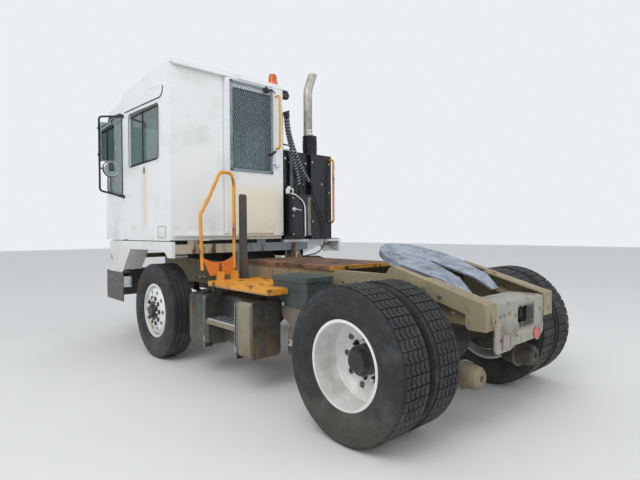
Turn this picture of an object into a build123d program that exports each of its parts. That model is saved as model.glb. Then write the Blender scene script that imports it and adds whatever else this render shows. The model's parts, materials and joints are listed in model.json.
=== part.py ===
from build123d import *
from math import atan2, cos, degrees, hypot, pi, radians, sin, tan
import os

os.makedirs("parts", exist_ok=True)

# Terminal tractor in millimetres: x runs forward, y to the driver's left and z up from the ground.
# The origin is under the middle of the vehicle.

# Overall layout
WHEELBASE = 2946.0
REAR_OVERHANG = 630.0
FRONT_OVERHANG = 1610.0
MIRROR_ARM = 275.0
LENGTH = REAR_OVERHANG + WHEELBASE + FRONT_OVERHANG
REAR_AXLE_X = REAR_OVERHANG - LENGTH / 2
FRONT_AXLE_X = REAR_AXLE_X + WHEELBASE
CAB_REAR_SETBACK = 496.0
CAB_REAR_X = FRONT_AXLE_X - CAB_REAR_SETBACK
TAIL_X = -LENGTH / 2
NOSE_X = LENGTH / 2

# Clearances
RUNNING_FIT = 0.05
SEAT_GAP = 0.3
MOVING_GAP = 10.0

# Wheels
TYRE_RADIUS = 520.0
TYRE_WIDTH = 280.0
TREAD_WIDTH = 236.0
BEAD_RADIUS = 286.0
RIM_WIDTH = 210.0
RIM_FLANGE_HEIGHT = 13.0
RIM_FLANGE_THICKNESS = 12.0
RIM_WALL = 9.0
DISC_THICKNESS = 11.0
DISC_FLAT_RADIUS = 172.0
HAND_HOLE_COUNT = 10
HAND_HOLE_RADIUS = 24.0
HAND_HOLE_CIRCLE = 205.0
STUD_COUNT = 10
STUD_CIRCLE = 143.0
STUD_RADIUS = 11.0
STUD_HEIGHT = 36.0
DRUM_RADIUS = 210.0
FRONT_WHEEL_Y = 1099.0
DUAL_OUTER_Y = 1082.0
DUAL_SPACING = 330.0
FRONT_DISC_OFFSET = 112.0
AXLE_Z = TYRE_RADIUS

# Frame
RAIL_OUTER_Y = 430.0
RAIL_FLANGE = 80.0
RAIL_WALL = 10.0
RAIL_TOP = 1040.0
RAIL_BOTTOM = 740.0
RAIL_FRONT_X = FRONT_AXLE_X + 1490.0
RAMP_OUTER_Y = 520.0
RAMP_WIDTH = 143.0
RAMP_NECK_WIDTH = 72.0
RAMP_WALL = 12.0
RAMP_DEPTH = 115.0
RAMP_TOP = 1118.0
RAMP_START_X = REAR_AXLE_X + 125.0
RAMP_WIDENS_X = REAR_AXLE_X - 110.0
RAMP_TAIL_TOP = 905.0
RAMP_FOOT_LENGTH = 145.0
RAMP_FOOT_BOTTOM = 730.0
RAMP_SLOPE = (RAMP_TOP - RAMP_TAIL_TOP) / (RAMP_START_X - TAIL_X)

# Front axle and steering
KINGPIN_Y = 900.0
KINGPIN_RADIUS = 20.0
BEAM_Z = 460.0
BEAM_HEIGHT = 100.0
BEAM_WIDTH = 90.0
EYE_RADIUS = 34.0
EYE_HEIGHT = 130.0
SPINDLE_RADIUS = 36.0
STEER_ARM = 170.0
TIE_ROD_Z = 400.0
TIE_ROD_RADIUS = 17.0
BALL_RADIUS = 12.0
SPRING_Y = 390.0
SPRING_SPAN = 1240.0
SPRING_WIDTH = 76.0
SPRING_LEAF = 13.0
SPRING_EYE_Z = 655.0

# Rear axle
AXLE_TUBE_RADIUS = 75.0
DIFF_RADIUS = 190.0


def save(builder, name):
    """Label a finished piece and write it to its own file."""
    builder.part.label = name
    export_step(builder.part, f"parts/{name}.step")


def side_plane(y):
    """A sketch plane seen from the right side: local x runs forward and local y runs up."""
    return Plane(origin=(0, y, 0), x_dir=(1, 0, 0), z_dir=(0, -1, 0))


def cross_plane(x):
    """A sketch plane across the vehicle: local x is the vehicle's y and local y runs up."""
    return Plane(origin=(x, 0, 0), x_dir=(0, 1, 0), z_dir=(1, 0, 0))


def ramp_top_at(x):
    """Height of the pick-up ramp's top face at a station."""
    return RAMP_TOP - RAMP_SLOPE * (RAMP_START_X - x)


# Wheels: each profile is drawn as y against radius and turned about the axle line
def wheel_plane(axle_x):
    return Plane(origin=(axle_x, 0, AXLE_Z), x_dir=(0, 1, 0), z_dir=(1, 0, 0))


def axle_line(axle_x):
    return Axis((axle_x, 0, AXLE_Z), (0, 1, 0))


def tyre_profile(centre_y):
    """One half section of a tyre: two bulging side walls, rounded shoulders and a flat tread."""
    bead = RIM_WIDTH / 2 - RIM_FLANGE_THICKNESS - SEAT_GAP
    bore = BEAD_RADIUS + SEAT_GAP
    bulge_radius = bore + 0.5 * (TYRE_RADIUS - bore)
    shoulder = 0.96 * TYRE_RADIUS
    with BuildLine() as outline:
        Polyline((centre_y - bead, bore + 40), (centre_y - bead, bore), (centre_y + bead, bore),
                 (centre_y + bead, bore + 40))
        ThreePointArc((centre_y + bead, bore + 40), (centre_y + TYRE_WIDTH / 2, bulge_radius),
                      (centre_y + TREAD_WIDTH / 2 + 8, shoulder))
        Polyline((centre_y + TREAD_WIDTH / 2 + 8, shoulder), (centre_y + TREAD_WIDTH / 2 - 6, TYRE_RADIUS),
                 (centre_y - TREAD_WIDTH / 2 + 6, TYRE_RADIUS), (centre_y - TREAD_WIDTH / 2 - 8, shoulder))
        ThreePointArc((centre_y - TREAD_WIDTH / 2 - 8, shoulder), (centre_y - TYRE_WIDTH / 2, bulge_radius),
                      (centre_y - bead, bore + 40))
    make_face(outline.edges())


def rim_profile(centre_y, disc_y, side):
    """Barrel with two flanges, and a dished disc whose flat face lies at disc_y."""
    half = RIM_WIDTH / 2
    inner = BEAD_RADIUS - RIM_WALL
    lip = half - RIM_FLANGE_THICKNESS
    flange = BEAD_RADIUS + RIM_FLANGE_HEIGHT
    with BuildLine() as barrel:
        Polyline((centre_y - half, inner), (centre_y - half, flange), (centre_y - lip, flange),
                 (centre_y - lip, BEAD_RADIUS), (centre_y + lip, BEAD_RADIUS), (centre_y + lip, flange),
                 (centre_y + half, flange), (centre_y + half, inner), close=True)
    make_face(barrel.edges())
    root_y = disc_y - side * 62.0
    knee_radius = inner - 42.0
    with BuildLine() as dish:
        Polyline((root_y, inner + 1), (disc_y - side * 12, knee_radius), (disc_y, DISC_FLAT_RADIUS),
                 (disc_y, 60.0), (disc_y - side * DISC_THICKNESS, 60.0),
                 (disc_y - side * DISC_THICKNESS, DISC_FLAT_RADIUS - 4),
                 (disc_y - side * (DISC_THICKNESS + 12), knee_radius - 8),
                 (root_y - side * DISC_THICKNESS, inner + 1), close=True)
    make_face(dish.edges())


def lathe(*points):
    """A closed outline from y against radius, to be turned about the axle line."""
    with BuildLine() as outline:
        Polyline(*points, close=True)
    make_face(outline.edges())


def tyre(name, axle_x, centres):
    with BuildPart() as tyre_part:
        with BuildSketch(wheel_plane(axle_x)):
            for centre_y in centres:
                tyre_profile(centre_y)
        revolve(axis=axle_line(axle_x))
    save(tyre_part, name)


for side_name, side in (("left", 1), ("right", -1)):
    tyre(f"tyre_front_{side_name}", FRONT_AXLE_X, [side * FRONT_WHEEL_Y])
    tyre(f"tyres_rear_{side_name}", REAR_AXLE_X, [side * DUAL_OUTER_Y, side * (DUAL_OUTER_Y - DUAL_SPACING)])

# Front rims, each with its brake drum and a hub bored for the spindle
HUB_RADIUS = 105.0
HUB_CAP_RADIUS = 70.0
HUB_CAP_LENGTH = 34.0
DRUM_WALL = 14.0
FRONT_DRUM_LENGTH = 150.0
for side_name, side in (("left", 1), ("right", -1)):
    disc_y = side * (FRONT_WHEEL_Y + FRONT_DISC_OFFSET)
    hub_inner = side * (FRONT_WHEEL_Y - RIM_WIDTH / 2 + 30)
    hub_face = disc_y + side * 12
    drum_mouth = side * (FRONT_WHEEL_Y + 35 - FRONT_DRUM_LENGTH)
    drum_floor = side * (FRONT_WHEEL_Y + 35)
    bore = SPINDLE_RADIUS + RUNNING_FIT
    bore_end = disc_y - side * 20
    with BuildPart() as front_rim:
        with BuildSketch(wheel_plane(FRONT_AXLE_X)):
            rim_profile(side * FRONT_WHEEL_Y, disc_y, side)
            lathe((hub_inner, bore), (hub_inner, 62), (drum_floor - side * DRUM_WALL, 62),
                  (drum_floor - side * DRUM_WALL, DRUM_RADIUS - DRUM_WALL),
                  (drum_mouth, DRUM_RADIUS - DRUM_WALL), (drum_mouth, DRUM_RADIUS),
                  (drum_floor, DRUM_RADIUS), (drum_floor, HUB_RADIUS), (hub_face, HUB_RADIUS),
                  (hub_face, HUB_CAP_RADIUS), (hub_face + side * HUB_CAP_LENGTH, HUB_CAP_RADIUS - 12),
                  (hub_face + side * HUB_CAP_LENGTH, 0), (bore_end, 0), (bore_end, bore))
        revolve(axis=axle_line(FRONT_AXLE_X))
        with BuildSketch(Plane(origin=(FRONT_AXLE_X, disc_y, AXLE_Z), x_dir=(1, 0, 0), z_dir=(0, side, 0))):
            with PolarLocations(STUD_CIRCLE, STUD_COUNT):
                Circle(STUD_RADIUS)
        extrude(amount=STUD_HEIGHT)
        with BuildSketch(Plane(origin=(FRONT_AXLE_X, disc_y, AXLE_Z), x_dir=(1, 0, 0), z_dir=(0, side, 0))):
            with PolarLocations(HAND_HOLE_CIRCLE, HAND_HOLE_COUNT):
                Circle(HAND_HOLE_RADIUS)
        extrude(amount=-60, mode=Mode.SUBTRACT)
    save(front_rim, f"rim_front_{side_name}")

# Rear rims: two dished discs bolted back to back on one hub, with the drum inboard
REAR_HUB_LENGTH = 140.0
REAR_DRUM_MOUTH_Y = DUAL_OUTER_Y - DUAL_SPACING - 118.0
for side_name, side in (("left", 1), ("right", -1)):
    outer_y = side * DUAL_OUTER_Y
    inner_y = side * (DUAL_OUTER_Y - DUAL_SPACING)
    middle_y = side * (DUAL_OUTER_Y - DUAL_SPACING / 2)
    hub_face = middle_y + side * (DISC_THICKNESS + REAR_HUB_LENGTH)
    drum_mouth = side * REAR_DRUM_MOUTH_Y
    drum_floor = middle_y - side * (DISC_THICKNESS + 4)
    bore = AXLE_TUBE_RADIUS - 20 + RUNNING_FIT
    with BuildPart() as rear_rims:
        with BuildSketch(wheel_plane(REAR_AXLE_X)):
            rim_profile(outer_y, middle_y, -side)
            rim_profile(inner_y, middle_y, side)
            lathe((drum_floor - side * 60, bore), (drum_floor - side * 60, HUB_RADIUS - 10),
                  (drum_floor - side * DRUM_WALL, HUB_RADIUS - 10),
                  (drum_floor - side * DRUM_WALL, DRUM_RADIUS - DRUM_WALL),
                  (drum_mouth, DRUM_RADIUS - DRUM_WALL), (drum_mouth, DRUM_RADIUS),
                  (drum_floor, DRUM_RADIUS), (drum_floor, HUB_RADIUS),
                  (hub_face - side * 45, HUB_RADIUS), (hub_face - side * 45, HUB_CAP_RADIUS + 18),
                  (hub_face, HUB_CAP_RADIUS), (hub_face, 0), (middle_y, 0), (middle_y, bore))
        revolve(axis=axle_line(REAR_AXLE_X))
        with BuildSketch(Plane(origin=(REAR_AXLE_X, middle_y, AXLE_Z), x_dir=(1, 0, 0), z_dir=(0, side, 0))):
            with PolarLocations(STUD_CIRCLE, STUD_COUNT):
                Circle(STUD_RADIUS)
        extrude(amount=STUD_HEIGHT + DISC_THICKNESS)
        with BuildSketch(Plane(origin=(REAR_AXLE_X, middle_y, AXLE_Z), x_dir=(1, 0, 0), z_dir=(0, side, 0))):
            with PolarLocations(HAND_HOLE_CIRCLE, HAND_HOLE_COUNT):
                Circle(HAND_HOLE_RADIUS)
        extrude(amount=60, both=True, mode=Mode.SUBTRACT)
    save(rear_rims, f"rims_rear_{side_name}")


# Frame rails: channels open inward, with the pick-up ramp welded along the tail
def rail_outline():
    """Side view of one rail: flat top, a slope under the ramp and a rounded lower tail."""
    neck_x = RAMP_START_X + (RAIL_TOP - ramp_top_at(RAMP_START_X) + RAMP_DEPTH) / RAMP_SLOPE
    rear_x = TAIL_X + RAMP_FOOT_LENGTH
    with BuildLine() as outline:
        Polyline((RAIL_FRONT_X, RAIL_BOTTOM + 60), (RAIL_FRONT_X, RAIL_TOP), (neck_x, RAIL_TOP),
                 (rear_x, ramp_top_at(rear_x) - RAMP_DEPTH), (rear_x, RAIL_BOTTOM + 40))
        JernArc(start=(rear_x, RAIL_BOTTOM + 40), tangent=(0, -1), radius=40, arc_size=90)
        Polyline((rear_x + 40, RAIL_BOTTOM), (RAIL_FRONT_X - 140, RAIL_BOTTOM), (RAIL_FRONT_X, RAIL_BOTTOM + 60))
    return outline.edges()


def ramp_outline():
    """Side view of the ramp: a straight slope with a deeper foot at the tail."""
    foot_x = TAIL_X + RAMP_FOOT_LENGTH
    with BuildLine() as outline:
        Polyline((RAMP_START_X, ramp_top_at(RAMP_START_X)), (TAIL_X, RAMP_TAIL_TOP), (TAIL_X, RAMP_FOOT_BOTTOM),
                 (foot_x - 20, RAMP_FOOT_BOTTOM), (foot_x, RAMP_FOOT_BOTTOM + 25),
                 (foot_x, ramp_top_at(foot_x) - RAMP_DEPTH),
                 (RAMP_START_X + 60, ramp_top_at(RAMP_START_X + 60) - RAMP_DEPTH),
                 (RAMP_START_X + 60, RAMP_TOP - 55), (RAMP_START_X + 35, RAMP_TOP - 12), close=True)
    return outline.edges()


BOOM_PIVOT_X = REAR_AXLE_X + 1000.0
BOOM_PIVOT_Z = 800.0
BOOM_PIN_RADIUS = 30.0
BOOM_BOSS_RADIUS = 62.0
RAIL_WEB_Y = RAIL_OUTER_Y - RAIL_WALL
RAIL_INNER_Y = RAIL_OUTER_Y - RAIL_FLANGE

for side_name, side in (("left", 1), ("right", -1)):
    outward = -side
    with BuildPart() as frame_rail:
        with BuildSketch(side_plane(side * RAIL_OUTER_Y)):
            make_face(rail_outline())
        extrude(amount=outward * -RAIL_FLANGE)
        with BuildSketch(side_plane(side * RAIL_WEB_Y)):
            make_face(rail_outline())
            offset(amount=-RAIL_WALL, mode=Mode.REPLACE)
        extrude(amount=outward * -(RAIL_FLANGE), mode=Mode.SUBTRACT)
        with BuildSketch(side_plane(side * RAMP_OUTER_Y)):
            make_face(ramp_outline())
        extrude(amount=outward * -RAMP_WIDTH)
        with BuildSketch(side_plane(side * (RAMP_OUTER_Y - RAMP_WALL))):
            make_face(ramp_outline())
            offset(amount=-RAMP_WALL, mode=Mode.REPLACE)
        extrude(amount=outward * -RAMP_WIDTH, mode=Mode.SUBTRACT)
        with BuildSketch(Plane.XY.offset(RAMP_TOP + 20)):
            with BuildLine():
                neck_y = side * (RAMP_OUTER_Y - RAMP_NECK_WIDTH)
                wide_y = side * (RAMP_OUTER_Y - RAMP_WIDTH - 1)
                Polyline((RAMP_START_X + 100, neck_y), (RAMP_WIDENS_X, neck_y), (RAMP_WIDENS_X - 120, wide_y),
                         (RAMP_START_X + 100, wide_y), close=True)
            make_face()
        extrude(amount=-(RAMP_TOP + 20 - RAIL_TOP), mode=Mode.SUBTRACT)
        with BuildSketch(side_plane(side * RAIL_WEB_Y)):
            with Locations((BOOM_PIVOT_X, BOOM_PIVOT_Z)):
                Circle(BOOM_BOSS_RADIUS)
        extrude(amount=outward * -(RAIL_WEB_Y - RAIL_INNER_Y - 2))
        with BuildSketch(side_plane(side * RAIL_OUTER_Y)):
            with Locations((BOOM_PIVOT_X, BOOM_PIVOT_Z)):
                Circle(BOOM_PIN_RADIUS + RUNNING_FIT)
        extrude(amount=outward * -RAIL_FLANGE, mode=Mode.SUBTRACT)
    save(frame_rail, f"frame_rail_{side_name}")

# Cab mounting heights and the hinge that the cab tips about
CAB_FLOOR_Z = 1305.0
CAB_HINGE_X = FRONT_AXLE_X + 1450.0
CAB_HINGE_Z = 1240.0
CAB_HINGE_RADIUS = 18.0
CAB_HINGE_EAR = 40.0
CAB_HINGE_YS = (1000.0, -80.0)
FRONT_CROSS_X = FRONT_AXLE_X + 1445.0
FRONT_CROSS_HALF = 28.0
CYLINDER_BASE_X = REAR_AXLE_X + 620.0
CYLINDER_BASE_Z = 600.0
CYLINDER_Y = 285.0
CYLINDER_EAR_GAP = 26.0
CYLINDER_PIN_RADIUS = 16.0

# Crossmembers: name of station, x, low z, high z, half length along x
CROSSMEMBERS = (
    ("front", FRONT_CROSS_X, RAIL_BOTTOM + 80, RAIL_BOTTOM + 180, FRONT_CROSS_HALF),
    ("gearbox", FRONT_AXLE_X - 760.0, RAIL_BOTTOM + 180, RAIL_TOP - RAIL_WALL, 35.0),
    ("lift", CYLINDER_BASE_X + 130, RAIL_BOTTOM - 100, RAIL_BOTTOM, 55.0),
    ("tail", REAR_AXLE_X - 330.0, RAIL_BOTTOM + 10, RAIL_BOTTOM + 80, 45.0),
)
with BuildPart() as crossmembers:
    for _, x, low, high, half in CROSSMEMBERS:
        with BuildSketch(side_plane(RAIL_WEB_Y - SEAT_GAP)):
            with Locations((x, (low + high) / 2)):
                Rectangle(2 * half, high - low)
                Rectangle(2 * half - 20, high - low - 20, mode=Mode.SUBTRACT)
        extrude(amount=2 * (RAIL_WEB_Y - SEAT_GAP))
    for y in (CYLINDER_Y, -CYLINDER_Y):
        for ear_y in (y - CYLINDER_EAR_GAP - 12, y + CYLINDER_EAR_GAP):
            with BuildSketch(side_plane(ear_y + 12)):
                with Locations((CYLINDER_BASE_X, CYLINDER_BASE_Z)):
                    Circle(34)
                with BuildLine():
                    Polyline((CYLINDER_BASE_X, CYLINDER_BASE_Z - 34), (CYLINDER_BASE_X + 120, CYLINDER_BASE_Z + 5),
                             (CYLINDER_BASE_X + 120, RAIL_BOTTOM - 96), (CYLINDER_BASE_X + 72, RAIL_BOTTOM - 96),
                             (CYLINDER_BASE_X + 20, CYLINDER_BASE_Z + 27), close=True)
                make_face()
                with Locations((CYLINDER_BASE_X, CYLINDER_BASE_Z)):
                    Circle(CYLINDER_PIN_RADIUS + RUNNING_FIT, mode=Mode.SUBTRACT)
            extrude(amount=12)
    save(crossmembers, "crossmembers")

# Deck plate over the rails, behind the cab
DECK_REAR_X = REAR_AXLE_X + 860.0
DECK_CAB_GAP = 70.0
DECK_FRONT_X = CAB_REAR_X - DECK_CAB_GAP
DECK_HALF_WIDTH = 450.0
DECK_THICKNESS = 35.0
DECK_TOP = RAIL_TOP + DECK_THICKNESS
with BuildPart() as deck_plate:
    with BuildSketch(Plane.XY.offset(RAIL_TOP)):
        with Locations(((DECK_REAR_X + DECK_FRONT_X) / 2, 0)):
            Rectangle(DECK_FRONT_X - DECK_REAR_X, 2 * DECK_HALF_WIDTH)
    extrude(amount=DECK_THICKNESS)
    with BuildSketch(Plane.XY.offset(RAIL_TOP)):
        with Locations(((DECK_REAR_X + DECK_FRONT_X) / 2, 0)):
            Rectangle(DECK_FRONT_X - DECK_REAR_X - 16, 2 * RAIL_INNER_Y)
    extrude(amount=DECK_THICKNESS - 8, mode=Mode.SUBTRACT)
save(deck_plate, "deck_plate")

# Tail plate with its top sheet, connector recess and slot
TAIL_PLATE_SETBACK = 10.0
TAIL_PLATE_THICKNESS = 12.0
TAIL_PLATE_HALF = RAMP_OUTER_Y - RAMP_WIDTH - SEAT_GAP
TAIL_PLATE_TOP = 890.0
TAIL_PLATE_BOTTOM = 555.0
TAIL_SHEET_LENGTH = 250.0
TAIL_PLATE_X = TAIL_X + TAIL_PLATE_SETBACK
CONNECTOR_Y = -26.0
CONNECTOR_Z = 783.0
with BuildPart() as tail_plate:
    with BuildSketch(cross_plane(TAIL_PLATE_X)):
        with BuildLine():
            Polyline((-TAIL_PLATE_HALF, TAIL_PLATE_TOP), (TAIL_PLATE_HALF, TAIL_PLATE_TOP),
                     (TAIL_PLATE_HALF, TAIL_PLATE_BOTTOM + 30), (TAIL_PLATE_HALF - 25, TAIL_PLATE_BOTTOM),
                     (150, TAIL_PLATE_BOTTOM), (110, TAIL_PLATE_BOTTOM + 22), (-TAIL_PLATE_HALF + 60,
                     TAIL_PLATE_BOTTOM + 22), (-TAIL_PLATE_HALF, TAIL_PLATE_BOTTOM + 60), close=True)
        make_face()
        with Locations((CONNECTOR_Y, CONNECTOR_Z)):
            RectangleRounded(150, 118, 20, mode=Mode.SUBTRACT)
        with Locations((0, 605)):
            SlotCenterToCenter(34, 12, rotation=90, mode=Mode.SUBTRACT)
    extrude(amount=TAIL_PLATE_THICKNESS)
    with BuildSketch(side_plane(TAIL_PLATE_HALF)):
        with BuildLine():
            Polyline((TAIL_PLATE_X, TAIL_PLATE_TOP - 20), (TAIL_PLATE_X + 20, TAIL_PLATE_TOP + 4),
                     (TAIL_PLATE_X + TAIL_SHEET_LENGTH, TAIL_PLATE_TOP + 4),
                     (TAIL_PLATE_X + TAIL_SHEET_LENGTH, TAIL_PLATE_TOP - 8),
                     (TAIL_PLATE_X + TAIL_PLATE_THICKNESS, TAIL_PLATE_TOP - 8),
                     (TAIL_PLATE_X + TAIL_PLATE_THICKNESS, TAIL_PLATE_TOP - 20), close=True)
        make_face()
    extrude(amount=2 * TAIL_PLATE_HALF)
    with BuildSketch(cross_plane(TAIL_PLATE_X + TAIL_PLATE_THICKNESS)):
        with Locations((CONNECTOR_Y, CONNECTOR_Z)):
            RectangleRounded(170, 138, 20)
            RectangleRounded(150, 118, 12, mode=Mode.SUBTRACT)
    extrude(amount=60)
    with BuildSketch(cross_plane(TAIL_PLATE_X + TAIL_PLATE_THICKNESS + 50)):
        with Locations((CONNECTOR_Y, CONNECTOR_Z)):
            RectangleRounded(170, 138, 20)
    extrude(amount=10)
save(tail_plate, "tail_plate")

# Tail lamps: a round red lamp on the right and a dull square one on the left
LAMP_DEPTH = TAIL_PLATE_SETBACK
with BuildPart() as tail_lamps:
    with BuildSketch(cross_plane(TAIL_PLATE_X - SEAT_GAP)):
        with Locations((-255, 615)):
            Circle(48)
        with Locations((233, 624)):
            RectangleRounded(110, 105, 12)
    extrude(amount=-(LAMP_DEPTH - SEAT_GAP))
save(tail_lamps, "tail_lamps")

# Bumper: front panel with two long side returns and a top lip
BUMPER_LOW = 520.0
BUMPER_HIGH = 890.0
BUMPER_HALF = 1225.0
BUMPER_RETURN_X = FRONT_AXLE_X + 934.0
BUMPER_WALL = 12.0
BUMPER_LIP = 110.0
with BuildPart() as bumper:
    with BuildSketch(Plane.XY.offset(BUMPER_LOW)) as bumper_plan:
        with Locations(((BUMPER_RETURN_X + NOSE_X) / 2, 0)):
            Rectangle(NOSE_X - BUMPER_RETURN_X, 2 * BUMPER_HALF)
        fillet(bumper_plan.vertices().group_by(Axis.X)[-1], 90)
    extrude(amount=BUMPER_HIGH - BUMPER_LOW)
    with BuildSketch(Plane.XY.offset(BUMPER_LOW)) as bumper_hollow:
        with Locations(((BUMPER_RETURN_X + NOSE_X) / 2 - BUMPER_WALL - 30, 0)):
            Rectangle(NOSE_X - BUMPER_RETURN_X + 60, 2 * (BUMPER_HALF - BUMPER_WALL))
        fillet(bumper_hollow.vertices().group_by(Axis.X)[-1], 90 - BUMPER_WALL)
    extrude(amount=BUMPER_HIGH - BUMPER_LOW, mode=Mode.SUBTRACT)
    with BuildSketch(Plane.XY.offset(BUMPER_HIGH - BUMPER_WALL)) as bumper_lip:
        with Locations(((BUMPER_RETURN_X + NOSE_X) / 2, 0)):
            Rectangle(NOSE_X - BUMPER_RETURN_X, 2 * BUMPER_HALF)
        fillet(bumper_lip.vertices().group_by(Axis.X)[-1], 90)
        with Locations(((BUMPER_RETURN_X + NOSE_X) / 2 - BUMPER_LIP, 0)):
            Rectangle(NOSE_X - BUMPER_RETURN_X, 2 * (BUMPER_HALF - BUMPER_LIP), mode=Mode.SUBTRACT)
    extrude(amount=BUMPER_WALL)
    for y in (1000.0, -1000.0):
        with BuildSketch(cross_plane(NOSE_X)):
            with Locations((y, 700)):
                RectangleRounded(230, 170, 20)
        extrude(amount=-60, mode=Mode.SUBTRACT)
    for outer_y in (RAIL_OUTER_Y + SEAT_GAP + BUMPER_WALL, -RAIL_OUTER_Y - SEAT_GAP):
        with BuildSketch(side_plane(outer_y)):
            with BuildLine():
                Polyline((RAIL_FRONT_X - 240, RAIL_BOTTOM + 40), (RAIL_FRONT_X - 60, RAIL_BOTTOM - 60),
                         (NOSE_X - BUMPER_WALL + 2, RAIL_BOTTOM - 60), (NOSE_X - BUMPER_WALL + 2, BUMPER_HIGH - 30),
                         (RAIL_FRONT_X - 240, BUMPER_HIGH - 30), close=True)
            make_face()
        extrude(amount=BUMPER_WALL)
save(bumper, "bumper")
BUMPER_POCKETS = (1000.0, -1000.0)
with BuildPart() as headlamps:
    for y in BUMPER_POCKETS:
        with BuildSketch(cross_plane(NOSE_X - 6)):
            with Locations((y, 700)):
                RectangleRounded(230 - 2 * SEAT_GAP, 170 - 2 * SEAT_GAP, 20)
        extrude(amount=-50)
save(headlamps, "headlamps")

# Front axle beam with an eye for each kingpin, and pads for the springs
with BuildPart() as front_axle:
    with BuildSketch(cross_plane(FRONT_AXLE_X - BEAM_WIDTH / 2)):
        with BuildLine():
            low, high = BEAM_Z - BEAM_HEIGHT / 2, BEAM_Z + BEAM_HEIGHT / 2
            eye_low, eye_high = AXLE_Z - EYE_HEIGHT / 2, AXLE_Z + EYE_HEIGHT / 2
            Polyline((-KINGPIN_Y, eye_low), (-KINGPIN_Y + 90, eye_low), (-600, low), (600, low),
                     (KINGPIN_Y - 90, eye_low), (KINGPIN_Y, eye_low), (KINGPIN_Y, eye_high),
                     (KINGPIN_Y - 60, eye_high), (600, high), (-600, high), (-KINGPIN_Y + 60, eye_high),
                     (-KINGPIN_Y, eye_high), close=True)
        make_face()
    extrude(amount=BEAM_WIDTH)
    with BuildSketch(Plane.XY.offset(eye_low - 1)):
        for side in (1, -1):
            with Locations((FRONT_AXLE_X, side * (KINGPIN_Y + 50))):
                Rectangle(BEAM_WIDTH + 10, 100)
            with Locations((FRONT_AXLE_X, side * (KINGPIN_Y - 30))):
                Rectangle(BEAM_WIDTH + 10, 62)
            with Locations((FRONT_AXLE_X, side * (KINGPIN_Y - 40))):
                Rectangle(2 * EYE_RADIUS, 84, mode=Mode.SUBTRACT)
    extrude(amount=EYE_HEIGHT + 2, mode=Mode.SUBTRACT)
    with BuildSketch(Plane.XY.offset(eye_low)):
        with Locations((FRONT_AXLE_X, KINGPIN_Y), (FRONT_AXLE_X, -KINGPIN_Y)):
            Circle(EYE_RADIUS)
    extrude(amount=EYE_HEIGHT)
    with BuildSketch(Plane.XY.offset(eye_low - 1)):
        with Locations((FRONT_AXLE_X, KINGPIN_Y), (FRONT_AXLE_X, -KINGPIN_Y)):
            Circle(KINGPIN_RADIUS + RUNNING_FIT)
    extrude(amount=EYE_HEIGHT + 2, mode=Mode.SUBTRACT)
    with BuildSketch(Plane.XY.offset(high)):
        with Locations((FRONT_AXLE_X, SPRING_Y), (FRONT_AXLE_X, -SPRING_Y)):
            Rectangle(150, SPRING_WIDTH + 30)
    extrude(amount=12)
save(front_axle, "front_axle")
SPRING_PAD_Z = BEAM_Z + BEAM_HEIGHT / 2 + 12

# Leaf springs: curved leaves that shorten downwards, with hangers up to the rails
SPRING_LEAVES = 4
SPRING_RISE = SPRING_EYE_Z - SPRING_PAD_Z - SPRING_LEAVES * SPRING_LEAF
with BuildPart() as leaf_springs:
    for side in (1, -1):
        for leaf in range(SPRING_LEAVES):
            share = 1 - 0.2 * (SPRING_LEAVES - 1 - leaf)
            half = SPRING_SPAN / 2 * share
            low = SPRING_PAD_Z + SEAT_GAP + leaf * SPRING_LEAF
            rise = SPRING_RISE * share ** 2
            with BuildSketch(side_plane(side * SPRING_Y + SPRING_WIDTH / 2)):
                with BuildLine():
                    start, end = (FRONT_AXLE_X - half, low + rise), (FRONT_AXLE_X + half, low + rise)
                    ThreePointArc(start, (FRONT_AXLE_X, low), end)
                    Line(end, (end[0], end[1] + SPRING_LEAF))
                    ThreePointArc((end[0], end[1] + SPRING_LEAF), (FRONT_AXLE_X, low + SPRING_LEAF),
                                  (start[0], start[1] + SPRING_LEAF))
                    Line((start[0], start[1] + SPRING_LEAF), start)
                make_face()
            extrude(amount=SPRING_WIDTH)
        for end_x in (-SPRING_SPAN / 2, SPRING_SPAN / 2):
            with BuildSketch(side_plane(side * SPRING_Y + SPRING_WIDTH / 2)):
                with Locations((FRONT_AXLE_X + end_x, SPRING_EYE_Z + 4)):
                    Circle(28)
                with Locations((FRONT_AXLE_X + end_x, (SPRING_EYE_Z + RAIL_BOTTOM) / 2)):
                    Rectangle(44, RAIL_BOTTOM - SPRING_EYE_Z - 2 * SEAT_GAP)
            extrude(amount=SPRING_WIDTH)
save(leaf_springs, "leaf_springs")

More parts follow.
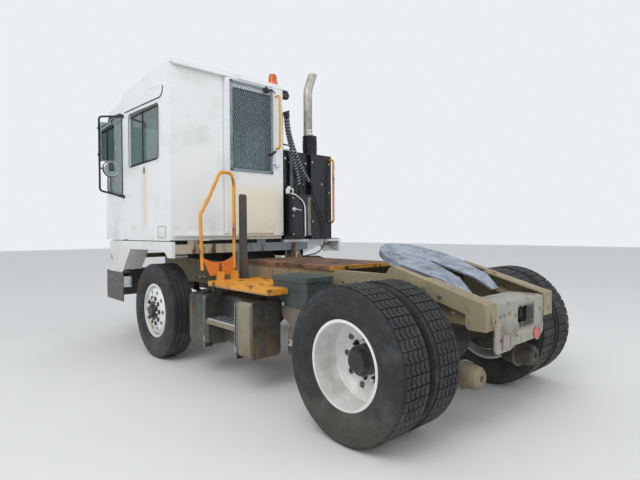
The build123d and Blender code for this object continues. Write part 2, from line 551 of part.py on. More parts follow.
# Steering knuckles: a fork over the axle eye, the kingpin, the spindle and the steering arm
FORK_THICKNESS = 46.0
FORK_GAP = 5.0
FORK_RADIUS = 50.0
BACKPLATE_RADIUS = 200.0
for side_name, side in (("left", 1), ("right", -1)):
    eye_high = AXLE_Z + EYE_HEIGHT / 2
    eye_low = AXLE_Z - EYE_HEIGHT / 2
    kingpin_y = side * KINGPIN_Y
    web_y = kingpin_y + side * (EYE_RADIUS + 6)
    plate_y = kingpin_y + side * 68
    spindle_end = side * (FRONT_WHEEL_Y + FRONT_DISC_OFFSET - 25)
    with BuildPart() as knuckle:
        for low in (eye_low - FORK_GAP - FORK_THICKNESS, eye_high + FORK_GAP):
            with BuildSketch(Plane.XY.offset(low)):
                with Locations((FRONT_AXLE_X, kingpin_y)):
                    Circle(FORK_RADIUS)
                with Locations((FRONT_AXLE_X, kingpin_y + side * 30)):
                    Rectangle(2 * FORK_RADIUS, 60)
            extrude(amount=FORK_THICKNESS)
        with BuildSketch(Plane.XY.offset(eye_low - FORK_GAP - FORK_THICKNESS)):
            with Locations((FRONT_AXLE_X, (web_y + plate_y) / 2)):
                Rectangle(2 * FORK_RADIUS, abs(plate_y - web_y))
        extrude(amount=EYE_HEIGHT + 2 * (FORK_GAP + FORK_THICKNESS))
        with BuildSketch(Plane.XY.offset(eye_low - FORK_GAP - FORK_THICKNESS)):
            with Locations((FRONT_AXLE_X, kingpin_y)):
                Circle(KINGPIN_RADIUS)
        extrude(amount=EYE_HEIGHT + 2 * (FORK_GAP + FORK_THICKNESS))
        with BuildSketch(Plane(origin=(FRONT_AXLE_X, plate_y, AXLE_Z), x_dir=(1, 0, 0), z_dir=(0, side, 0))):
            Circle(BACKPLATE_RADIUS)
        extrude(amount=-8)
        with BuildSketch(Plane(origin=(FRONT_AXLE_X, plate_y, AXLE_Z), x_dir=(1, 0, 0), z_dir=(0, side, 0))):
            Circle(SPINDLE_RADIUS)
        extrude(amount=abs(spindle_end - plate_y))
        with BuildSketch(Plane.XY.offset(TIE_ROD_Z + 18)):
            with BuildLine():
                Polyline((FRONT_AXLE_X, kingpin_y + side * 40), (FRONT_AXLE_X, kingpin_y - side * 40),
                         (FRONT_AXLE_X - STEER_ARM - 22, kingpin_y - side * 20),
                         (FRONT_AXLE_X - STEER_ARM - 22, kingpin_y + side * 20), close=True)
            make_face()
        extrude(amount=22)
        with BuildSketch(Plane.XY.offset(TIE_ROD_Z - 22)):
            with Locations((FRONT_AXLE_X - STEER_ARM, kingpin_y)):
                Circle(BALL_RADIUS)
        extrude(amount=62)
    save(knuckle, f"knuckle_{side_name}")

# Tie rod between the two steering arms
TIE_ROD_X = FRONT_AXLE_X - STEER_ARM
TIE_ROD_HALF = KINGPIN_Y
with BuildPart() as tie_rod:
    with BuildSketch(Plane(origin=(TIE_ROD_X, -TIE_ROD_HALF + 20, TIE_ROD_Z), x_dir=(1, 0, 0), z_dir=(0, 1, 0))):
        Circle(TIE_ROD_RADIUS)
    extrude(amount=2 * (TIE_ROD_HALF - 20))
    with BuildSketch(Plane.XY.offset(TIE_ROD_Z - 16)):
        with Locations((TIE_ROD_X, TIE_ROD_HALF), (TIE_ROD_X, -TIE_ROD_HALF)):
            Circle(26)
    extrude(amount=32)
    with BuildSketch(Plane.XY.offset(TIE_ROD_Z - 30)):
        with Locations((TIE_ROD_X, TIE_ROD_HALF), (TIE_ROD_X, -TIE_ROD_HALF)):
            Circle(BALL_RADIUS + 0.1)
    extrude(amount=60, mode=Mode.SUBTRACT)
save(tie_rod, "tie_rod")

# Rear axle: banjo housing, tubes, backing plates, spring brakes, seats under the rails and driveshaft
REAR_SPINDLE_RADIUS = AXLE_TUBE_RADIUS - 20
BACKING_PLATE_Y = REAR_DRUM_MOUTH_Y - 18
SPINDLE_END_Y = DUAL_OUTER_Y - DUAL_SPACING / 2 - 6
CHAMBER_Y = 420.0
CHAMBER_Z = 392.0
CHAMBER_FRONT_X = REAR_AXLE_X - 290.0
CHAMBER_RADIUS = 92.0
SHAFT_RADIUS = 45.0
SHAFT_FRONT_X = REAR_AXLE_X + 2180.0
SHAFT_FRONT_Z = 690.0
with BuildPart() as rear_axle:
    with BuildSketch(wheel_plane(REAR_AXLE_X)):
        with BuildLine():
            Polyline((-170, AXLE_TUBE_RADIUS), (-BACKING_PLATE_Y, AXLE_TUBE_RADIUS),
                     (-BACKING_PLATE_Y, BACKPLATE_RADIUS), (-BACKING_PLATE_Y - 10, BACKPLATE_RADIUS),
                     (-BACKING_PLATE_Y - 10, REAR_SPINDLE_RADIUS), (-SPINDLE_END_Y, REAR_SPINDLE_RADIUS),
                     (-SPINDLE_END_Y, 0), (SPINDLE_END_Y, 0), (SPINDLE_END_Y, REAR_SPINDLE_RADIUS),
                     (BACKING_PLATE_Y + 10, REAR_SPINDLE_RADIUS), (BACKING_PLATE_Y + 10, BACKPLATE_RADIUS),
                     (BACKING_PLATE_Y, BACKPLATE_RADIUS), (BACKING_PLATE_Y, AXLE_TUBE_RADIUS),
                     (170, AXLE_TUBE_RADIUS))
            ThreePointArc((170, AXLE_TUBE_RADIUS), (0, DIFF_RADIUS), (-170, AXLE_TUBE_RADIUS))
        make_face()
    revolve(axis=axle_line(REAR_AXLE_X))
    with BuildSketch(cross_plane(REAR_AXLE_X)):
        with Locations((0, AXLE_Z)):
            Circle(95)
    extrude(amount=330, taper=6)
    for side in (1, -1):
        with BuildSketch(side_plane(side * 390 + 45)):
            with BuildLine():
                Polyline((REAR_AXLE_X - 130, RAIL_BOTTOM), (REAR_AXLE_X + 130, RAIL_BOTTOM),
                         (REAR_AXLE_X + 80, AXLE_Z), (REAR_AXLE_X - 80, AXLE_Z), close=True)
            make_face()
        extrude(amount=90)
        with BuildSketch(side_plane(side * CHAMBER_Y + 10)):
            with BuildLine():
                Polyline((REAR_AXLE_X - 20, AXLE_Z + 20), (REAR_AXLE_X - 20, AXLE_Z - 60),
                         (CHAMBER_FRONT_X - 10, CHAMBER_Z - 60), (CHAMBER_FRONT_X - 10, CHAMBER_Z + 60),
                         (REAR_AXLE_X - 120, AXLE_Z + 20), close=True)
            make_face()
        extrude(amount=20)
        with BuildSketch(Plane(origin=(CHAMBER_FRONT_X, side * CHAMBER_Y, CHAMBER_Z), x_dir=(-1, 0, 0),
                               z_dir=(0, -1, 0))):
            with BuildLine():
                Polyline((0, 0), (0, 60), (22, 84), (95, CHAMBER_RADIUS), (104, CHAMBER_RADIUS + 9),
                         (122, CHAMBER_RADIUS + 9), (130, CHAMBER_RADIUS), (205, CHAMBER_RADIUS - 8),
                         (240, CHAMBER_RADIUS - 16), (258, CHAMBER_RADIUS - 34), (258, 24), (240, 20),
                         (240, 0), close=True)
            make_face()
        revolve(axis=Axis((CHAMBER_FRONT_X, side * CHAMBER_Y, CHAMBER_Z), (1, 0, 0)))
    shaft_start = (REAR_AXLE_X + 320, 0, AXLE_Z)
    shaft_end = (SHAFT_FRONT_X, 0, SHAFT_FRONT_Z)
    shaft_run = Vector(*shaft_end) - Vector(*shaft_start)
    with BuildSketch(Plane(origin=shaft_start, x_dir=(0, 1, 0), z_dir=tuple(shaft_run))):
        Circle(SHAFT_RADIUS)
    extrude(amount=shaft_run.length)
save(rear_axle, "rear_axle")

# Lift boom: two arms, the pivot tube, a cross tube, and the ears for the lift cylinders
BOOM_ARM_INNER_Y = 250.0
BOOM_ARM_WIDTH = 70.0
BOOM_ARM_DEPTH = 90.0
FIFTH_X = REAR_AXLE_X + 122.0
FIFTH_Z = 1130.0
FIFTH_TILT = 18.9
PLATE_PIVOT_DROP = 75.0
tilt = radians(FIFTH_TILT)
FIFTH_PIVOT_X = FIFTH_X + PLATE_PIVOT_DROP * sin(tilt)
FIFTH_PIVOT_Z = FIFTH_Z - PLATE_PIVOT_DROP * cos(tilt)
FIFTH_PIN_RADIUS = 25.0
FIFTH_EYE_RADIUS = 48.0
ROD_EYE_X = REAR_AXLE_X + 420.0
ROD_EYE_Z = 895.0
boom_slope = atan2(FIFTH_PIVOT_Z - BOOM_PIVOT_Z, BOOM_PIVOT_X - FIFTH_PIVOT_X)


def boom_centre_z(x):
    """Height of the boom arms' centre line at a station."""
    return BOOM_PIVOT_Z + (BOOM_PIVOT_X - x) * tan(boom_slope)


with BuildPart() as lift_boom:
    for side in (1, -1):
        arm_side_y = BOOM_ARM_INNER_Y + BOOM_ARM_WIDTH if side > 0 else -BOOM_ARM_INNER_Y
        half = BOOM_ARM_DEPTH / 2 / cos(boom_slope)
        with BuildSketch(side_plane(arm_side_y)):
            with BuildLine():
                Polyline((BOOM_PIVOT_X, BOOM_PIVOT_Z - half), (FIFTH_PIVOT_X, FIFTH_PIVOT_Z - half + 12),
                         (FIFTH_PIVOT_X, FIFTH_PIVOT_Z + half - 12), (BOOM_PIVOT_X, BOOM_PIVOT_Z + half),
                         close=True)
            make_face()
            with Locations((BOOM_PIVOT_X, BOOM_PIVOT_Z)):
                Circle(58)
            with Locations((FIFTH_PIVOT_X, FIFTH_PIVOT_Z)):
                Circle(FIFTH_EYE_RADIUS)
                Circle(FIFTH_PIN_RADIUS + RUNNING_FIT, mode=Mode.SUBTRACT)
        extrude(amount=BOOM_ARM_WIDTH)
        for ear_y in (side * CYLINDER_Y + CYLINDER_EAR_GAP + 10, side * CYLINDER_Y - CYLINDER_EAR_GAP):
            with BuildSketch(side_plane(ear_y)):
                with Locations((ROD_EYE_X, ROD_EYE_Z)):
                    Circle(30)
                with Locations((ROD_EYE_X, (ROD_EYE_Z + boom_centre_z(ROD_EYE_X)) / 2)):
                    Rectangle(60, boom_centre_z(ROD_EYE_X) - ROD_EYE_Z)
            extrude(amount=10)
        with BuildSketch(side_plane(side * CYLINDER_Y + CYLINDER_EAR_GAP + 4)):
            with Locations((ROD_EYE_X, ROD_EYE_Z)):
                Circle(CYLINDER_PIN_RADIUS)
        extrude(amount=2 * CYLINDER_EAR_GAP + 8)
    for x, radius in ((BOOM_PIVOT_X, 48.0), (FIFTH_PIVOT_X + 330.0, 38.0)):
        with BuildSketch(side_plane(BOOM_ARM_INNER_Y + 10)):
            with Locations((x, boom_centre_z(x))):
                Circle(radius)
        extrude(amount=2 * BOOM_ARM_INNER_Y + 20)
    with BuildSketch(side_plane(RAIL_OUTER_Y - 2)):
        with Locations((BOOM_PIVOT_X, BOOM_PIVOT_Z)):
            Circle(BOOM_PIN_RADIUS)
    extrude(amount=2 * (RAIL_OUTER_Y - 2))
save(lift_boom, "lift_boom")

# Lift cylinders: barrels on the crossmember's ears, rods up to the boom's pins
cylinder_run = Vector(ROD_EYE_X - CYLINDER_BASE_X, 0, ROD_EYE_Z - CYLINDER_BASE_Z)
cylinder_axis = cylinder_run.normalized()
BARREL_RADIUS = 45.0
BARREL_WALL = 9.0
BARREL_START = 44.0
BARREL_LENGTH = 262.0
PISTON_GAP = 14.0
CYLINDER_EYE_HALF = 20.0
ROD_RADIUS = 26.0
ROD_EYE_CLEARANCE = 12.0
ROD_EYE_RADIUS = 40.0
with BuildPart() as lift_barrels:
    for y in (CYLINDER_Y, -CYLINDER_Y):
        foot = Vector(CYLINDER_BASE_X, y, CYLINDER_BASE_Z)
        with BuildSketch(side_plane(y + CYLINDER_EYE_HALF)):
            with Locations((CYLINDER_BASE_X, CYLINDER_BASE_Z)):
                Circle(32)
        extrude(amount=2 * CYLINDER_EYE_HALF)
        with BuildSketch(Plane(origin=foot + cylinder_axis * 20, x_dir=(0, 1, 0), z_dir=cylinder_axis)):
            Rectangle(2 * CYLINDER_EYE_HALF, 50)
        extrude(amount=BARREL_START - 18)
        with BuildSketch(Plane(origin=foot + cylinder_axis * BARREL_START, x_dir=(0, 1, 0), z_dir=cylinder_axis)):
            Circle(BARREL_RADIUS)
        extrude(amount=BARREL_LENGTH)
        with BuildSketch(Plane(origin=foot + cylinder_axis * (BARREL_START + 12), x_dir=(0, 1, 0),
                               z_dir=cylinder_axis)):
            Circle(BARREL_RADIUS - BARREL_WALL)
        extrude(amount=BARREL_LENGTH - 30, mode=Mode.SUBTRACT)
        with BuildSketch(Plane(origin=foot + cylinder_axis * (BARREL_START + 12), x_dir=(0, 1, 0),
                               z_dir=cylinder_axis)):
            Circle(ROD_RADIUS + RUNNING_FIT)
        extrude(amount=BARREL_LENGTH, mode=Mode.SUBTRACT)
        with BuildSketch(side_plane(y + CYLINDER_EAR_GAP + 12)):
            with Locations((CYLINDER_BASE_X, CYLINDER_BASE_Z)):
                Circle(CYLINDER_PIN_RADIUS)
        extrude(amount=2 * (CYLINDER_EAR_GAP + 12))
save(lift_barrels, "lift_barrels")
with BuildPart() as lift_rods:
    rod_length = cylinder_run.length - BARREL_START - PISTON_GAP
    for y in (CYLINDER_Y, -CYLINDER_Y):
        eye = Vector(ROD_EYE_X, y, ROD_EYE_Z)
        with BuildSketch(Plane(origin=eye, x_dir=(0, 1, 0), z_dir=cylinder_axis * -1)):
            Circle(ROD_RADIUS)
        extrude(amount=rod_length)
        with BuildSketch(side_plane(y + CYLINDER_EYE_HALF)):
            with Locations((ROD_EYE_X, ROD_EYE_Z)):
                Circle(ROD_EYE_RADIUS)
        extrude(amount=2 * CYLINDER_EYE_HALF)
        for cut_y in (y + CYLINDER_EYE_HALF + 30, y - CYLINDER_EYE_HALF):
            with BuildSketch(side_plane(cut_y)):
                with Locations((ROD_EYE_X, ROD_EYE_Z)):
                    Circle(ROD_EYE_RADIUS)
            extrude(amount=30, mode=Mode.SUBTRACT)
        with BuildSketch(side_plane(y + CYLINDER_EYE_HALF + 40)):
            with Locations((ROD_EYE_X, ROD_EYE_Z)):
                Circle(CYLINDER_PIN_RADIUS + ROD_EYE_CLEARANCE)
        extrude(amount=2 * CYLINDER_EYE_HALF + 80, mode=Mode.SUBTRACT)
save(lift_rods, "lift_rods")

# Fifth wheel plate: drawn in its own tilted plane, u forward and v to the left
PLATE_HALF_WIDTH = 425.0
PLATE_FRONT = 455.0
PLATE_THICKNESS = 14.0
PLATE_RIM_DEPTH = 46.0
PLATE_RIM_WALL = 16.0
HORN_TIP = 330.0
HORN_OUTER = 330.0
HORN_INNER = 95.0
THROAT_RADIUS = 27.0
KINGPIN_JAW_RADIUS = 25.4
JAW_DEPTH = 68.0
LIP_LENGTH = 165.0
LIP_DROP = 17.0
plate_x_dir = (cos(tilt), 0, sin(tilt))
plate_normal = (-sin(tilt), 0, cos(tilt))
plate_plane = Plane(origin=(FIFTH_X, 0, FIFTH_Z), x_dir=plate_x_dir, z_dir=plate_normal)


def plate_outline(inset):
    """Round front ahead of the pin, tapered sides and two square horns behind it."""
    with BuildLine() as outline:
        wide, front = PLATE_HALF_WIDTH - inset, PLATE_FRONT - inset
        ThreePointArc((0, -wide), (front, 0), (0, wide))
        Polyline((0, wide), (-HORN_TIP + inset, HORN_OUTER - inset), (-HORN_TIP + inset, -HORN_OUTER + inset),
                 (0, -wide))
    return outline.edges()


def throat_outline():
    """The V-shaped mouth that guides the trailer's pin to its seat."""
    with BuildLine() as outline:
        Polyline((0, THROAT_RADIUS), (-60, THROAT_RADIUS), (-HORN_TIP - 5, HORN_INNER),
                 (-HORN_TIP - 5, -HORN_INNER), (-60, -THROAT_RADIUS), (0, -THROAT_RADIUS))
        ThreePointArc((0, -THROAT_RADIUS), (THROAT_RADIUS, 0), (0, THROAT_RADIUS))
    return outline.edges()


with BuildPart() as fifth_wheel:
    with BuildSketch(plate_plane):
        make_face(plate_outline(0))
        make_face(throat_outline(), mode=Mode.SUBTRACT)
    extrude(amount=-PLATE_THICKNESS)
    with BuildSketch(plate_plane):
        make_face(plate_outline(0))
        make_face(plate_outline(PLATE_RIM_WALL), mode=Mode.SUBTRACT)
        with Locations((-HORN_TIP / 2 - 60, 0)):
            Rectangle(HORN_TIP + 60, 2 * HORN_OUTER - 4 * PLATE_RIM_WALL, mode=Mode.SUBTRACT)
    extrude(amount=-PLATE_RIM_DEPTH)
    with BuildSketch(plate_plane.offset(-PLATE_THICKNESS + 1)):
        with Locations((40, 0)):
            Rectangle(230, 150)
        make_face(throat_outline(), mode=Mode.SUBTRACT)
        Circle(KINGPIN_JAW_RADIUS, mode=Mode.SUBTRACT)
    extrude(amount=-JAW_DEPTH)
    for side in (1, -1):
        with BuildSketch(plate_plane.offset(-PLATE_THICKNESS + 1)):
            with Locations((0, side * 200)):
                Rectangle(560, 16)
            with Locations((120, side * 138)):
                Rectangle(16, 125)
        extrude(amount=-34)
        with BuildSketch(side_plane(side * 217.5 + 17.5)):
            with BuildLine():
                Polyline((FIFTH_PIVOT_X - 45, FIFTH_PIVOT_Z), (FIFTH_PIVOT_X + 45, FIFTH_PIVOT_Z),
                         (FIFTH_PIVOT_X + 90, FIFTH_PIVOT_Z + 84), (FIFTH_PIVOT_X - 120, FIFTH_PIVOT_Z + 16),
                         close=True)
            make_face()
            with Locations((FIFTH_PIVOT_X, FIFTH_PIVOT_Z)):
                Circle(45)
        extrude(amount=35)
        with BuildSketch(side_plane(side * 267.5 + 62.5)):
            with Locations((FIFTH_PIVOT_X, FIFTH_PIVOT_Z)):
                Circle(FIFTH_PIN_RADIUS)
        extrude(amount=125)
        lip_plane = Plane(origin=(FIFTH_X - HORN_TIP * cos(tilt), 0, FIFTH_Z - HORN_TIP * sin(tilt)),
                          x_dir=(cos(tilt + radians(LIP_DROP)), 0, sin(tilt + radians(LIP_DROP))),
                          z_dir=(-sin(tilt + radians(LIP_DROP)), 0, cos(tilt + radians(LIP_DROP))))
        with BuildSketch(lip_plane):
            with BuildLine():
                Polyline((4, side * HORN_INNER), (4, side * HORN_OUTER), (-LIP_LENGTH, side * (HORN_OUTER - 70)),
                         (-LIP_LENGTH, side * (HORN_INNER + 60)), close=True)
            make_face()
        extrude(amount=-PLATE_THICKNESS)
save(fifth_wheel, "fifth_wheel")

# Fuel tank on the left: a front box, a recess with a grated step, and a rear box
TANK_OUTER_Y = 1150.0
TANK_INNER_Y = 830.0
TANK_REAR_X = REAR_AXLE_X + 1130.0
TANK_RECESS_REAR_X = REAR_AXLE_X + 1360.0
TANK_AXLE_GAP = 736.0
TANK_FRONT_BOX = 330.0
TANK_FRONT_X = FRONT_AXLE_X - TANK_AXLE_GAP
TANK_RECESS_FRONT_X = TANK_FRONT_X - TANK_FRONT_BOX
TANK_TOP = 790.0
TANK_BOTTOM = 310.0
TANK_CORNER = 45.0
TANK_RECESS_DEPTH = 190.0
TANK_STEP_Z = 520.0
TANK_STEP_THICKNESS = 40.0
TANK_BRACKET_TOP = 845.0


def rounded_box_sketch(centre_y, centre_z, width, height, radius):
    with Locations((centre_y, centre_z)):
        RectangleRounded(width, height, radius)


with BuildPart() as fuel_tank:
    middle_y = (TANK_OUTER_Y + TANK_INNER_Y) / 2
    middle_z = (TANK_TOP + TANK_BOTTOM) / 2
    for rear_x, front_x in ((TANK_REAR_X, TANK_RECESS_REAR_X), (TANK_RECESS_FRONT_X, TANK_FRONT_X)):
        with BuildSketch(cross_plane(rear_x)):
            rounded_box_sketch(middle_y, middle_z, TANK_OUTER_Y - TANK_INNER_Y, TANK_TOP - TANK_BOTTOM,
                               TANK_CORNER)
        extrude(amount=front_x - rear_x)
    with BuildSketch(cross_plane(TANK_RECESS_REAR_X - 5)):
        rounded_box_sketch(middle_y - TANK_RECESS_DEPTH / 2, middle_z,
                           TANK_OUTER_Y - TANK_INNER_Y - TANK_RECESS_DEPTH, TANK_TOP - TANK_BOTTOM - 10,
                           TANK_CORNER)
    extrude(amount=TANK_RECESS_FRONT_X - TANK_RECESS_REAR_X + 10)
    with BuildSketch(Plane.XY.offset(TANK_STEP_Z)):
        with Locations(((TANK_RECESS_REAR_X + TANK_RECESS_FRONT_X) / 2, TANK_OUTER_Y - TANK_RECESS_DEPTH / 2 - 6)):
            Rectangle(TANK_RECESS_FRONT_X - TANK_RECESS_REAR_X + 10, TANK_RECESS_DEPTH)
    extrude(amount=TANK_STEP_THICKNESS)
    for x in (TANK_REAR_X + 170, TANK_FRONT_X - 110):
        with BuildSketch(cross_plane(x - 25)):
            with BuildLine():
                Polyline((RAIL_OUTER_Y, TANK_BRACKET_TOP), (RAIL_OUTER_Y, RAIL_BOTTOM), (TANK_INNER_Y + 20, 470),
                         (TANK_INNER_Y + 20, 700), (RAIL_OUTER_Y + 60, TANK_BRACKET_TOP), close=True)
            make_face()
        extrude(amount=50)
        with BuildSketch(cross_plane(x - 25)):
            with Locations((TANK_OUTER_Y - 200, TANK_BOTTOM - 8)):
                Rectangle(60, 20)
        extrude(amount=50)
save(fuel_tank, "fuel_tank")

# Toolbox sizes, which the side step is notched around
BOX_OUTER_Y = 815.0
BOX_INNER_Y = 520.0
BOX_REAR_X = REAR_AXLE_X + 790.0
BOX_FRONT_X = REAR_AXLE_X + 1262.0
BOX_BOTTOM = 740.0
BOX_TOP = 972.0
BOX_WALL = 6.0
BOX_CORNER = 14.0
LID_HEIGHT = 30.0
LID_OVERHANG = 14.0

# Side step: the yellow tread board over the tank, its brackets, and the dark guide post
STEP_TOP = 905.0
STEP_THICKNESS = 50.0
STEP_OUTER_Y = 1040.0
STEP_REAR_X = REAR_AXLE_X + 1010.0
STEP_FRONT_X = REAR_AXLE_X + 2030.0
POST_X = REAR_AXLE_X + 2040.0
POST_Y = 640.0
POST_TOP = 1780.0
POST_WIDTH = 62.0
with BuildPart() as side_step:
    with BuildSketch(Plane.XY.offset(STEP_TOP - STEP_THICKNESS)):
        with Locations(((STEP_REAR_X + STEP_FRONT_X) / 2, (STEP_OUTER_Y + RAIL_OUTER_Y) / 2)):
            Rectangle(STEP_FRONT_X - STEP_REAR_X, STEP_OUTER_Y - RAIL_OUTER_Y)
    extrude(amount=STEP_THICKNESS)
    with BuildSketch(Plane.XY.offset(STEP_TOP - STEP_THICKNESS)):
        with Locations(((STEP_REAR_X + STEP_FRONT_X) / 2, (STEP_OUTER_Y + RAIL_OUTER_Y) / 2)):
            Rectangle(STEP_FRONT_X - STEP_REAR_X - 12, STEP_OUTER_Y - RAIL_OUTER_Y - 12)
    extrude(amount=STEP_THICKNESS - 7, mode=Mode.SUBTRACT)
    with BuildSketch(Plane.XY.offset(STEP_TOP - STEP_THICKNESS)):
        with Locations(((STEP_REAR_X + BOX_FRONT_X) / 2, (BOX_OUTER_Y + RAIL_OUTER_Y) / 2)):
            Rectangle(BOX_FRONT_X - STEP_REAR_X + 2 * MOVING_GAP + 2 * LID_OVERHANG,
                      BOX_OUTER_Y - RAIL_OUTER_Y + 2 * MOVING_GAP + 2 * LID_OVERHANG)
    extrude(amount=STEP_THICKNESS, mode=Mode.SUBTRACT)
    for x in (BOX_FRONT_X + 110, STEP_FRONT_X - 60):
        with BuildSketch(cross_plane(x - 6)):
            with BuildLine():
                Polyline((RAIL_OUTER_Y, STEP_TOP - 8), (RAIL_OUTER_Y, RAIL_BOTTOM + 60),
                         (STEP_OUTER_Y - 120, STEP_TOP - STEP_THICKNESS + 5), (STEP_OUTER_Y - 120, STEP_TOP - 8),
                         close=True)
            make_face()
        extrude(amount=12)
    with BuildSketch(Plane.XY.offset(STEP_TOP)):
        with Locations((POST_X - 45, POST_Y)):
            Rectangle(90, POST_WIDTH)
    with BuildSketch(Plane.XY.offset(STEP_TOP + 340)):
        with Locations((POST_X - 28, POST_Y)):
            Rectangle(56, POST_WIDTH)
    loft()
    with BuildSketch(side_plane(POST_Y + POST_WIDTH / 2)):
        with BuildLine():
            Polyline((POST_X - 56, STEP_TOP + 339), (POST_X, STEP_TOP + 339), (POST_X, POST_TOP - 24),
                     (POST_X - 14, POST_TOP), (POST_X - 42, POST_TOP), (POST_X - 56, POST_TOP - 24), close=True)
        make_face()
    extrude(amount=POST_WIDTH)
save(side_step, "side_step")

# Grab hoop: bent tube standing beside the cab door, with the kick plate between its legs
HOOP_X = REAR_AXLE_X + 2070.0
HOOP_RADIUS = 17.0
HOOP_INNER_Y = 712.0
HOOP_OUTER_Y = 1085.0
HOOP_FOOT_Z = 950.0
HOOP_TOP_Z = 2000.0
HOOP_PATH = (
    (HOOP_OUTER_Y - 5, HOOP_FOOT_Z + 60), (HOOP_OUTER_Y + 12, 1560.0), (HOOP_OUTER_Y - 85, 1735.0),
    (870.0, HOOP_TOP_Z), (740.0, HOOP_TOP_Z), (HOOP_INNER_Y, 1900.0), (HOOP_INNER_Y, HOOP_FOOT_Z + 60),
)
with BuildPart() as grab_hoop:
    with BuildLine(cross_plane(HOOP_X)) as hoop_path:
        FilletPolyline(*HOOP_PATH, radius=55)
    with BuildSketch(Plane(origin=hoop_path.line @ 0, z_dir=hoop_path.line % 0)):
        Circle(HOOP_RADIUS)
    sweep()
    with BuildSketch(cross_plane(HOOP_X - 5)):
        with BuildLine():
            Polyline((HOOP_OUTER_Y + 5, 1150), (HOOP_OUTER_Y - 90, HOOP_FOOT_Z), (HOOP_INNER_Y - 15, HOOP_FOOT_Z),
                     (HOOP_INNER_Y - 15, 1165))
            ThreePointArc((HOOP_INNER_Y - 15, 1165), ((HOOP_OUTER_Y + HOOP_INNER_Y) / 2 - 20, 1085),
                          (HOOP_OUTER_Y + 5, 1150))
        make_face()
    extrude(amount=10)
    for y in (HOOP_INNER_Y + 30, HOOP_INNER_Y + 190):
        with BuildSketch(cross_plane(HOOP_X - 90)):
            with Locations((y, (STEP_TOP + HOOP_FOOT_Z) / 2 + 20)):
                Rectangle(40, HOOP_FOOT_Z + 40 - STEP_TOP)
        extrude(amount=95)
save(grab_hoop, "grab_hoop")

# Toolbox on the rear left, its flap, lower box and air tank; the lid is hinged at the inner edge
AIR_TANK_RADIUS = 105.0
AIR_TANK_X = (REAR_AXLE_X + 745.0, REAR_AXLE_X + 1105.0)
AIR_TANK_Y = 590.0
AIR_TANK_Z = 400.0
box_x = (BOX_REAR_X + BOX_FRONT_X) / 2
box_y = (BOX_OUTER_Y + BOX_INNER_Y) / 2
with BuildPart() as toolbox:
    with BuildSketch(Plane.XY.offset(BOX_BOTTOM)):
        with Locations((box_x, box_y)):
            RectangleRounded(BOX_FRONT_X - BOX_REAR_X, BOX_OUTER_Y - BOX_INNER_Y, BOX_CORNER)
    extrude(amount=BOX_TOP - BOX_BOTTOM)
    with BuildSketch(Plane.XY.offset(BOX_BOTTOM + BOX_WALL)):
        with Locations((box_x, box_y)):
            RectangleRounded(BOX_FRONT_X - BOX_REAR_X - 2 * BOX_WALL, BOX_OUTER_Y - BOX_INNER_Y - 2 * BOX_WALL,
                             BOX_CORNER - BOX_WALL)
    extrude(amount=BOX_TOP - BOX_BOTTOM, mode=Mode.SUBTRACT)
    with BuildSketch(side_plane(BOX_INNER_Y + 20)):
        with Locations((box_x, 860)):
            Rectangle(260, 90)
    extrude(amount=BOX_INNER_Y + 20 - RAIL_OUTER_Y)
    with BuildSketch(side_plane(BOX_OUTER_Y - 10)):
        with BuildLine():
            Polyline((BOX_REAR_X + 20, BOX_BOTTOM + 10), (BOX_FRONT_X - 90, BOX_BOTTOM + 10),
                     (BOX_FRONT_X - 130, 640), (BOX_REAR_X + 130, 520), (BOX_REAR_X + 60, 600), close=True)
        make_face()
    extrude(amount=14)
    with BuildSketch(side_plane(BOX_OUTER_Y - 24)):
        with Locations((BOX_REAR_X + 170, 430)):
            RectangleRounded(230, 230, 20)
        with Locations((BOX_REAR_X + 170, 620)):
            Rectangle(120, 260)
    extrude(amount=120)
    with BuildSketch(Plane(origin=(AIR_TANK_X[0], AIR_TANK_Y, AIR_TANK_Z), x_dir=(1, 0, 0), z_dir=(0, -1, 0))):
        with BuildLine():
            tank_length = AIR_TANK_X[1] - AIR_TANK_X[0]
            Line((0, 0), (0, AIR_TANK_RADIUS * 0.45))
            ThreePointArc((0, AIR_TANK_RADIUS * 0.45), (12, AIR_TANK_RADIUS * 0.82), (42, AIR_TANK_RADIUS))
            Line((42, AIR_TANK_RADIUS), (tank_length - 42, AIR_TANK_RADIUS))
            ThreePointArc((tank_length - 42, AIR_TANK_RADIUS), (tank_length - 12, AIR_TANK_RADIUS * 0.82),
                          (tank_length, AIR_TANK_RADIUS * 0.45))
            Polyline((tank_length, AIR_TANK_RADIUS * 0.45), (tank_length, 0), (0, 0))
        make_face()
    revolve(axis=Axis((AIR_TANK_X[0], AIR_TANK_Y, AIR_TANK_Z), (1, 0, 0)))
    with BuildSketch(cross_plane(BOX_REAR_X + 150)):
        with Locations((AIR_TANK_Y, 620)):
            Rectangle(60, 270)
    extrude(amount=40)
save(toolbox, "toolbox")
LID_HINGE_Y = BOX_INNER_Y - LID_OVERHANG
LID_HINGE_Z = BOX_TOP
LID_BARREL_RADIUS = 7.0
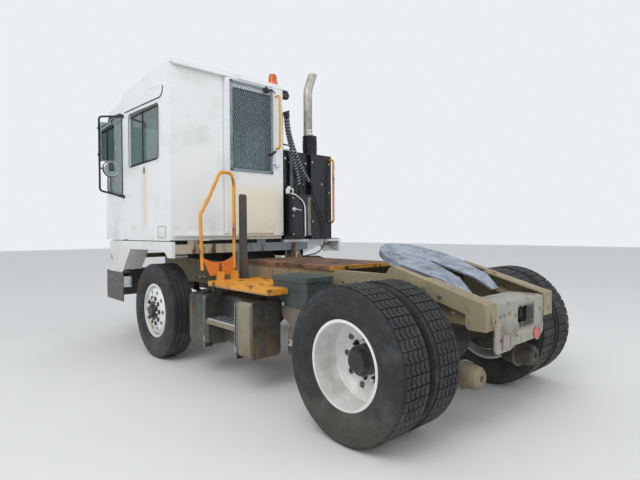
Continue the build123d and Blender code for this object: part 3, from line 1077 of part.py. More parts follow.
with BuildPart() as toolbox_lid:
    with BuildSketch(Plane.XY.offset(BOX_TOP - 12)):
        with Locations((box_x, box_y)):
            RectangleRounded(BOX_FRONT_X - BOX_REAR_X + 2 * LID_OVERHANG, BOX_OUTER_Y - BOX_INNER_Y
                             + 2 * LID_OVERHANG, BOX_CORNER + LID_OVERHANG)
    extrude(amount=LID_HEIGHT + 12)
    with BuildSketch(Plane.XY.offset(BOX_TOP - 12)):
        with Locations((box_x, box_y - 20)):
            Rectangle(BOX_FRONT_X - BOX_REAR_X + 2 * LID_OVERHANG - 12, BOX_OUTER_Y - BOX_INNER_Y
                      + 2 * LID_OVERHANG - 12 + 40)
    extrude(amount=12 + SEAT_GAP, mode=Mode.SUBTRACT)
    with BuildSketch(cross_plane(BOX_REAR_X + 40)):
        with Locations((LID_HINGE_Y, LID_HINGE_Z + 2)):
            Circle(LID_BARREL_RADIUS)
    extrude(amount=BOX_FRONT_X - BOX_REAR_X - 80)
save(toolbox_lid, "toolbox_lid")

# Engine: one plain block with its gearbox, between the rails under the cab and the cowl
ENGINE_REAR_X = FRONT_AXLE_X - 190.0
ENGINE_FRONT_X = FRONT_AXLE_X + 900.0
ENGINE_TOP = 1255.0
ENGINE_BOTTOM = 625.0
ENGINE_HALF = 325.0
GEARBOX_REAR_X = SHAFT_FRONT_X + 8.0
with BuildPart() as engine_block:
    with BuildSketch(cross_plane(ENGINE_REAR_X)):
        with BuildLine():
            Polyline((-ENGINE_HALF + 110, ENGINE_BOTTOM), (ENGINE_HALF - 110, ENGINE_BOTTOM),
                     (ENGINE_HALF - 60, 780), (ENGINE_HALF, 860), (ENGINE_HALF, 1060), (ENGINE_HALF - 90, ENGINE_TOP),
                     (-ENGINE_HALF + 90, ENGINE_TOP), (-ENGINE_HALF, 1060), (-ENGINE_HALF, 860),
                     (-ENGINE_HALF + 60, 780), close=True)
        make_face()
    extrude(amount=ENGINE_FRONT_X - ENGINE_REAR_X)
    with BuildSketch(cross_plane(GEARBOX_REAR_X)):
        with Locations((0, SHAFT_FRONT_Z + 30)):
            Circle(120)
    with BuildSketch(cross_plane(ENGINE_REAR_X + 1)):
        with Locations((0, SHAFT_FRONT_Z + 90)):
            Circle(215)
    loft()
    mount_reach = RAIL_WEB_Y - SEAT_GAP - ENGINE_HALF + 20
    for side in (1, -1):
        with BuildSketch(side_plane(side * (ENGINE_HALF - 20 + mount_reach / 2) + mount_reach / 2)):
            with Locations((ENGINE_REAR_X + 200, 960), (ENGINE_FRONT_X - 160, 960)):
                Rectangle(110, 60)
        extrude(amount=mount_reach)
save(engine_block, "engine_block")

# Radiator with its grille bars, set behind the bumper on the front crossmember
GRILLE_X = FRONT_CROSS_X - FRONT_CROSS_HALF
GRILLE_DEPTH = 110.0
GRILLE_HALF = 330.0
GRILLE_LOW = 800.0
GRILLE_HIGH = 1225.0
GRILLE_BARS = 9
GRILLE_FRAME = 34.0
GRILLE_RECESS = 40.0
with BuildPart() as radiator_grille:
    with BuildSketch(cross_plane(GRILLE_X - GRILLE_DEPTH)):
        with Locations((0, (GRILLE_LOW + GRILLE_HIGH) / 2)):
            RectangleRounded(2 * GRILLE_HALF, GRILLE_HIGH - GRILLE_LOW, 24)
    extrude(amount=GRILLE_DEPTH)
    with BuildSketch(cross_plane(GRILLE_X)):
        with Locations((0, (GRILLE_LOW + GRILLE_HIGH) / 2)):
            Rectangle(2 * (GRILLE_HALF - GRILLE_FRAME), GRILLE_HIGH - GRILLE_LOW - 2 * GRILLE_FRAME)
    extrude(amount=-GRILLE_RECESS, mode=Mode.SUBTRACT)
    bar_pitch = (GRILLE_HIGH - GRILLE_LOW - 2 * GRILLE_FRAME) / (GRILLE_BARS + 1)
    with BuildSketch(cross_plane(GRILLE_X - GRILLE_RECESS)):
        with Locations((0, (GRILLE_LOW + GRILLE_HIGH) / 2)):
            with GridLocations(0, bar_pitch, 1, GRILLE_BARS):
                Rectangle(2 * (GRILLE_HALF - GRILLE_FRAME) + 2, 12)
    extrude(amount=GRILLE_RECESS - 6)
save(radiator_grille, "radiator_grille")

# Cab: a tall narrow box left of the centreline, each wall its own panel
CAB_NOSE_X = FRONT_AXLE_X + 1534.0
CAB_BROW_X = FRONT_AXLE_X + 1414.0
CAB_LEFT_Y = 1225.0
CAB_RIGHT_Y = -200.0
CAB_WALL = 40.0
CAB_REAR_TOP = 3135.0
CAB_BREAK_X = FRONT_AXLE_X + 854.0
CAB_BREAK_TOP = 3070.0
CAB_STEP_X = FRONT_AXLE_X + 924.0
CAB_STEP_TOP = 2985.0
CAB_BROW_TOP = 2930.0
ROOF_THICKNESS = 45.0
CAB_BOTTOM = CAB_FLOOR_Z
nose_lean = (CAB_NOSE_X - CAB_BROW_X) / (CAB_BROW_TOP - CAB_BOTTOM)
cab_middle_y = (CAB_LEFT_Y + CAB_RIGHT_Y) / 2
cab_inside_width = CAB_LEFT_Y - CAB_RIGHT_Y - 2 * CAB_WALL


def nose_x(z):
    """Station of the cab's leaning front face at a height."""
    return CAB_NOSE_X - nose_lean * (z - CAB_BOTTOM)


def cab_side_outline():
    """Side view of the cab under its roof."""
    with BuildLine() as outline:
        Polyline((CAB_REAR_X, CAB_BOTTOM), (CAB_REAR_X, CAB_REAR_TOP), (CAB_BREAK_X, CAB_BREAK_TOP),
                 (CAB_STEP_X, CAB_STEP_TOP), (CAB_BROW_X, CAB_BROW_TOP), (CAB_NOSE_X, CAB_BOTTOM), close=True)
    return outline.edges()


# Windows in the side walls: the sliding window and the tall corner pane
SIDE_WINDOW = ((CAB_REAR_X + 290, 2190), (CAB_REAR_X + 1145, 2180), (CAB_REAR_X + 1140, 2800),
               (CAB_REAR_X + 285, 2770))
CORNER_WINDOW = ((CAB_REAR_X + 1400, 1845), (CAB_REAR_X + 1935, 1955), (CAB_REAR_X + 1870, 2890),
                 (CAB_REAR_X + 1395, 2860))
WINDOW_CORNER = 45.0
PANE_THICKNESS = 6.0
PANE_CLEARANCE = 0.3
WINDSHIELD_LOW = 1930.0
WINDSHIELD_HIGH = 2860.0
WINDSHIELD_INSET = 75.0


def window_outline(corners, inset):
    with BuildLine() as outline:
        Polyline(*corners, close=True)
    make_face(outline.edges())
    if inset:
        offset(amount=-inset, mode=Mode.REPLACE)


def side_wall(name, outer_y):
    with BuildPart() as wall:
        with BuildSketch(side_plane(outer_y)) as panel:
            make_face(cab_side_outline())
        extrude(amount=CAB_WALL)
        for corners in (SIDE_WINDOW, CORNER_WINDOW):
            with BuildSketch(side_plane(outer_y)) as opening:
                window_outline(corners, 0)
                fillet(opening.vertices(), WINDOW_CORNER)
            extrude(amount=CAB_WALL, mode=Mode.SUBTRACT)
    save(wall, name)


side_wall("cab_left", CAB_LEFT_Y)
side_wall("cab_right", CAB_RIGHT_Y + CAB_WALL)

with BuildPart() as cab_floor:
    with BuildSketch(Plane.XY.offset(CAB_BOTTOM)):
        with Locations(((CAB_REAR_X + nose_x(CAB_BOTTOM + CAB_WALL)) / 2, cab_middle_y)):
            Rectangle(nose_x(CAB_BOTTOM + CAB_WALL) - CAB_REAR_X - 2 * CAB_WALL, cab_inside_width)
    extrude(amount=CAB_WALL)
    for y in CAB_HINGE_YS:
        with BuildSketch(side_plane(y + CAB_HINGE_EAR / 2)):
            with Locations((CAB_HINGE_X, CAB_HINGE_Z)):
                Circle(34)
            with Locations((CAB_HINGE_X, (CAB_HINGE_Z + CAB_BOTTOM) / 2)):
                Rectangle(68, CAB_BOTTOM - CAB_HINGE_Z)
        extrude(amount=CAB_HINGE_EAR)
        with BuildSketch(side_plane(y + CAB_HINGE_EAR / 2 + 26)):
            with Locations((CAB_HINGE_X, CAB_HINGE_Z)):
                Circle(CAB_HINGE_RADIUS)
        extrude(amount=CAB_HINGE_EAR + 52)
save(cab_floor, "cab_floor")

with BuildPart() as cab_front:
    with BuildSketch(side_plane(CAB_LEFT_Y - CAB_WALL)):
        with BuildLine():
            Polyline((nose_x(CAB_BOTTOM), CAB_BOTTOM), (nose_x(CAB_BROW_TOP), CAB_BROW_TOP),
                     (nose_x(CAB_BROW_TOP) - CAB_WALL, CAB_BROW_TOP + 2), (nose_x(CAB_BOTTOM) - CAB_WALL, CAB_BOTTOM),
                     close=True)
        make_face()
    extrude(amount=cab_inside_width)
    with BuildSketch(cross_plane(CAB_BROW_X - 200)):
        with Locations((cab_middle_y, (WINDSHIELD_LOW + WINDSHIELD_HIGH) / 2)):
            RectangleRounded(cab_inside_width - 2 * WINDSHIELD_INSET, WINDSHIELD_HIGH - WINDSHIELD_LOW, 60)
    extrude(amount=500, mode=Mode.SUBTRACT)
save(cab_front, "cab_front")

# Rear wall with the doorway, and the sliding door that hangs outside it
DOORWAY_LEFT = 560.0
DOORWAY_RIGHT = -110.0
DOORWAY_LOW = 1430.0
DOORWAY_HIGH = 3040.0
DOOR_LEFT = 600.0
DOOR_RIGHT = -195.0
DOOR_LOW = 1370.0
DOOR_HIGH = 3112.0
DOOR_THICKNESS = 40.0
DOOR_GAP = 5.0
DOOR_WINDOW_LEFT = 545.0
DOOR_WINDOW_RIGHT = -40.0
DOOR_WINDOW_LOW = 2080.0
DOOR_WINDOW_HIGH = 3095.0
DOOR_TRAVEL = 590.0
DOOR_RAIL_DROP = 10.0
DOOR_RAIL_RISE = 6.0
DOOR_SHOE_DROP = DOOR_RAIL_DROP - SEAT_GAP
DOOR_SHOE_RISE = DOOR_RAIL_RISE - SEAT_GAP
with BuildPart() as cab_rear:
    with BuildSketch(cross_plane(CAB_REAR_X)):
        with Locations((cab_middle_y, (CAB_BOTTOM + CAB_REAR_TOP - 2) / 2)):
            Rectangle(cab_inside_width, CAB_REAR_TOP - 2 - CAB_BOTTOM)
        with Locations(((DOORWAY_LEFT + DOORWAY_RIGHT) / 2, (DOORWAY_LOW + DOORWAY_HIGH) / 2)):
            RectangleRounded(DOORWAY_LEFT - DOORWAY_RIGHT, DOORWAY_HIGH - DOORWAY_LOW, 40, mode=Mode.SUBTRACT)
    extrude(amount=CAB_WALL)
    for rail_z in (DOOR_LOW - DOOR_RAIL_DROP - 14, DOOR_HIGH + DOOR_RAIL_RISE):
        with BuildSketch(cross_plane(CAB_REAR_X)):
            with Locations(((DOOR_LEFT + DOOR_TRAVEL + DOOR_RIGHT) / 2, rail_z + 7)):
                Rectangle(DOOR_LEFT + DOOR_TRAVEL - DOOR_RIGHT, 14)
        extrude(amount=-(DOOR_THICKNESS + DOOR_GAP + 4))
save(cab_rear, "cab_rear")

door_x = CAB_REAR_X - DOOR_GAP
with BuildPart() as rear_door:
    with BuildSketch(cross_plane(door_x)):
        with Locations(((DOOR_LEFT + DOOR_RIGHT) / 2, (DOOR_LOW + DOOR_HIGH) / 2)):
            Rectangle(DOOR_LEFT - DOOR_RIGHT, DOOR_HIGH - DOOR_LOW)
        with Locations(((DOOR_WINDOW_LEFT + DOOR_WINDOW_RIGHT) / 2, (DOOR_WINDOW_LOW + DOOR_WINDOW_HIGH - 50) / 2)):
            RectangleRounded(DOOR_WINDOW_LEFT - DOOR_WINDOW_RIGHT - 60, DOOR_WINDOW_HIGH - DOOR_WINDOW_LOW - 110, 30,
                             mode=Mode.SUBTRACT)
        for shoe_y in (DOOR_LEFT - 90, DOOR_RIGHT + 90):
            with Locations((shoe_y, DOOR_LOW)):
                Rectangle(120, 2 * DOOR_SHOE_DROP)
            with Locations((shoe_y, DOOR_HIGH)):
                Rectangle(120, 2 * DOOR_SHOE_RISE)
    extrude(amount=-DOOR_THICKNESS)
    with BuildLine() as handle_path:
        handle_y = -95.0
        FilletPolyline((door_x - DOOR_THICKNESS + 2, handle_y, 3020.0), (door_x - DOOR_THICKNESS - 75, handle_y, 3020.0),
                       (door_x - DOOR_THICKNESS - 75, handle_y, 2390.0), (door_x - DOOR_THICKNESS + 2, handle_y, 2390.0),
                       radius=35)
    with BuildSketch(Plane(origin=handle_path.line @ 0, z_dir=handle_path.line % 0)):
        Circle(13)
    sweep()
    with BuildSketch(cross_plane(door_x - DOOR_THICKNESS)):
        with Locations((-100, 2235)):
            RectangleRounded(52, 92, 8)
    extrude(amount=-18)
save(rear_door, "rear_door")

with BuildPart() as door_glass:
    with BuildSketch(cross_plane(door_x - DOOR_THICKNESS / 2)):
        with Locations(((DOOR_WINDOW_LEFT + DOOR_WINDOW_RIGHT) / 2, (DOOR_WINDOW_LOW + DOOR_WINDOW_HIGH - 50) / 2)):
            RectangleRounded(DOOR_WINDOW_LEFT - DOOR_WINDOW_RIGHT - 60 - 2 * PANE_CLEARANCE,
                             DOOR_WINDOW_HIGH - DOOR_WINDOW_LOW - 110 - 2 * PANE_CLEARANCE, 30)
    extrude(amount=PANE_THICKNESS)
save(door_glass, "door_glass")

# Guard over the door glass: a frame with crossed diagonal strips
GUARD_FRAME = 30.0
GUARD_DEPTH = 12.0
GUARD_STRIP = 7.0
GUARD_PITCH = 92.0
guard_width = DOOR_WINDOW_LEFT - DOOR_WINDOW_RIGHT
guard_height = DOOR_WINDOW_HIGH - DOOR_WINDOW_LOW
with BuildPart() as door_guard:
    with BuildSketch(cross_plane(door_x - DOOR_THICKNESS - SEAT_GAP)):
        with Locations(((DOOR_WINDOW_LEFT + DOOR_WINDOW_RIGHT) / 2, (DOOR_WINDOW_LOW + DOOR_WINDOW_HIGH) / 2)):
            Rectangle(guard_width, guard_height)
            Rectangle(guard_width - 2 * GUARD_FRAME, guard_height - 2 * GUARD_FRAME, mode=Mode.SUBTRACT)
    extrude(amount=-GUARD_DEPTH)
    for angle in (58, -58):
        with BuildSketch(cross_plane(door_x - DOOR_THICKNESS - SEAT_GAP - 4)) as strips:
            with Locations(((DOOR_WINDOW_LEFT + DOOR_WINDOW_RIGHT) / 2, (DOOR_WINDOW_LOW + DOOR_WINDOW_HIGH) / 2)):
                with GridLocations(GUARD_PITCH * 1.18, 0, 15, 1):
                    Rectangle(GUARD_STRIP, 1500, rotation=angle - 90 if angle > 0 else angle + 90)
                Rectangle(guard_width - 2 * GUARD_FRAME + 4, guard_height - 2 * GUARD_FRAME + 4,
                          mode=Mode.INTERSECT)
        extrude(amount=-4)
save(door_guard, "door_guard")

# Roof: a thick cap whose front part steps down to the brow
with BuildPart() as cab_roof:
    with BuildSketch(side_plane(CAB_LEFT_Y)):
        with BuildLine():
            Polyline((CAB_REAR_X, CAB_REAR_TOP), (CAB_BREAK_X, CAB_BREAK_TOP), (CAB_STEP_X, CAB_STEP_TOP),
                     (CAB_BROW_X, CAB_BROW_TOP), (CAB_BROW_X + 12, CAB_BROW_TOP + 30),
                     (CAB_BROW_X - 30, CAB_BROW_TOP + ROOF_THICKNESS), (CAB_STEP_X + 20, CAB_STEP_TOP + ROOF_THICKNESS),
                     (CAB_BREAK_X, CAB_BREAK_TOP + ROOF_THICKNESS), (CAB_REAR_X - 18, CAB_REAR_TOP + ROOF_THICKNESS),
                     (CAB_REAR_X - 18, CAB_REAR_TOP), close=True)
        make_face()
    extrude(amount=CAB_LEFT_Y - CAB_RIGHT_Y)
save(cab_roof, "cab_roof")

# Glass of the cab: two panes in each side wall and the windshield
with BuildPart() as cab_glass:
    for inner_y in (CAB_LEFT_Y - CAB_WALL / 2 + PANE_THICKNESS / 2, CAB_RIGHT_Y + CAB_WALL / 2 + PANE_THICKNESS / 2):
        for corners in (SIDE_WINDOW, CORNER_WINDOW):
            with BuildSketch(side_plane(inner_y)) as pane:
                window_outline(corners, 0)
                fillet(pane.vertices(), WINDOW_CORNER)
                offset(amount=-PANE_CLEARANCE, mode=Mode.REPLACE)
            extrude(amount=PANE_THICKNESS)
    with BuildSketch(side_plane(CAB_LEFT_Y - CAB_WALL)):
        with BuildLine():
            low, high = WINDSHIELD_LOW - 30, WINDSHIELD_HIGH + 30
            back = CAB_WALL / 2
            Polyline((nose_x(low) - back, low), (nose_x(high) - back, high), (nose_x(high) - back - PANE_THICKNESS,
                     high), (nose_x(low) - back - PANE_THICKNESS, low), close=True)
        make_face()
    extrude(amount=cab_inside_width)
    with BuildSketch(cross_plane(CAB_BROW_X - 200)):
        with Locations((cab_middle_y, (WINDSHIELD_LOW + WINDSHIELD_HIGH) / 2)):
            Rectangle(cab_inside_width + 20, WINDSHIELD_HIGH - WINDSHIELD_LOW + 200)
            RectangleRounded(cab_inside_width - 2 * WINDSHIELD_INSET - 2 * PANE_CLEARANCE,
                             WINDSHIELD_HIGH - WINDSHIELD_LOW - 2 * PANE_CLEARANCE, 60, mode=Mode.SUBTRACT)
    extrude(amount=500, mode=Mode.SUBTRACT)
save(cab_glass, "cab_glass")

# Beacon on the roof, and the work lamp on its bracket at the cab's right rear corner
BEACON_RADIUS = 62.0
BEACON_Y = CAB_RIGHT_Y + 66.0
BEACON_X = CAB_REAR_X + 70.0
roof_fall = (CAB_REAR_TOP - CAB_BREAK_TOP) / (CAB_BREAK_X - CAB_REAR_X)
beacon_base = CAB_REAR_TOP + ROOF_THICKNESS - roof_fall * (BEACON_X - CAB_REAR_X + BEACON_RADIUS)
WORK_LAMP_RADIUS = 56.0
WORK_LAMP_Z = 3075.0
WORK_LAMP_Y = CAB_RIGHT_Y - WORK_LAMP_RADIUS - 8.0
with BuildPart() as roof_lamps:
    with BuildSketch(Plane.XY.offset(beacon_base + 6)):
        with Locations((BEACON_X, BEACON_Y)):
            Circle(BEACON_RADIUS)
    extrude(amount=42)
    with BuildSketch(Plane.XY.offset(beacon_base + 48)):
        with Locations((BEACON_X, BEACON_Y)):
            Circle(BEACON_RADIUS - 5)
    extrude(amount=105, taper=5)
    with BuildSketch(cross_plane(CAB_REAR_X + 55)):
        with Locations((WORK_LAMP_Y, WORK_LAMP_Z)):
            Circle(WORK_LAMP_RADIUS - 22)
    with BuildSketch(cross_plane(CAB_REAR_X - 5)):
        with Locations((WORK_LAMP_Y, WORK_LAMP_Z)):
            Circle(WORK_LAMP_RADIUS)
    loft()
    with BuildSketch(cross_plane(CAB_REAR_X - 20)):
        with Locations((WORK_LAMP_Y, WORK_LAMP_Z)):
            Circle(WORK_LAMP_RADIUS)
    extrude(amount=16)
    with BuildSketch(cross_plane(CAB_REAR_X + 50)):
        with BuildLine():
            Polyline((CAB_RIGHT_Y - SEAT_GAP, WORK_LAMP_Z + 75), (CAB_RIGHT_Y - 140, WORK_LAMP_Z + 75),
                     (CAB_RIGHT_Y - 140, WORK_LAMP_Z + 45), (CAB_RIGHT_Y - SEAT_GAP, WORK_LAMP_Z - 70), close=True)
        make_face()
    extrude(amount=8)
save(roof_lamps, "roof_lamps")

# Mirrors: a tube hoop on each side of the cab, a tall flat mirror and a round wide-angle one
MIRROR_REACH = CAB_LEFT_Y + MIRROR_ARM
MIRROR_X = CAB_REAR_X + 1410.0
MIRROR_ROOT_X = CAB_REAR_X + 1340.0
MIRROR_TUBE = 12.0
MIRROR_TOP = 2830.0
MIRROR_WIDTH = 170.0
MIRROR_HEIGHT = 470.0
MIRROR_DEPTH = 44.0
MIRROR_CENTRE_Z = 2500.0
ROUND_MIRROR_RADIUS = 92.0
ROUND_MIRROR_Z = 2175.0
MIRRORS = (("left", 1, CAB_LEFT_Y, 1835.0), ("right", -1, CAB_RIGHT_Y, 2060.0))
for side_name, side, wall_y, low_z in MIRRORS:
    tube_y = side * (MIRROR_REACH - MIRROR_TUBE)
    head_y = side * (MIRROR_REACH - 105)
    with BuildPart() as mirror_part:
        with BuildLine() as mirror_path:
            FilletPolyline((MIRROR_ROOT_X, wall_y + side * 7, MIRROR_TOP), (MIRROR_X, tube_y, MIRROR_TOP - 30),
                           (MIRROR_X, tube_y, low_z + 70), (MIRROR_ROOT_X, wall_y + side * 7, low_z), radius=40)
        with BuildSketch(Plane(origin=mirror_path.line @ 0, z_dir=mirror_path.line % 0)):
            Circle(MIRROR_TUBE)
        sweep()
        with BuildSketch(cross_plane(MIRROR_X - MIRROR_DEPTH / 2)):
            with Locations((head_y, MIRROR_CENTRE_Z)):
                RectangleRounded(MIRROR_WIDTH, MIRROR_HEIGHT, 18)
        extrude(amount=MIRROR_DEPTH)
        with BuildSketch(cross_plane(MIRROR_X - MIRROR_DEPTH / 2)):
            with Locations((head_y - side * 40, ROUND_MIRROR_Z)):
                Circle(ROUND_MIRROR_RADIUS)
        extrude(amount=MIRROR_DEPTH / 2, taper=-25)
        for bar_z in (MIRROR_CENTRE_Z + 160, MIRROR_CENTRE_Z - 160, ROUND_MIRROR_Z):
            with BuildSketch(side_plane(max(tube_y, head_y) )):
                with Locations((MIRROR_X, bar_z)):
                    Circle(8)
            extrude(amount=abs(tube_y - head_y))
        with BuildSketch(cross_plane(MIRROR_X - MIRROR_DEPTH / 2 + 4)):
            with Locations((head_y - side * 40, ROUND_MIRROR_Z)):
                Rectangle(40, 20)
        extrude(amount=MIRROR_DEPTH / 2 + 4)
        for foot_z in (MIRROR_TOP, low_z):
            foot_plane = Plane(origin=(MIRROR_ROOT_X, wall_y + side * SEAT_GAP, foot_z), x_dir=(1, 0, 0),
                               z_dir=(0, side, 0))
            with BuildSketch(foot_plane):
                Circle(24)
            extrude(amount=12)
    save(mirror_part, f"mirror_{side_name}")

# Driver's seat and the dash with its steering wheel
SEAT_X = CAB_REAR_X + 560.0
SEAT_Y = 640.0
floor_top = CAB_BOTTOM + CAB_WALL
with BuildPart() as seat:
    with BuildSketch(Plane.XY.offset(floor_top)):
        with Locations((SEAT_X, SEAT_Y)):
            Rectangle(380, 360)
    extrude(amount=380, taper=4)
    with BuildSketch(Plane.XY.offset(floor_top + 380)):
        with Locations((SEAT_X + 10, SEAT_Y)):
            RectangleRounded(500, 500, 60)
    extrude(amount=120)
    with BuildSketch(side_plane(SEAT_Y + 240)):
        with BuildLine():
            Polyline((SEAT_X - 240, floor_top + 400), (SEAT_X - 120, floor_top + 400),
                     (SEAT_X - 190, floor_top + 1120), (SEAT_X - 280, floor_top + 1120), close=True)
        make_face()
    extrude(amount=480)
save(seat, "seat")
DASH_X = FRONT_AXLE_X + 1130.0
WHEEL_CENTRE = (CAB_REAR_X + 1290.0, SEAT_Y, 2060.0)
with BuildPart() as dash:
    with BuildSketch(side_plane(CAB_LEFT_Y - CAB_WALL)):
        with BuildLine():
            Polyline((DASH_X + 60, floor_top), (nose_x(floor_top) - CAB_WALL - 2, floor_top),
                     (nose_x(1890) - CAB_WALL - 2, 1890), (DASH_X + 60, 1890), (DASH_X, 1790), (DASH_X + 60, 1600),
                     close=True)
        make_face()
    extrude(amount=cab_inside_width)
    column_foot = Vector(DASH_X + 90, SEAT_Y, 1640.0)
    column_run = Vector(*WHEEL_CENTRE) - column_foot
    with BuildSketch(Plane(origin=column_foot, x_dir=(0, 1, 0), z_dir=tuple(column_run))):
        Circle(34)
    extrude(amount=column_run.length)
    with BuildSketch(Plane(origin=WHEEL_CENTRE, x_dir=(0, 1, 0), z_dir=tuple(column_run))):
        Circle(225)
        Circle(195, mode=Mode.SUBTRACT)
        Rectangle(400, 36)
        Rectangle(36, 400)
        Circle(60)
    extrude(amount=-24)
save(dash, "dash")

# Right side: the shelf with its skirt, the engine cowl and the stack enclosure that stand on it
SKIRT_WALL = 40.0
SKIRT_TOP = CAB_BOTTOM - 15.0
SHELF_THICKNESS = 30.0
COWL_LEFT_Y = CAB_RIGHT_Y - 42.0
COWL_RIGHT_Y = -1000.0
SKIRT_OUTLINE = (
    (CAB_REAR_X, SKIRT_TOP), (FRONT_AXLE_X + 1380, SKIRT_TOP), (FRONT_AXLE_X + 1415, SKIRT_TOP - 85),
    (FRONT_AXLE_X + 1244, 1005), (FRONT_AXLE_X + 1424, 930), (FRONT_AXLE_X + 1424, BUMPER_HIGH),
    (FRONT_AXLE_X + 964, BUMPER_HIGH), (FRONT_AXLE_X + 914, 925), (FRONT_AXLE_X + 664, 1190),
    (FRONT_AXLE_X - 306, 1200), (FRONT_AXLE_X - 396, 1120), (CAB_REAR_X, 1120),
)
ARCH_LIP = 190.0
ARCH_LIP_THICKNESS = 10.0


def arch_lip_outline():
    """Thin strip that follows the wheel arch."""
    with BuildLine() as outline:
        lift = ARCH_LIP_THICKNESS
        Polyline((FRONT_AXLE_X + 914, 925), (FRONT_AXLE_X + 664, 1190), (FRONT_AXLE_X - 306, 1200),
                 (FRONT_AXLE_X - 396, 1120), (FRONT_AXLE_X - 400, 1120 + lift), (FRONT_AXLE_X - 310, 1200 + lift),
                 (FRONT_AXLE_X + 670, 1190 + lift), (FRONT_AXLE_X + 914 + lift, 925 + lift), close=True)
    return outline.edges()


for side_name, side in (("left", 1), ("right", -1)):
    with BuildPart() as skirt:
        panel_y = CAB_LEFT_Y if side > 0 else -CAB_LEFT_Y + SKIRT_WALL
        with BuildSketch(side_plane(panel_y)):
            with BuildLine():
                Polyline(*SKIRT_OUTLINE, close=True)
            make_face()
        extrude(amount=SKIRT_WALL)
        lip_y = CAB_LEFT_Y - 1 if side > 0 else -CAB_LEFT_Y + SKIRT_WALL + ARCH_LIP
        with BuildSketch(side_plane(lip_y)):
            make_face(arch_lip_outline())
        extrude(amount=ARCH_LIP + SKIRT_WALL - 1)
        if side < 0:
            with BuildSketch(Plane.XY.offset(SKIRT_TOP - SHELF_THICKNESS)):
                with Locations(((CAB_REAR_X + FRONT_AXLE_X + 1380) / 2, (COWL_LEFT_Y - CAB_LEFT_Y) / 2)):
                    Rectangle(FRONT_AXLE_X + 1380 - CAB_REAR_X, CAB_LEFT_Y + COWL_LEFT_Y)
                with Locations((FRONT_AXLE_X + 330, COWL_LEFT_Y - 50)):
                    Rectangle(1200, 110, mode=Mode.SUBTRACT)
            extrude(amount=SHELF_THICKNESS)
            for x in (FRONT_AXLE_X - 376, FRONT_AXLE_X + 1080):
                with BuildSketch(cross_plane(x)):
                    with BuildLine():
                        Polyline((-RAIL_INNER_Y, RAIL_TOP), (-RAIL_OUTER_Y, RAIL_TOP),
                                 (-1150, SKIRT_TOP - SHELF_THICKNESS + 1), (-RAIL_INNER_Y,
                                 SKIRT_TOP - SHELF_THICKNESS + 1), close=True)
                    make_face()
                extrude(amount=12)
    save(skirt, f"skirt_{side_name}")

COWL_REAR_X = CAB_REAR_X + 190.0
COWL_TOP = 1950.0
COWL_CORNER = 40.0
with BuildPart() as engine_cowl:
    with BuildSketch(side_plane(COWL_LEFT_Y)):
        with BuildLine():
            Polyline((COWL_REAR_X, SKIRT_TOP), (COWL_REAR_X, COWL_TOP), (FRONT_AXLE_X + 960, COWL_TOP),
                     (FRONT_AXLE_X + 1310, COWL_TOP - 140), (FRONT_AXLE_X + 1370, SKIRT_TOP), close=True)
        make_face()
    extrude(amount=COWL_LEFT_Y - COWL_RIGHT_Y)
    fillet(engine_cowl.edges().filter_by(GeomType.LINE).filter_by(Axis.Y).group_by(Axis.Z)[-1], COWL_CORNER)
save(engine_cowl, "engine_cowl")

# Stack enclosure behind the cowl, with the valve box on its rear face
STACK_REAR_X = CAB_REAR_X - 50.0
STACK_TOP = 2390.0
STACK_LEFT_Y = CAB_RIGHT_Y - 16.0
VALVE_BOX = (-545.0, 1330.0, 1850.0)
with BuildPart() as stack_enclosure:
    with BuildSketch(Plane.XY.offset(SKIRT_TOP)):
        with Locations(((CAB_REAR_X + COWL_REAR_X) / 2, (COWL_LEFT_Y + COWL_RIGHT_Y) / 2)):
            Rectangle(COWL_REAR_X - CAB_REAR_X, COWL_LEFT_Y - COWL_RIGHT_Y)
    extrude(amount=STACK_TOP - SKIRT_TOP)
    with BuildSketch(Plane.XY.offset(SKIRT_TOP)):
        with Locations(((STACK_REAR_X + CAB_REAR_X) / 2 + 1, (-640 + COWL_RIGHT_Y) / 2)):
            Rectangle(CAB_REAR_X - STACK_REAR_X + 2, -640 - COWL_RIGHT_Y)
    extrude(amount=STACK_TOP - SKIRT_TOP)
    with BuildSketch(Plane.XY.offset(VALVE_BOX[1])):
        with Locations((CAB_REAR_X - 89, (VALVE_BOX[0] + COWL_LEFT_Y) / 2)):
            RectangleRounded(180, COWL_LEFT_Y - VALVE_BOX[0], 14)
    extrude(amount=VALVE_BOX[2] - VALVE_BOX[1])
save(stack_enclosure, "stack_enclosure")

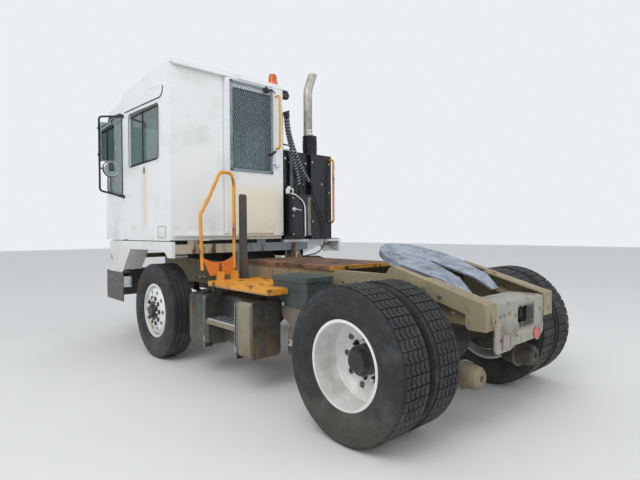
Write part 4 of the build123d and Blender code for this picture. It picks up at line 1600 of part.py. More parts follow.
# Exhaust: a tall pipe with a turned-out top, and the black sleeve round its foot
PIPE_RADIUS = 57.0
PIPE_WALL = 4.0
PIPE_X = CAB_REAR_X + 70.0
PIPE_Y = -700.0
PIPE_TOP = 3465.0
PIPE_BEND_DROP = 235.0
PIPE_BORE_DEPTH = 465.0
with BuildPart() as exhaust_stack:
    with BuildLine() as pipe_path:
        FilletPolyline((PIPE_X, PIPE_Y, STACK_TOP), (PIPE_X, PIPE_Y, PIPE_TOP - PIPE_BEND_DROP),
                       (PIPE_X, PIPE_Y - 125, PIPE_TOP + 95), radius=320)
    with BuildSketch(Plane(origin=pipe_path.line @ 0, z_dir=pipe_path.line % 0)):
        Circle(PIPE_RADIUS)
    sweep()
    with BuildLine() as bore_path:
        FilletPolyline((PIPE_X, PIPE_Y, PIPE_TOP - PIPE_BORE_DEPTH),
                       (PIPE_X, PIPE_Y, PIPE_TOP - PIPE_BEND_DROP),
                       (PIPE_X, PIPE_Y - 125, PIPE_TOP + 95), radius=320)
    with BuildSketch(Plane(origin=bore_path.line @ 0, z_dir=bore_path.line % 0)):
        Circle(PIPE_RADIUS - PIPE_WALL)
    sweep(mode=Mode.SUBTRACT)
    with BuildSketch(side_plane(PIPE_Y + 300)):
        with BuildLine():
            Polyline((PIPE_X - 200, PIPE_TOP), (PIPE_X + 200, PIPE_TOP), (PIPE_X + 200, PIPE_TOP + 300),
                     (PIPE_X - 200, PIPE_TOP + 300), close=True)
        make_face()
    extrude(amount=600, mode=Mode.SUBTRACT)
    with BuildSketch(Plane.XY.offset(STACK_TOP)):
        with Locations((PIPE_X, PIPE_Y - 30)):
            Circle(92)
    extrude(amount=250)
save(exhaust_stack, "exhaust_stack")

# Yellow handrail on the enclosure's right
RAIL_Y = COWL_RIGHT_Y + 24.0
with BuildPart() as handrail_right:
    with BuildLine() as handrail_path:
        FilletPolyline((STACK_REAR_X - SEAT_GAP, RAIL_Y, 2340.0), (STACK_REAR_X - 70, RAIL_Y, 2340.0),
                       (STACK_REAR_X - 70, RAIL_Y, 1510.0), (STACK_REAR_X - SEAT_GAP, RAIL_Y, 1510.0), radius=40)
    with BuildSketch(Plane(origin=handrail_path.line @ 0, z_dir=handrail_path.line % 0)):
        Circle(15)
    sweep()
save(handrail_right, "handrail_right")

# Cab supports: the sill beam under the cab's rear and the front beam with the hinge brackets
SILL_X = CAB_REAR_X + 45.0
SILL_HALF = 45.0
SILL_LOW = 1160.0
with BuildPart() as cab_supports:
    skirt_inner = CAB_LEFT_Y - SKIRT_WALL
    with BuildSketch(Plane.XY.offset(SILL_LOW)):
        with Locations((SILL_X, (skirt_inner - SEAT_GAP - 620) / 2)):
            Rectangle(2 * SILL_HALF, skirt_inner - SEAT_GAP + 620)
    extrude(amount=SKIRT_TOP - SHELF_THICKNESS - SILL_LOW)
    for y in (980.0, 100.0):
        with BuildSketch(Plane.XY.offset(SKIRT_TOP - SHELF_THICKNESS - 1)):
            with Locations((SILL_X, y)):
                Rectangle(80, 120)
        extrude(amount=CAB_BOTTOM - SKIRT_TOP + SHELF_THICKNESS + 1)
    for y in (RAIL_OUTER_Y - 40, -RAIL_OUTER_Y + 40):
        with BuildSketch(Plane.XY.offset(RAIL_TOP)):
            with Locations((SILL_X, y)):
                Rectangle(80, 76)
        extrude(amount=SILL_LOW - RAIL_TOP + 1)
    with BuildSketch(Plane.XY.offset(RAIL_TOP)):
        with Locations((CAB_HINGE_X, (skirt_inner - SEAT_GAP - RAIL_OUTER_Y) / 2)):
            Rectangle(64, skirt_inner - SEAT_GAP + RAIL_OUTER_Y)
    extrude(amount=60)
    for y in CAB_HINGE_YS:
        for ear_y in (y + CAB_HINGE_EAR / 2 + 6 + 16, y - CAB_HINGE_EAR / 2 - 6):
            with BuildSketch(side_plane(ear_y)):
                with Locations((CAB_HINGE_X, CAB_HINGE_Z)):
                    Circle(32)
                with Locations((CAB_HINGE_X, (CAB_HINGE_Z + RAIL_TOP + 55) / 2)):
                    Rectangle(64, CAB_HINGE_Z - RAIL_TOP - 55)
                with Locations((CAB_HINGE_X, CAB_HINGE_Z)):
                    Circle(CAB_HINGE_RADIUS + RUNNING_FIT, mode=Mode.SUBTRACT)
            extrude(amount=16)
save(cab_supports, "cab_supports")

# Air lines: two wrapped hoses hang from the mast to the bulkhead and the valve box, and a thin line
# goes on from the bulkhead to the deck. Each route runs from its gland to where it goes in.
HOSE_RADIUS = 18.0
LINE_RADIUS = 8.0
AIR_LINES = (
    # node, radius, gland length at each end, route with x measured from the cab's rear wall
    ("air_line_left", HOSE_RADIUS, (60.0, 50.0),
     ((-95, -236, 2790), (-97, -243, 2680), (-100, -276, 2545), (-102, -330, 2405), (-103, -395, 2275),
      (-101, -462, 2165), (-97, -528, 2078), (-92, -588, 2020))),
    ("air_line_right", HOSE_RADIUS, (50.0, 98.0),
     ((-47, -236, 2800), (-48, -243, 2690), (-51, -270, 2560), (-55, -310, 2430), (-58, -352, 2300),
      (-60, -394, 2170), (-63, -426, 2065), (-68, -440, 1945))),
    ("air_line_deck", LINE_RADIUS, (28.0, 30.0),
     ((-90, -622, 1955), (-89, -640, 1870), (-87, -690, 1775), (-85, -752, 1670), (-83, -812, 1555),
      (-82, -852, 1430), (-85, -860, 1320), (-95, -826, 1222), (-115, -752, 1150), (-142, -655, 1113),
      (-169, -548, 1100), (-191, -440, 1090), (-207, -345, 1087))),
)


def from_cab_rear(route):
    """A route's points with x measured from the part's own origin."""
    return tuple((CAB_REAR_X + x, y, z) for x, y, z in route)


def bend_radii(route):
    """The largest arc that fits at each corner of a route."""
    radii = []
    for before, here, after in zip(route, route[1:], route[2:]):
        inward = Vector(*here) - Vector(*before)
        outward = Vector(*after) - Vector(*here)
        turn = radians(inward.get_angle(outward))
        radii.append(0.45 * min(inward.length, outward.length) / tan(turn / 2))
    return radii


AIR_LINES = tuple((name, line_radius, glands, from_cab_rear(route)) for name, line_radius, glands, route in AIR_LINES)
for name, line_radius, glands, route in AIR_LINES:
    radii = bend_radii(route)
    print(name, "smallest bend", round(min(radii)), "mm")
    with BuildPart() as air_line:
        with BuildLine() as line_path:
            FilletPolyline(*route, radius=radii)
        with BuildSketch(Plane(origin=line_path.line @ 0, z_dir=line_path.line % 0)):
            Circle(line_radius)
        sweep()
    line_length = sum(edge.length for edge in line_path.edges())
    print(name, "length", round(line_length), "volume share",
          round(air_line.part.volume / (pi * line_radius ** 2 * line_length), 4))
    save(air_line, name)

# The mast with its cross bar, the bulkhead bracket and every gland on the enclosure and the valve box
MAST_X = CAB_REAR_X + 22.0
MAST_Y = -236.0
MAST_TOP = 2852.0
MAST_RADIUS = 13.0
MAST_BAR_X = CAB_REAR_X - 115.0
BULKHEAD_X = CAB_REAR_X - 82.0
GLANDS = [(route[0], route[1], glands[0], line_radius + 5) for _, line_radius, glands, route in AIR_LINES]
GLANDS += [(route[-1], route[-2], glands[1], line_radius + 5) for _, line_radius, glands, route in AIR_LINES[:2]]
with stack_enclosure:
    with BuildLine() as mast_path:
        FilletPolyline((MAST_X, MAST_Y, STACK_TOP - 5), (MAST_X, MAST_Y, MAST_TOP), (MAST_BAR_X, MAST_Y, MAST_TOP), radius=30)
    with BuildSketch(Plane(origin=mast_path.line @ 0, z_dir=mast_path.line % 0)):
        Circle(MAST_RADIUS)
    sweep()
    with BuildSketch(Plane.XY.offset(1980)):
        with Locations((BULKHEAD_X, -622)):
            Rectangle(70, 66)
    extrude(amount=10)
    for end, inside, gland_length, gland_radius in GLANDS:
        with BuildSketch(Plane(origin=end, z_dir=(Vector(*end) - Vector(*inside)).normalized())):
            Circle(gland_radius)
        extrude(amount=gland_length)
save(stack_enclosure, "stack_enclosure")
deck_end, deck_inside = AIR_LINES[2][3][-1], AIR_LINES[2][3][-2]
with deck_plate:
    with BuildSketch(Plane(origin=deck_end, z_dir=(Vector(*deck_end) - Vector(*deck_inside)).normalized())):
        Circle(LINE_RADIUS + 5)
    extrude(amount=AIR_LINES[2][2][1])
    with BuildSketch(Plane.XY.offset(DECK_TOP - 1)):
        with Locations((deck_end[0] - 2, deck_end[1] + 34)):
            Rectangle(40, 34)
    extrude(amount=38)
save(deck_plate, "deck_plate")
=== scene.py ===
"""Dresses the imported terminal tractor: finishes, treads, fasteners, seals, lamps, seat, camera and light."""
import json
import logging
import math
from dataclasses import dataclass
from enum import Enum

import bmesh
import bpy
from mathutils import Matrix, Vector


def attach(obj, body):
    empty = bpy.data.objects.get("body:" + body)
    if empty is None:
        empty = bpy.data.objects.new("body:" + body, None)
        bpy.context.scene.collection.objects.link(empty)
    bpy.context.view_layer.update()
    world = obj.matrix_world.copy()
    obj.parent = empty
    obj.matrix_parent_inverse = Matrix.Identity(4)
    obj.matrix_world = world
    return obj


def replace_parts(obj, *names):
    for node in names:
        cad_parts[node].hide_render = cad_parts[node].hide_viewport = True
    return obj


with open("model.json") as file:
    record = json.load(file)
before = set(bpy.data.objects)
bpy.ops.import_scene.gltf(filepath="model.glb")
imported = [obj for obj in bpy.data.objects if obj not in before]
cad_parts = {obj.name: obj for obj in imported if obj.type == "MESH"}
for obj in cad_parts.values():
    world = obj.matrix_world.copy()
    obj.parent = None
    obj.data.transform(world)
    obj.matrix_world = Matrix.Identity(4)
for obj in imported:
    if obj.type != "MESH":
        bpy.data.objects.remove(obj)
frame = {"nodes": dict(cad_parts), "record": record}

logging.basicConfig(level=logging.INFO, format="%(message)s")
LOG = logging.getLogger("terminal_tractor")

Colour = tuple[float, float, float, float]
Point = tuple[float, float, float]
Pair = tuple[float, float]
Mesh = bmesh.types.BMesh
Socket = bpy.types.NodeSocket
Tree = bpy.types.NodeTree
AHEAD, BACK = Vector((1, 0, 0)), Vector((-1, 0, 0))
LEFT, UP = Vector((0, 1, 0)), Vector((0, 0, 1))
REAR_AXLE_X = -1.963
FRONT_AXLE_X = 0.983
AXLE_Z = 0.52
CAB_REAR_X = 0.487
CAB_LEFT_Y = 1.225
CAB_RIGHT_Y = -0.2
SINK = 0.001


def from_hex(code: str) -> Colour:
    """Turn a written colour such as 8F8468 into linear light values.

    Args:
        code: six hexadecimal digits.

    Returns:
        Red, green and blue from 0 to 1, and full opacity.
    """
    values = [int(code[i:i + 2], 16) / 255 for i in (0, 2, 4)]
    return *(v / 12.92 if v <= 0.04045 else ((v + 0.055) / 1.055) ** 2.4 for v in values), 1.0


class Side(Enum):
    """The two sides of the vehicle, as the sign of y."""
    LEFT = 1
    RIGHT = -1

    @property
    def word(self) -> str:
        """The side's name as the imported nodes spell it."""
        return self.name.lower()

    @property
    def out(self) -> Vector:
        """The direction away from the middle of the tractor."""
        return Vector((0, self.value, 0))

    @property
    def wall_y(self) -> float:
        """Where the cab's wall on this side has its outer face."""
        return CAB_LEFT_Y if self is Side.LEFT else CAB_RIGHT_Y


class NodeSheet:
    """Adds and joins shader nodes in one node tree."""

    def __init__(self, tree: Tree) -> None:
        """Keep the tree that the nodes go into."""
        self.tree = tree

    def add(self, kind: str, inputs: dict | None = None, **settings) -> bpy.types.Node:
        """Add one node.

        Args:
            kind: the node's Blender type name.
            inputs: plain values or sockets by input name or index.
            **settings: properties to set on the node.

        Returns:
            The new node.
        """
        node = self.tree.nodes.new(kind)
        for key, value in settings.items():
            setattr(node, key, value)
        self.fill(node, inputs or {})
        return node

    def fill(self, node: bpy.types.Node, inputs: dict) -> None:
        """Give a node plain values or sockets by input name or index."""
        for key, value in inputs.items():
            self.feed(node.inputs[key], value)

    def feed(self, target: Socket, value) -> None:
        """Link a socket into an input, or write a plain value on it."""
        if isinstance(value, Socket):
            self.tree.links.new(value, target)
        else:
            target.default_value = value

    def maths(self, operation: str, first, second=0.0, third=None, clamp: bool = False) -> Socket:
        """Add one Math node and return its result."""
        given = {index: value for index, value in enumerate((first, second, third)) if value is not None}
        return self.add("ShaderNodeMath", given, operation=operation, use_clamp=clamp).outputs[0]

    def vectors(self, operation: str, first, second=(0, 0, 0), output: str = "Vector") -> Socket:
        """Add one Vector Math node and return its result."""
        return self.add("ShaderNodeVectorMath", {0: first, 1: second}, operation=operation).outputs[output]

    def noise(self, place: Socket, scale, detail: float, roughness: float = 0.5) -> Socket:
        """Add a Noise texture and return its value."""
        given = {"Vector": place, "Scale": scale, "Detail": detail, "Roughness": roughness}
        return self.add("ShaderNodeTexNoise", given).outputs[0]

    def spread(self, value, low, high, to_low=0.0, to_high=1.0) -> Socket:
        """Map a value from one range to another with soft ends."""
        given = dict(enumerate((value, low, high, to_low, to_high)))
        return self.add("ShaderNodeMapRange", given, interpolation_type="SMOOTHSTEP").outputs[0]

    def placed(self, tree: Tree, **inputs) -> Socket:
        """Place a node group with its own values.

        Args:
            tree: the group.
            **inputs: values or sockets by the group's input names.

        Returns:
            The group's output.
        """
        return self.add("ShaderNodeGroup", inputs, node_tree=tree).outputs[0]

    def mixed(self, factor, first, second) -> Socket:
        """Mix two colours and return the colour."""
        return self.add("ShaderNodeMix", {0: factor, 6: first, 7: second}, data_type="RGBA").outputs[2]


class Effects:
    """The shader node groups that the finishes share, each built once."""

    def __init__(self) -> None:
        """Build every group."""
        self.mottle = self._mottle()
        self.low_dirt = self._low_dirt()
        self.worn_edge = self._worn_edge()
        self.grain = self._grain()
        self.tread_plate = self._tread_plate()
        self.zone = self._zone()
        self.weave = self._weave()

    @staticmethod
    def _group(name: str, inputs: dict[str, float | Point], output: str) -> tuple:
        """Start a node group.

        Args:
            name: the group's name.
            inputs: default values by input name; a triple makes a vector input.
            output: name of the one value it puts out.

        Returns:
            The group, its sheet, its input node and its output node.
        """
        tree = bpy.data.node_groups.new(name, "ShaderNodeTree")
        for key, value in inputs.items():
            kind = "NodeSocketVector" if isinstance(value, tuple) else "NodeSocketFloat"
            socket = tree.interface.new_socket(key, in_out="INPUT", socket_type=kind)
            socket.default_value = value
        tree.interface.new_socket(output, in_out="OUTPUT", socket_type="NodeSocketFloat")
        sheet = NodeSheet(tree)
        return tree, sheet, sheet.add("NodeGroupInput").outputs, sheet.add("NodeGroupOutput").inputs

    def _mottle(self) -> Tree:
        """Soft blotches, drawn out into streaks by an uneven stretch."""
        tree, sheet, given, out = self._group(
            "mottle", {"Vector": (0, 0, 0), "Stretch": (1, 1, 1), "Scale": 4.0, "Low": 0.45, "High": 0.6},
            "Mask")
        scaled = sheet.vectors("MULTIPLY", given["Vector"], given["Stretch"])
        noise = sheet.noise(scaled, given["Scale"], 7.0, 0.62)
        sheet.feed(out["Mask"], sheet.spread(noise, given["Low"], given["High"]))
        return tree

    def _low_dirt(self) -> Tree:
        """Road dirt that thins out with height."""
        tree, sheet, given, out = self._group(
            "low_dirt", {"Vector": (0, 0, 0), "Top": 1.2, "Base": 0.0, "Scale": 6.0}, "Mask")
        height = sheet.add("ShaderNodeSeparateXYZ", {0: given["Vector"]}).outputs[2]
        low = sheet.spread(height, given["Top"], given["Base"])
        noise = sheet.noise(given["Vector"], given["Scale"], 8.0, 0.7)
        grip = sheet.maths("ADD", sheet.maths("MULTIPLY", low, 0.62), noise)
        sheet.feed(out["Mask"], sheet.spread(grip, 0.62, 1.05))
        return tree

    def _worn_edge(self) -> Tree:
        """Bare edges, found where a rounded normal leaves the face's own."""
        tree, sheet, given, out = self._group(
            "worn_edge", {"Vector": (0, 0, 0), "Radius": 0.006, "Scale": 30.0, "Amount": 0.5}, "Mask")
        rounded = sheet.add("ShaderNodeBevel", {"Radius": given["Radius"]}, samples=4).outputs[0]
        plain = sheet.add("ShaderNodeNewGeometry").outputs["Normal"]
        aligned = sheet.vectors("DOT_PRODUCT", rounded, plain, "Value")
        edge = sheet.maths("MULTIPLY", sheet.maths("SUBTRACT", 1.0, aligned), 6.0, clamp=True)
        noise = sheet.noise(given["Vector"], given["Scale"], 6.0, 0.7)
        chipped = sheet.maths("MULTIPLY", edge, sheet.spread(noise, 0.4, 0.56))
        sheet.feed(out["Mask"], sheet.maths("MULTIPLY", chipped, given["Amount"], clamp=True))
        return tree

    def _grain(self) -> Tree:
        """Fine grain over slow waviness, as a height."""
        tree, sheet, given, out = self._group(
            "grain", {"Vector": (0, 0, 0), "Fine": 260.0, "Coarse": 9.0, "Share": 0.3}, "Height")
        fine = sheet.noise(given["Vector"], given["Fine"], 3.0)
        coarse = sheet.noise(given["Vector"], given["Coarse"], 3.0)
        sheet.feed(out["Height"], sheet.maths("MULTIPLY_ADD", fine, given["Share"], coarse))
        return tree

    def _tread_plate(self) -> Tree:
        """Raised lugs of a tread plate that alternate between the two diagonals, as a height."""
        tree, sheet, given, out = self._group("tread_plate", {"Vector": (0, 0, 0), "Pitch": 0.034}, "Height")
        parts = sheet.add("ShaderNodeSeparateXYZ", {0: given["Vector"]}).outputs
        cells, rests = [], []
        for axis in (0, 1):
            along = sheet.maths("DIVIDE", parts[axis], given["Pitch"])
            cells.append(sheet.maths("FLOOR", along))
            rests.append(sheet.maths("SUBTRACT", sheet.maths("FRACT", along), 0.5))
        turn = sheet.maths("FLOORED_MODULO", sheet.maths("ADD", cells[0], cells[1]), 2.0)
        flip = sheet.maths("MULTIPLY_ADD", turn, -2.0, 1.0)
        across = sheet.maths("MULTIPLY", rests[1], flip)
        long_way = sheet.maths("ADD", rests[0], across)
        short_way = sheet.maths("SUBTRACT", rests[0], across)
        far = sheet.maths("ADD", sheet.maths("POWER", sheet.maths("MULTIPLY", long_way, 1.25), 2.0),
                          sheet.maths("POWER", sheet.maths("MULTIPLY", short_way, 4.6), 2.0))
        sheet.feed(out["Height"], sheet.spread(far, 0.62, 0.2))
        return tree

    def _zone(self) -> Tree:
        """One inside a box of space and nothing outside it, to give part of a node its own colour."""
        tree, sheet, given, out = self._group(
            "zone", {"Vector": (0, 0, 0), "Centre": (0, 0, 0), "Half": (1, 1, 1), "Fade": 0.0005}, "Mask")
        apart = sheet.vectors("ABSOLUTE", sheet.vectors("SUBTRACT", given["Vector"], given["Centre"]))
        inside = sheet.vectors("SUBTRACT", given["Half"], apart)
        parts = sheet.add("ShaderNodeSeparateXYZ", {0: inside}).outputs
        least = sheet.maths("MINIMUM", sheet.maths("MINIMUM", parts[0], parts[1]), parts[2])
        sheet.feed(out["Mask"], sheet.spread(least, 0.0, given["Fade"]))
        return tree

    def _weave(self) -> Tree:
        """Crossing threads of a woven cloth, as a height."""
        tree, sheet, given, out = self._group("weave", {"Vector": (0, 0, 0), "Threads": 520.0}, "Height")
        waves = []
        for direction in ("X", "Y", "Z"):
            wave = sheet.add("ShaderNodeTexWave",
                             {"Vector": given["Vector"], "Scale": given["Threads"], "Distortion": 0.4},
                             bands_direction=direction)
            waves.append(wave.outputs["Fac"])
        sheet.feed(out["Height"],
                   sheet.maths("MAXIMUM", sheet.maths("MAXIMUM", waves[0], waves[1]), waves[2]))
        return tree


EFFECTS = Effects()


class Coating:
    """A new material with its node sheet, its shader and the place that its patterns follow."""

    def __init__(self, name: str) -> None:
        """Start a material of that name."""
        self.material = bpy.data.materials.new(name)
        self.material.use_nodes = True
        self.sheet = NodeSheet(self.material.node_tree)
        self.shader = self.material.node_tree.nodes["Principled BSDF"]
        self.place = self.sheet.add("ShaderNodeTexCoord").outputs["Object"]


@dataclass(frozen=True)
class Patch:
    """A box of space in which a node shows another colour."""
    low: Point
    high: Point
    colour: str
    fade: float = 0.0005


@dataclass(frozen=True)
class Finish:
    """A painted, bare, moulded or woven surface with its blotches, worn edges, dirt and grain."""
    name: str
    colour: str
    blotch: str = ""
    blotch_scale: float = 3.0
    blotch_range: Pair = (0.5, 0.7)
    blotch_stretch: Point = (1.0, 1.0, 1.0)
    rust: str = "6A4430"
    rust_range: Pair = (0.66, 0.74)
    rust_stretch: Point = (1.0, 1.0, 0.35)
    rust_scale: float = 7.0
    edge: str = "5A5048"
    edge_amount: float = 0.6
    edge_radius: float = 0.005
    dirt: str = "6F675B"
    dirt_top: float = 1.0
    dirt_base: float = -0.4
    dirt_amount: float = 0.75
    rough: Pair = (0.4, 0.6)
    metallic: float = 0.0
    coat: float = 0.0
    bump: float = 0.08
    grain_fine: float = 260.0
    grain_coarse: float = 9.0
    tread_pitch: float = 0.0
    woven: bool = False
    patches: tuple[Patch, ...] = ()

    def build(self) -> bpy.types.Material:
        """Make the Blender material.

        Returns:
            The material, ready to assign.
        """
        coating = Coating(self.name)
        sheet, place = coating.sheet, coating.place
        colour = self._base_colour(sheet, place)
        rust = sheet.placed(EFFECTS.mottle, Vector=place, Stretch=self.rust_stretch, Scale=self.rust_scale,
                            Low=self.rust_range[0], High=self.rust_range[1])
        colour = sheet.mixed(rust, colour, from_hex(self.rust))
        if self.edge_amount > 0:
            edge = sheet.placed(EFFECTS.worn_edge, Vector=place, Radius=self.edge_radius,
                                Amount=self.edge_amount)
            colour = sheet.mixed(edge, colour, from_hex(self.edge))
        dirt = sheet.placed(EFFECTS.low_dirt, Vector=place, Top=self.dirt_top, Base=self.dirt_base)
        dirt = sheet.maths("MULTIPLY", dirt, self.dirt_amount)
        colour = sheet.mixed(dirt, colour, from_hex(self.dirt))
        uneven = sheet.placed(EFFECTS.mottle, Vector=place, Scale=14.0, Low=0.3, High=0.7)
        uneven = sheet.maths("MAXIMUM", uneven, sheet.maths("MAXIMUM", rust, dirt))
        sheet.fill(
            coating.shader,
            {"Base Color": colour, "Roughness": sheet.spread(uneven, 0.0, 1.0, *self.rough),
             "Metallic": self.metallic, "Coat Weight": self.coat, "Coat Roughness": 0.12,
             "Normal": self._normal(sheet, place)})
        return coating.material

    def _base_colour(self, sheet: NodeSheet, place: Socket) -> Socket:
        """Colour before wear: the paint, its blotches and its patches."""
        stained = sheet.placed(EFFECTS.mottle, Vector=place, Stretch=self.blotch_stretch,
                               Scale=self.blotch_scale, Low=self.blotch_range[0], High=self.blotch_range[1])
        colour = sheet.mixed(stained, from_hex(self.colour), from_hex(self.blotch or self.colour))
        for patch in self.patches:
            low, high = Vector(patch.low), Vector(patch.high)
            mask = sheet.placed(EFFECTS.zone, Vector=place, Centre=tuple((low + high) / 2),
                                Half=tuple((high - low) / 2), Fade=patch.fade)
            colour = sheet.mixed(mask, colour, from_hex(patch.colour))
        return colour

    def _normal(self, sheet: NodeSheet, place: Socket) -> Socket:
        """Grain or a weave and, where asked, a tread plate's lugs, as a bent normal."""
        if self.woven:
            height = sheet.placed(EFFECTS.weave, Vector=place)
        else:
            height = sheet.placed(EFFECTS.grain, Vector=place, Fine=self.grain_fine, Coarse=self.grain_coarse)
        given = {"Strength": self.bump, "Distance": 0.004, "Height": height}
        normal = sheet.add("ShaderNodeBump", given).outputs["Normal"]
        if self.tread_pitch:
            lugs = sheet.placed(EFFECTS.tread_plate, Vector=place, Pitch=self.tread_pitch)
            given = {"Strength": 0.9, "Distance": 0.003, "Height": lugs, "Normal": normal}
            normal = sheet.add("ShaderNodeBump", given).outputs["Normal"]
        return normal


@dataclass(frozen=True)
class Moulded(Finish):
    """Plastic, rubber, chrome or a lens: hardly stained, and bare of worn edges."""
    rust_range: Pair = (0.85, 0.95)
    edge_amount: float = 0.0


@dataclass(frozen=True)
class Pane:
    """Clear or tinted glass, or a mirror's silvered face."""
    name: str
    colour: str
    rough: float = 0.03
    transmission: float = 1.0
    metallic: float = 0.0
    alpha: float = 1.0

    def build(self) -> bpy.types.Material:
        """Make the Blender material, smeared with a little dust."""
        coating = Coating(self.name)
        sheet = coating.sheet
        smear = sheet.placed(EFFECTS.mottle, Vector=coating.place, Scale=5.0, Low=0.35, High=0.8)
        clean = from_hex(self.colour)
        dusty = (*(value * 0.8 for value in clean[:3]), 1.0)
        sheet.fill(
            coating.shader,
            {"Base Color": sheet.mixed(smear, clean, dusty), "Metallic": self.metallic,
             "Roughness": sheet.spread(smear, 0.0, 1.0, self.rough, self.rough + 0.09),
             "Transmission Weight": self.transmission, "IOR": 1.45, "Alpha": self.alpha})
        return coating.material


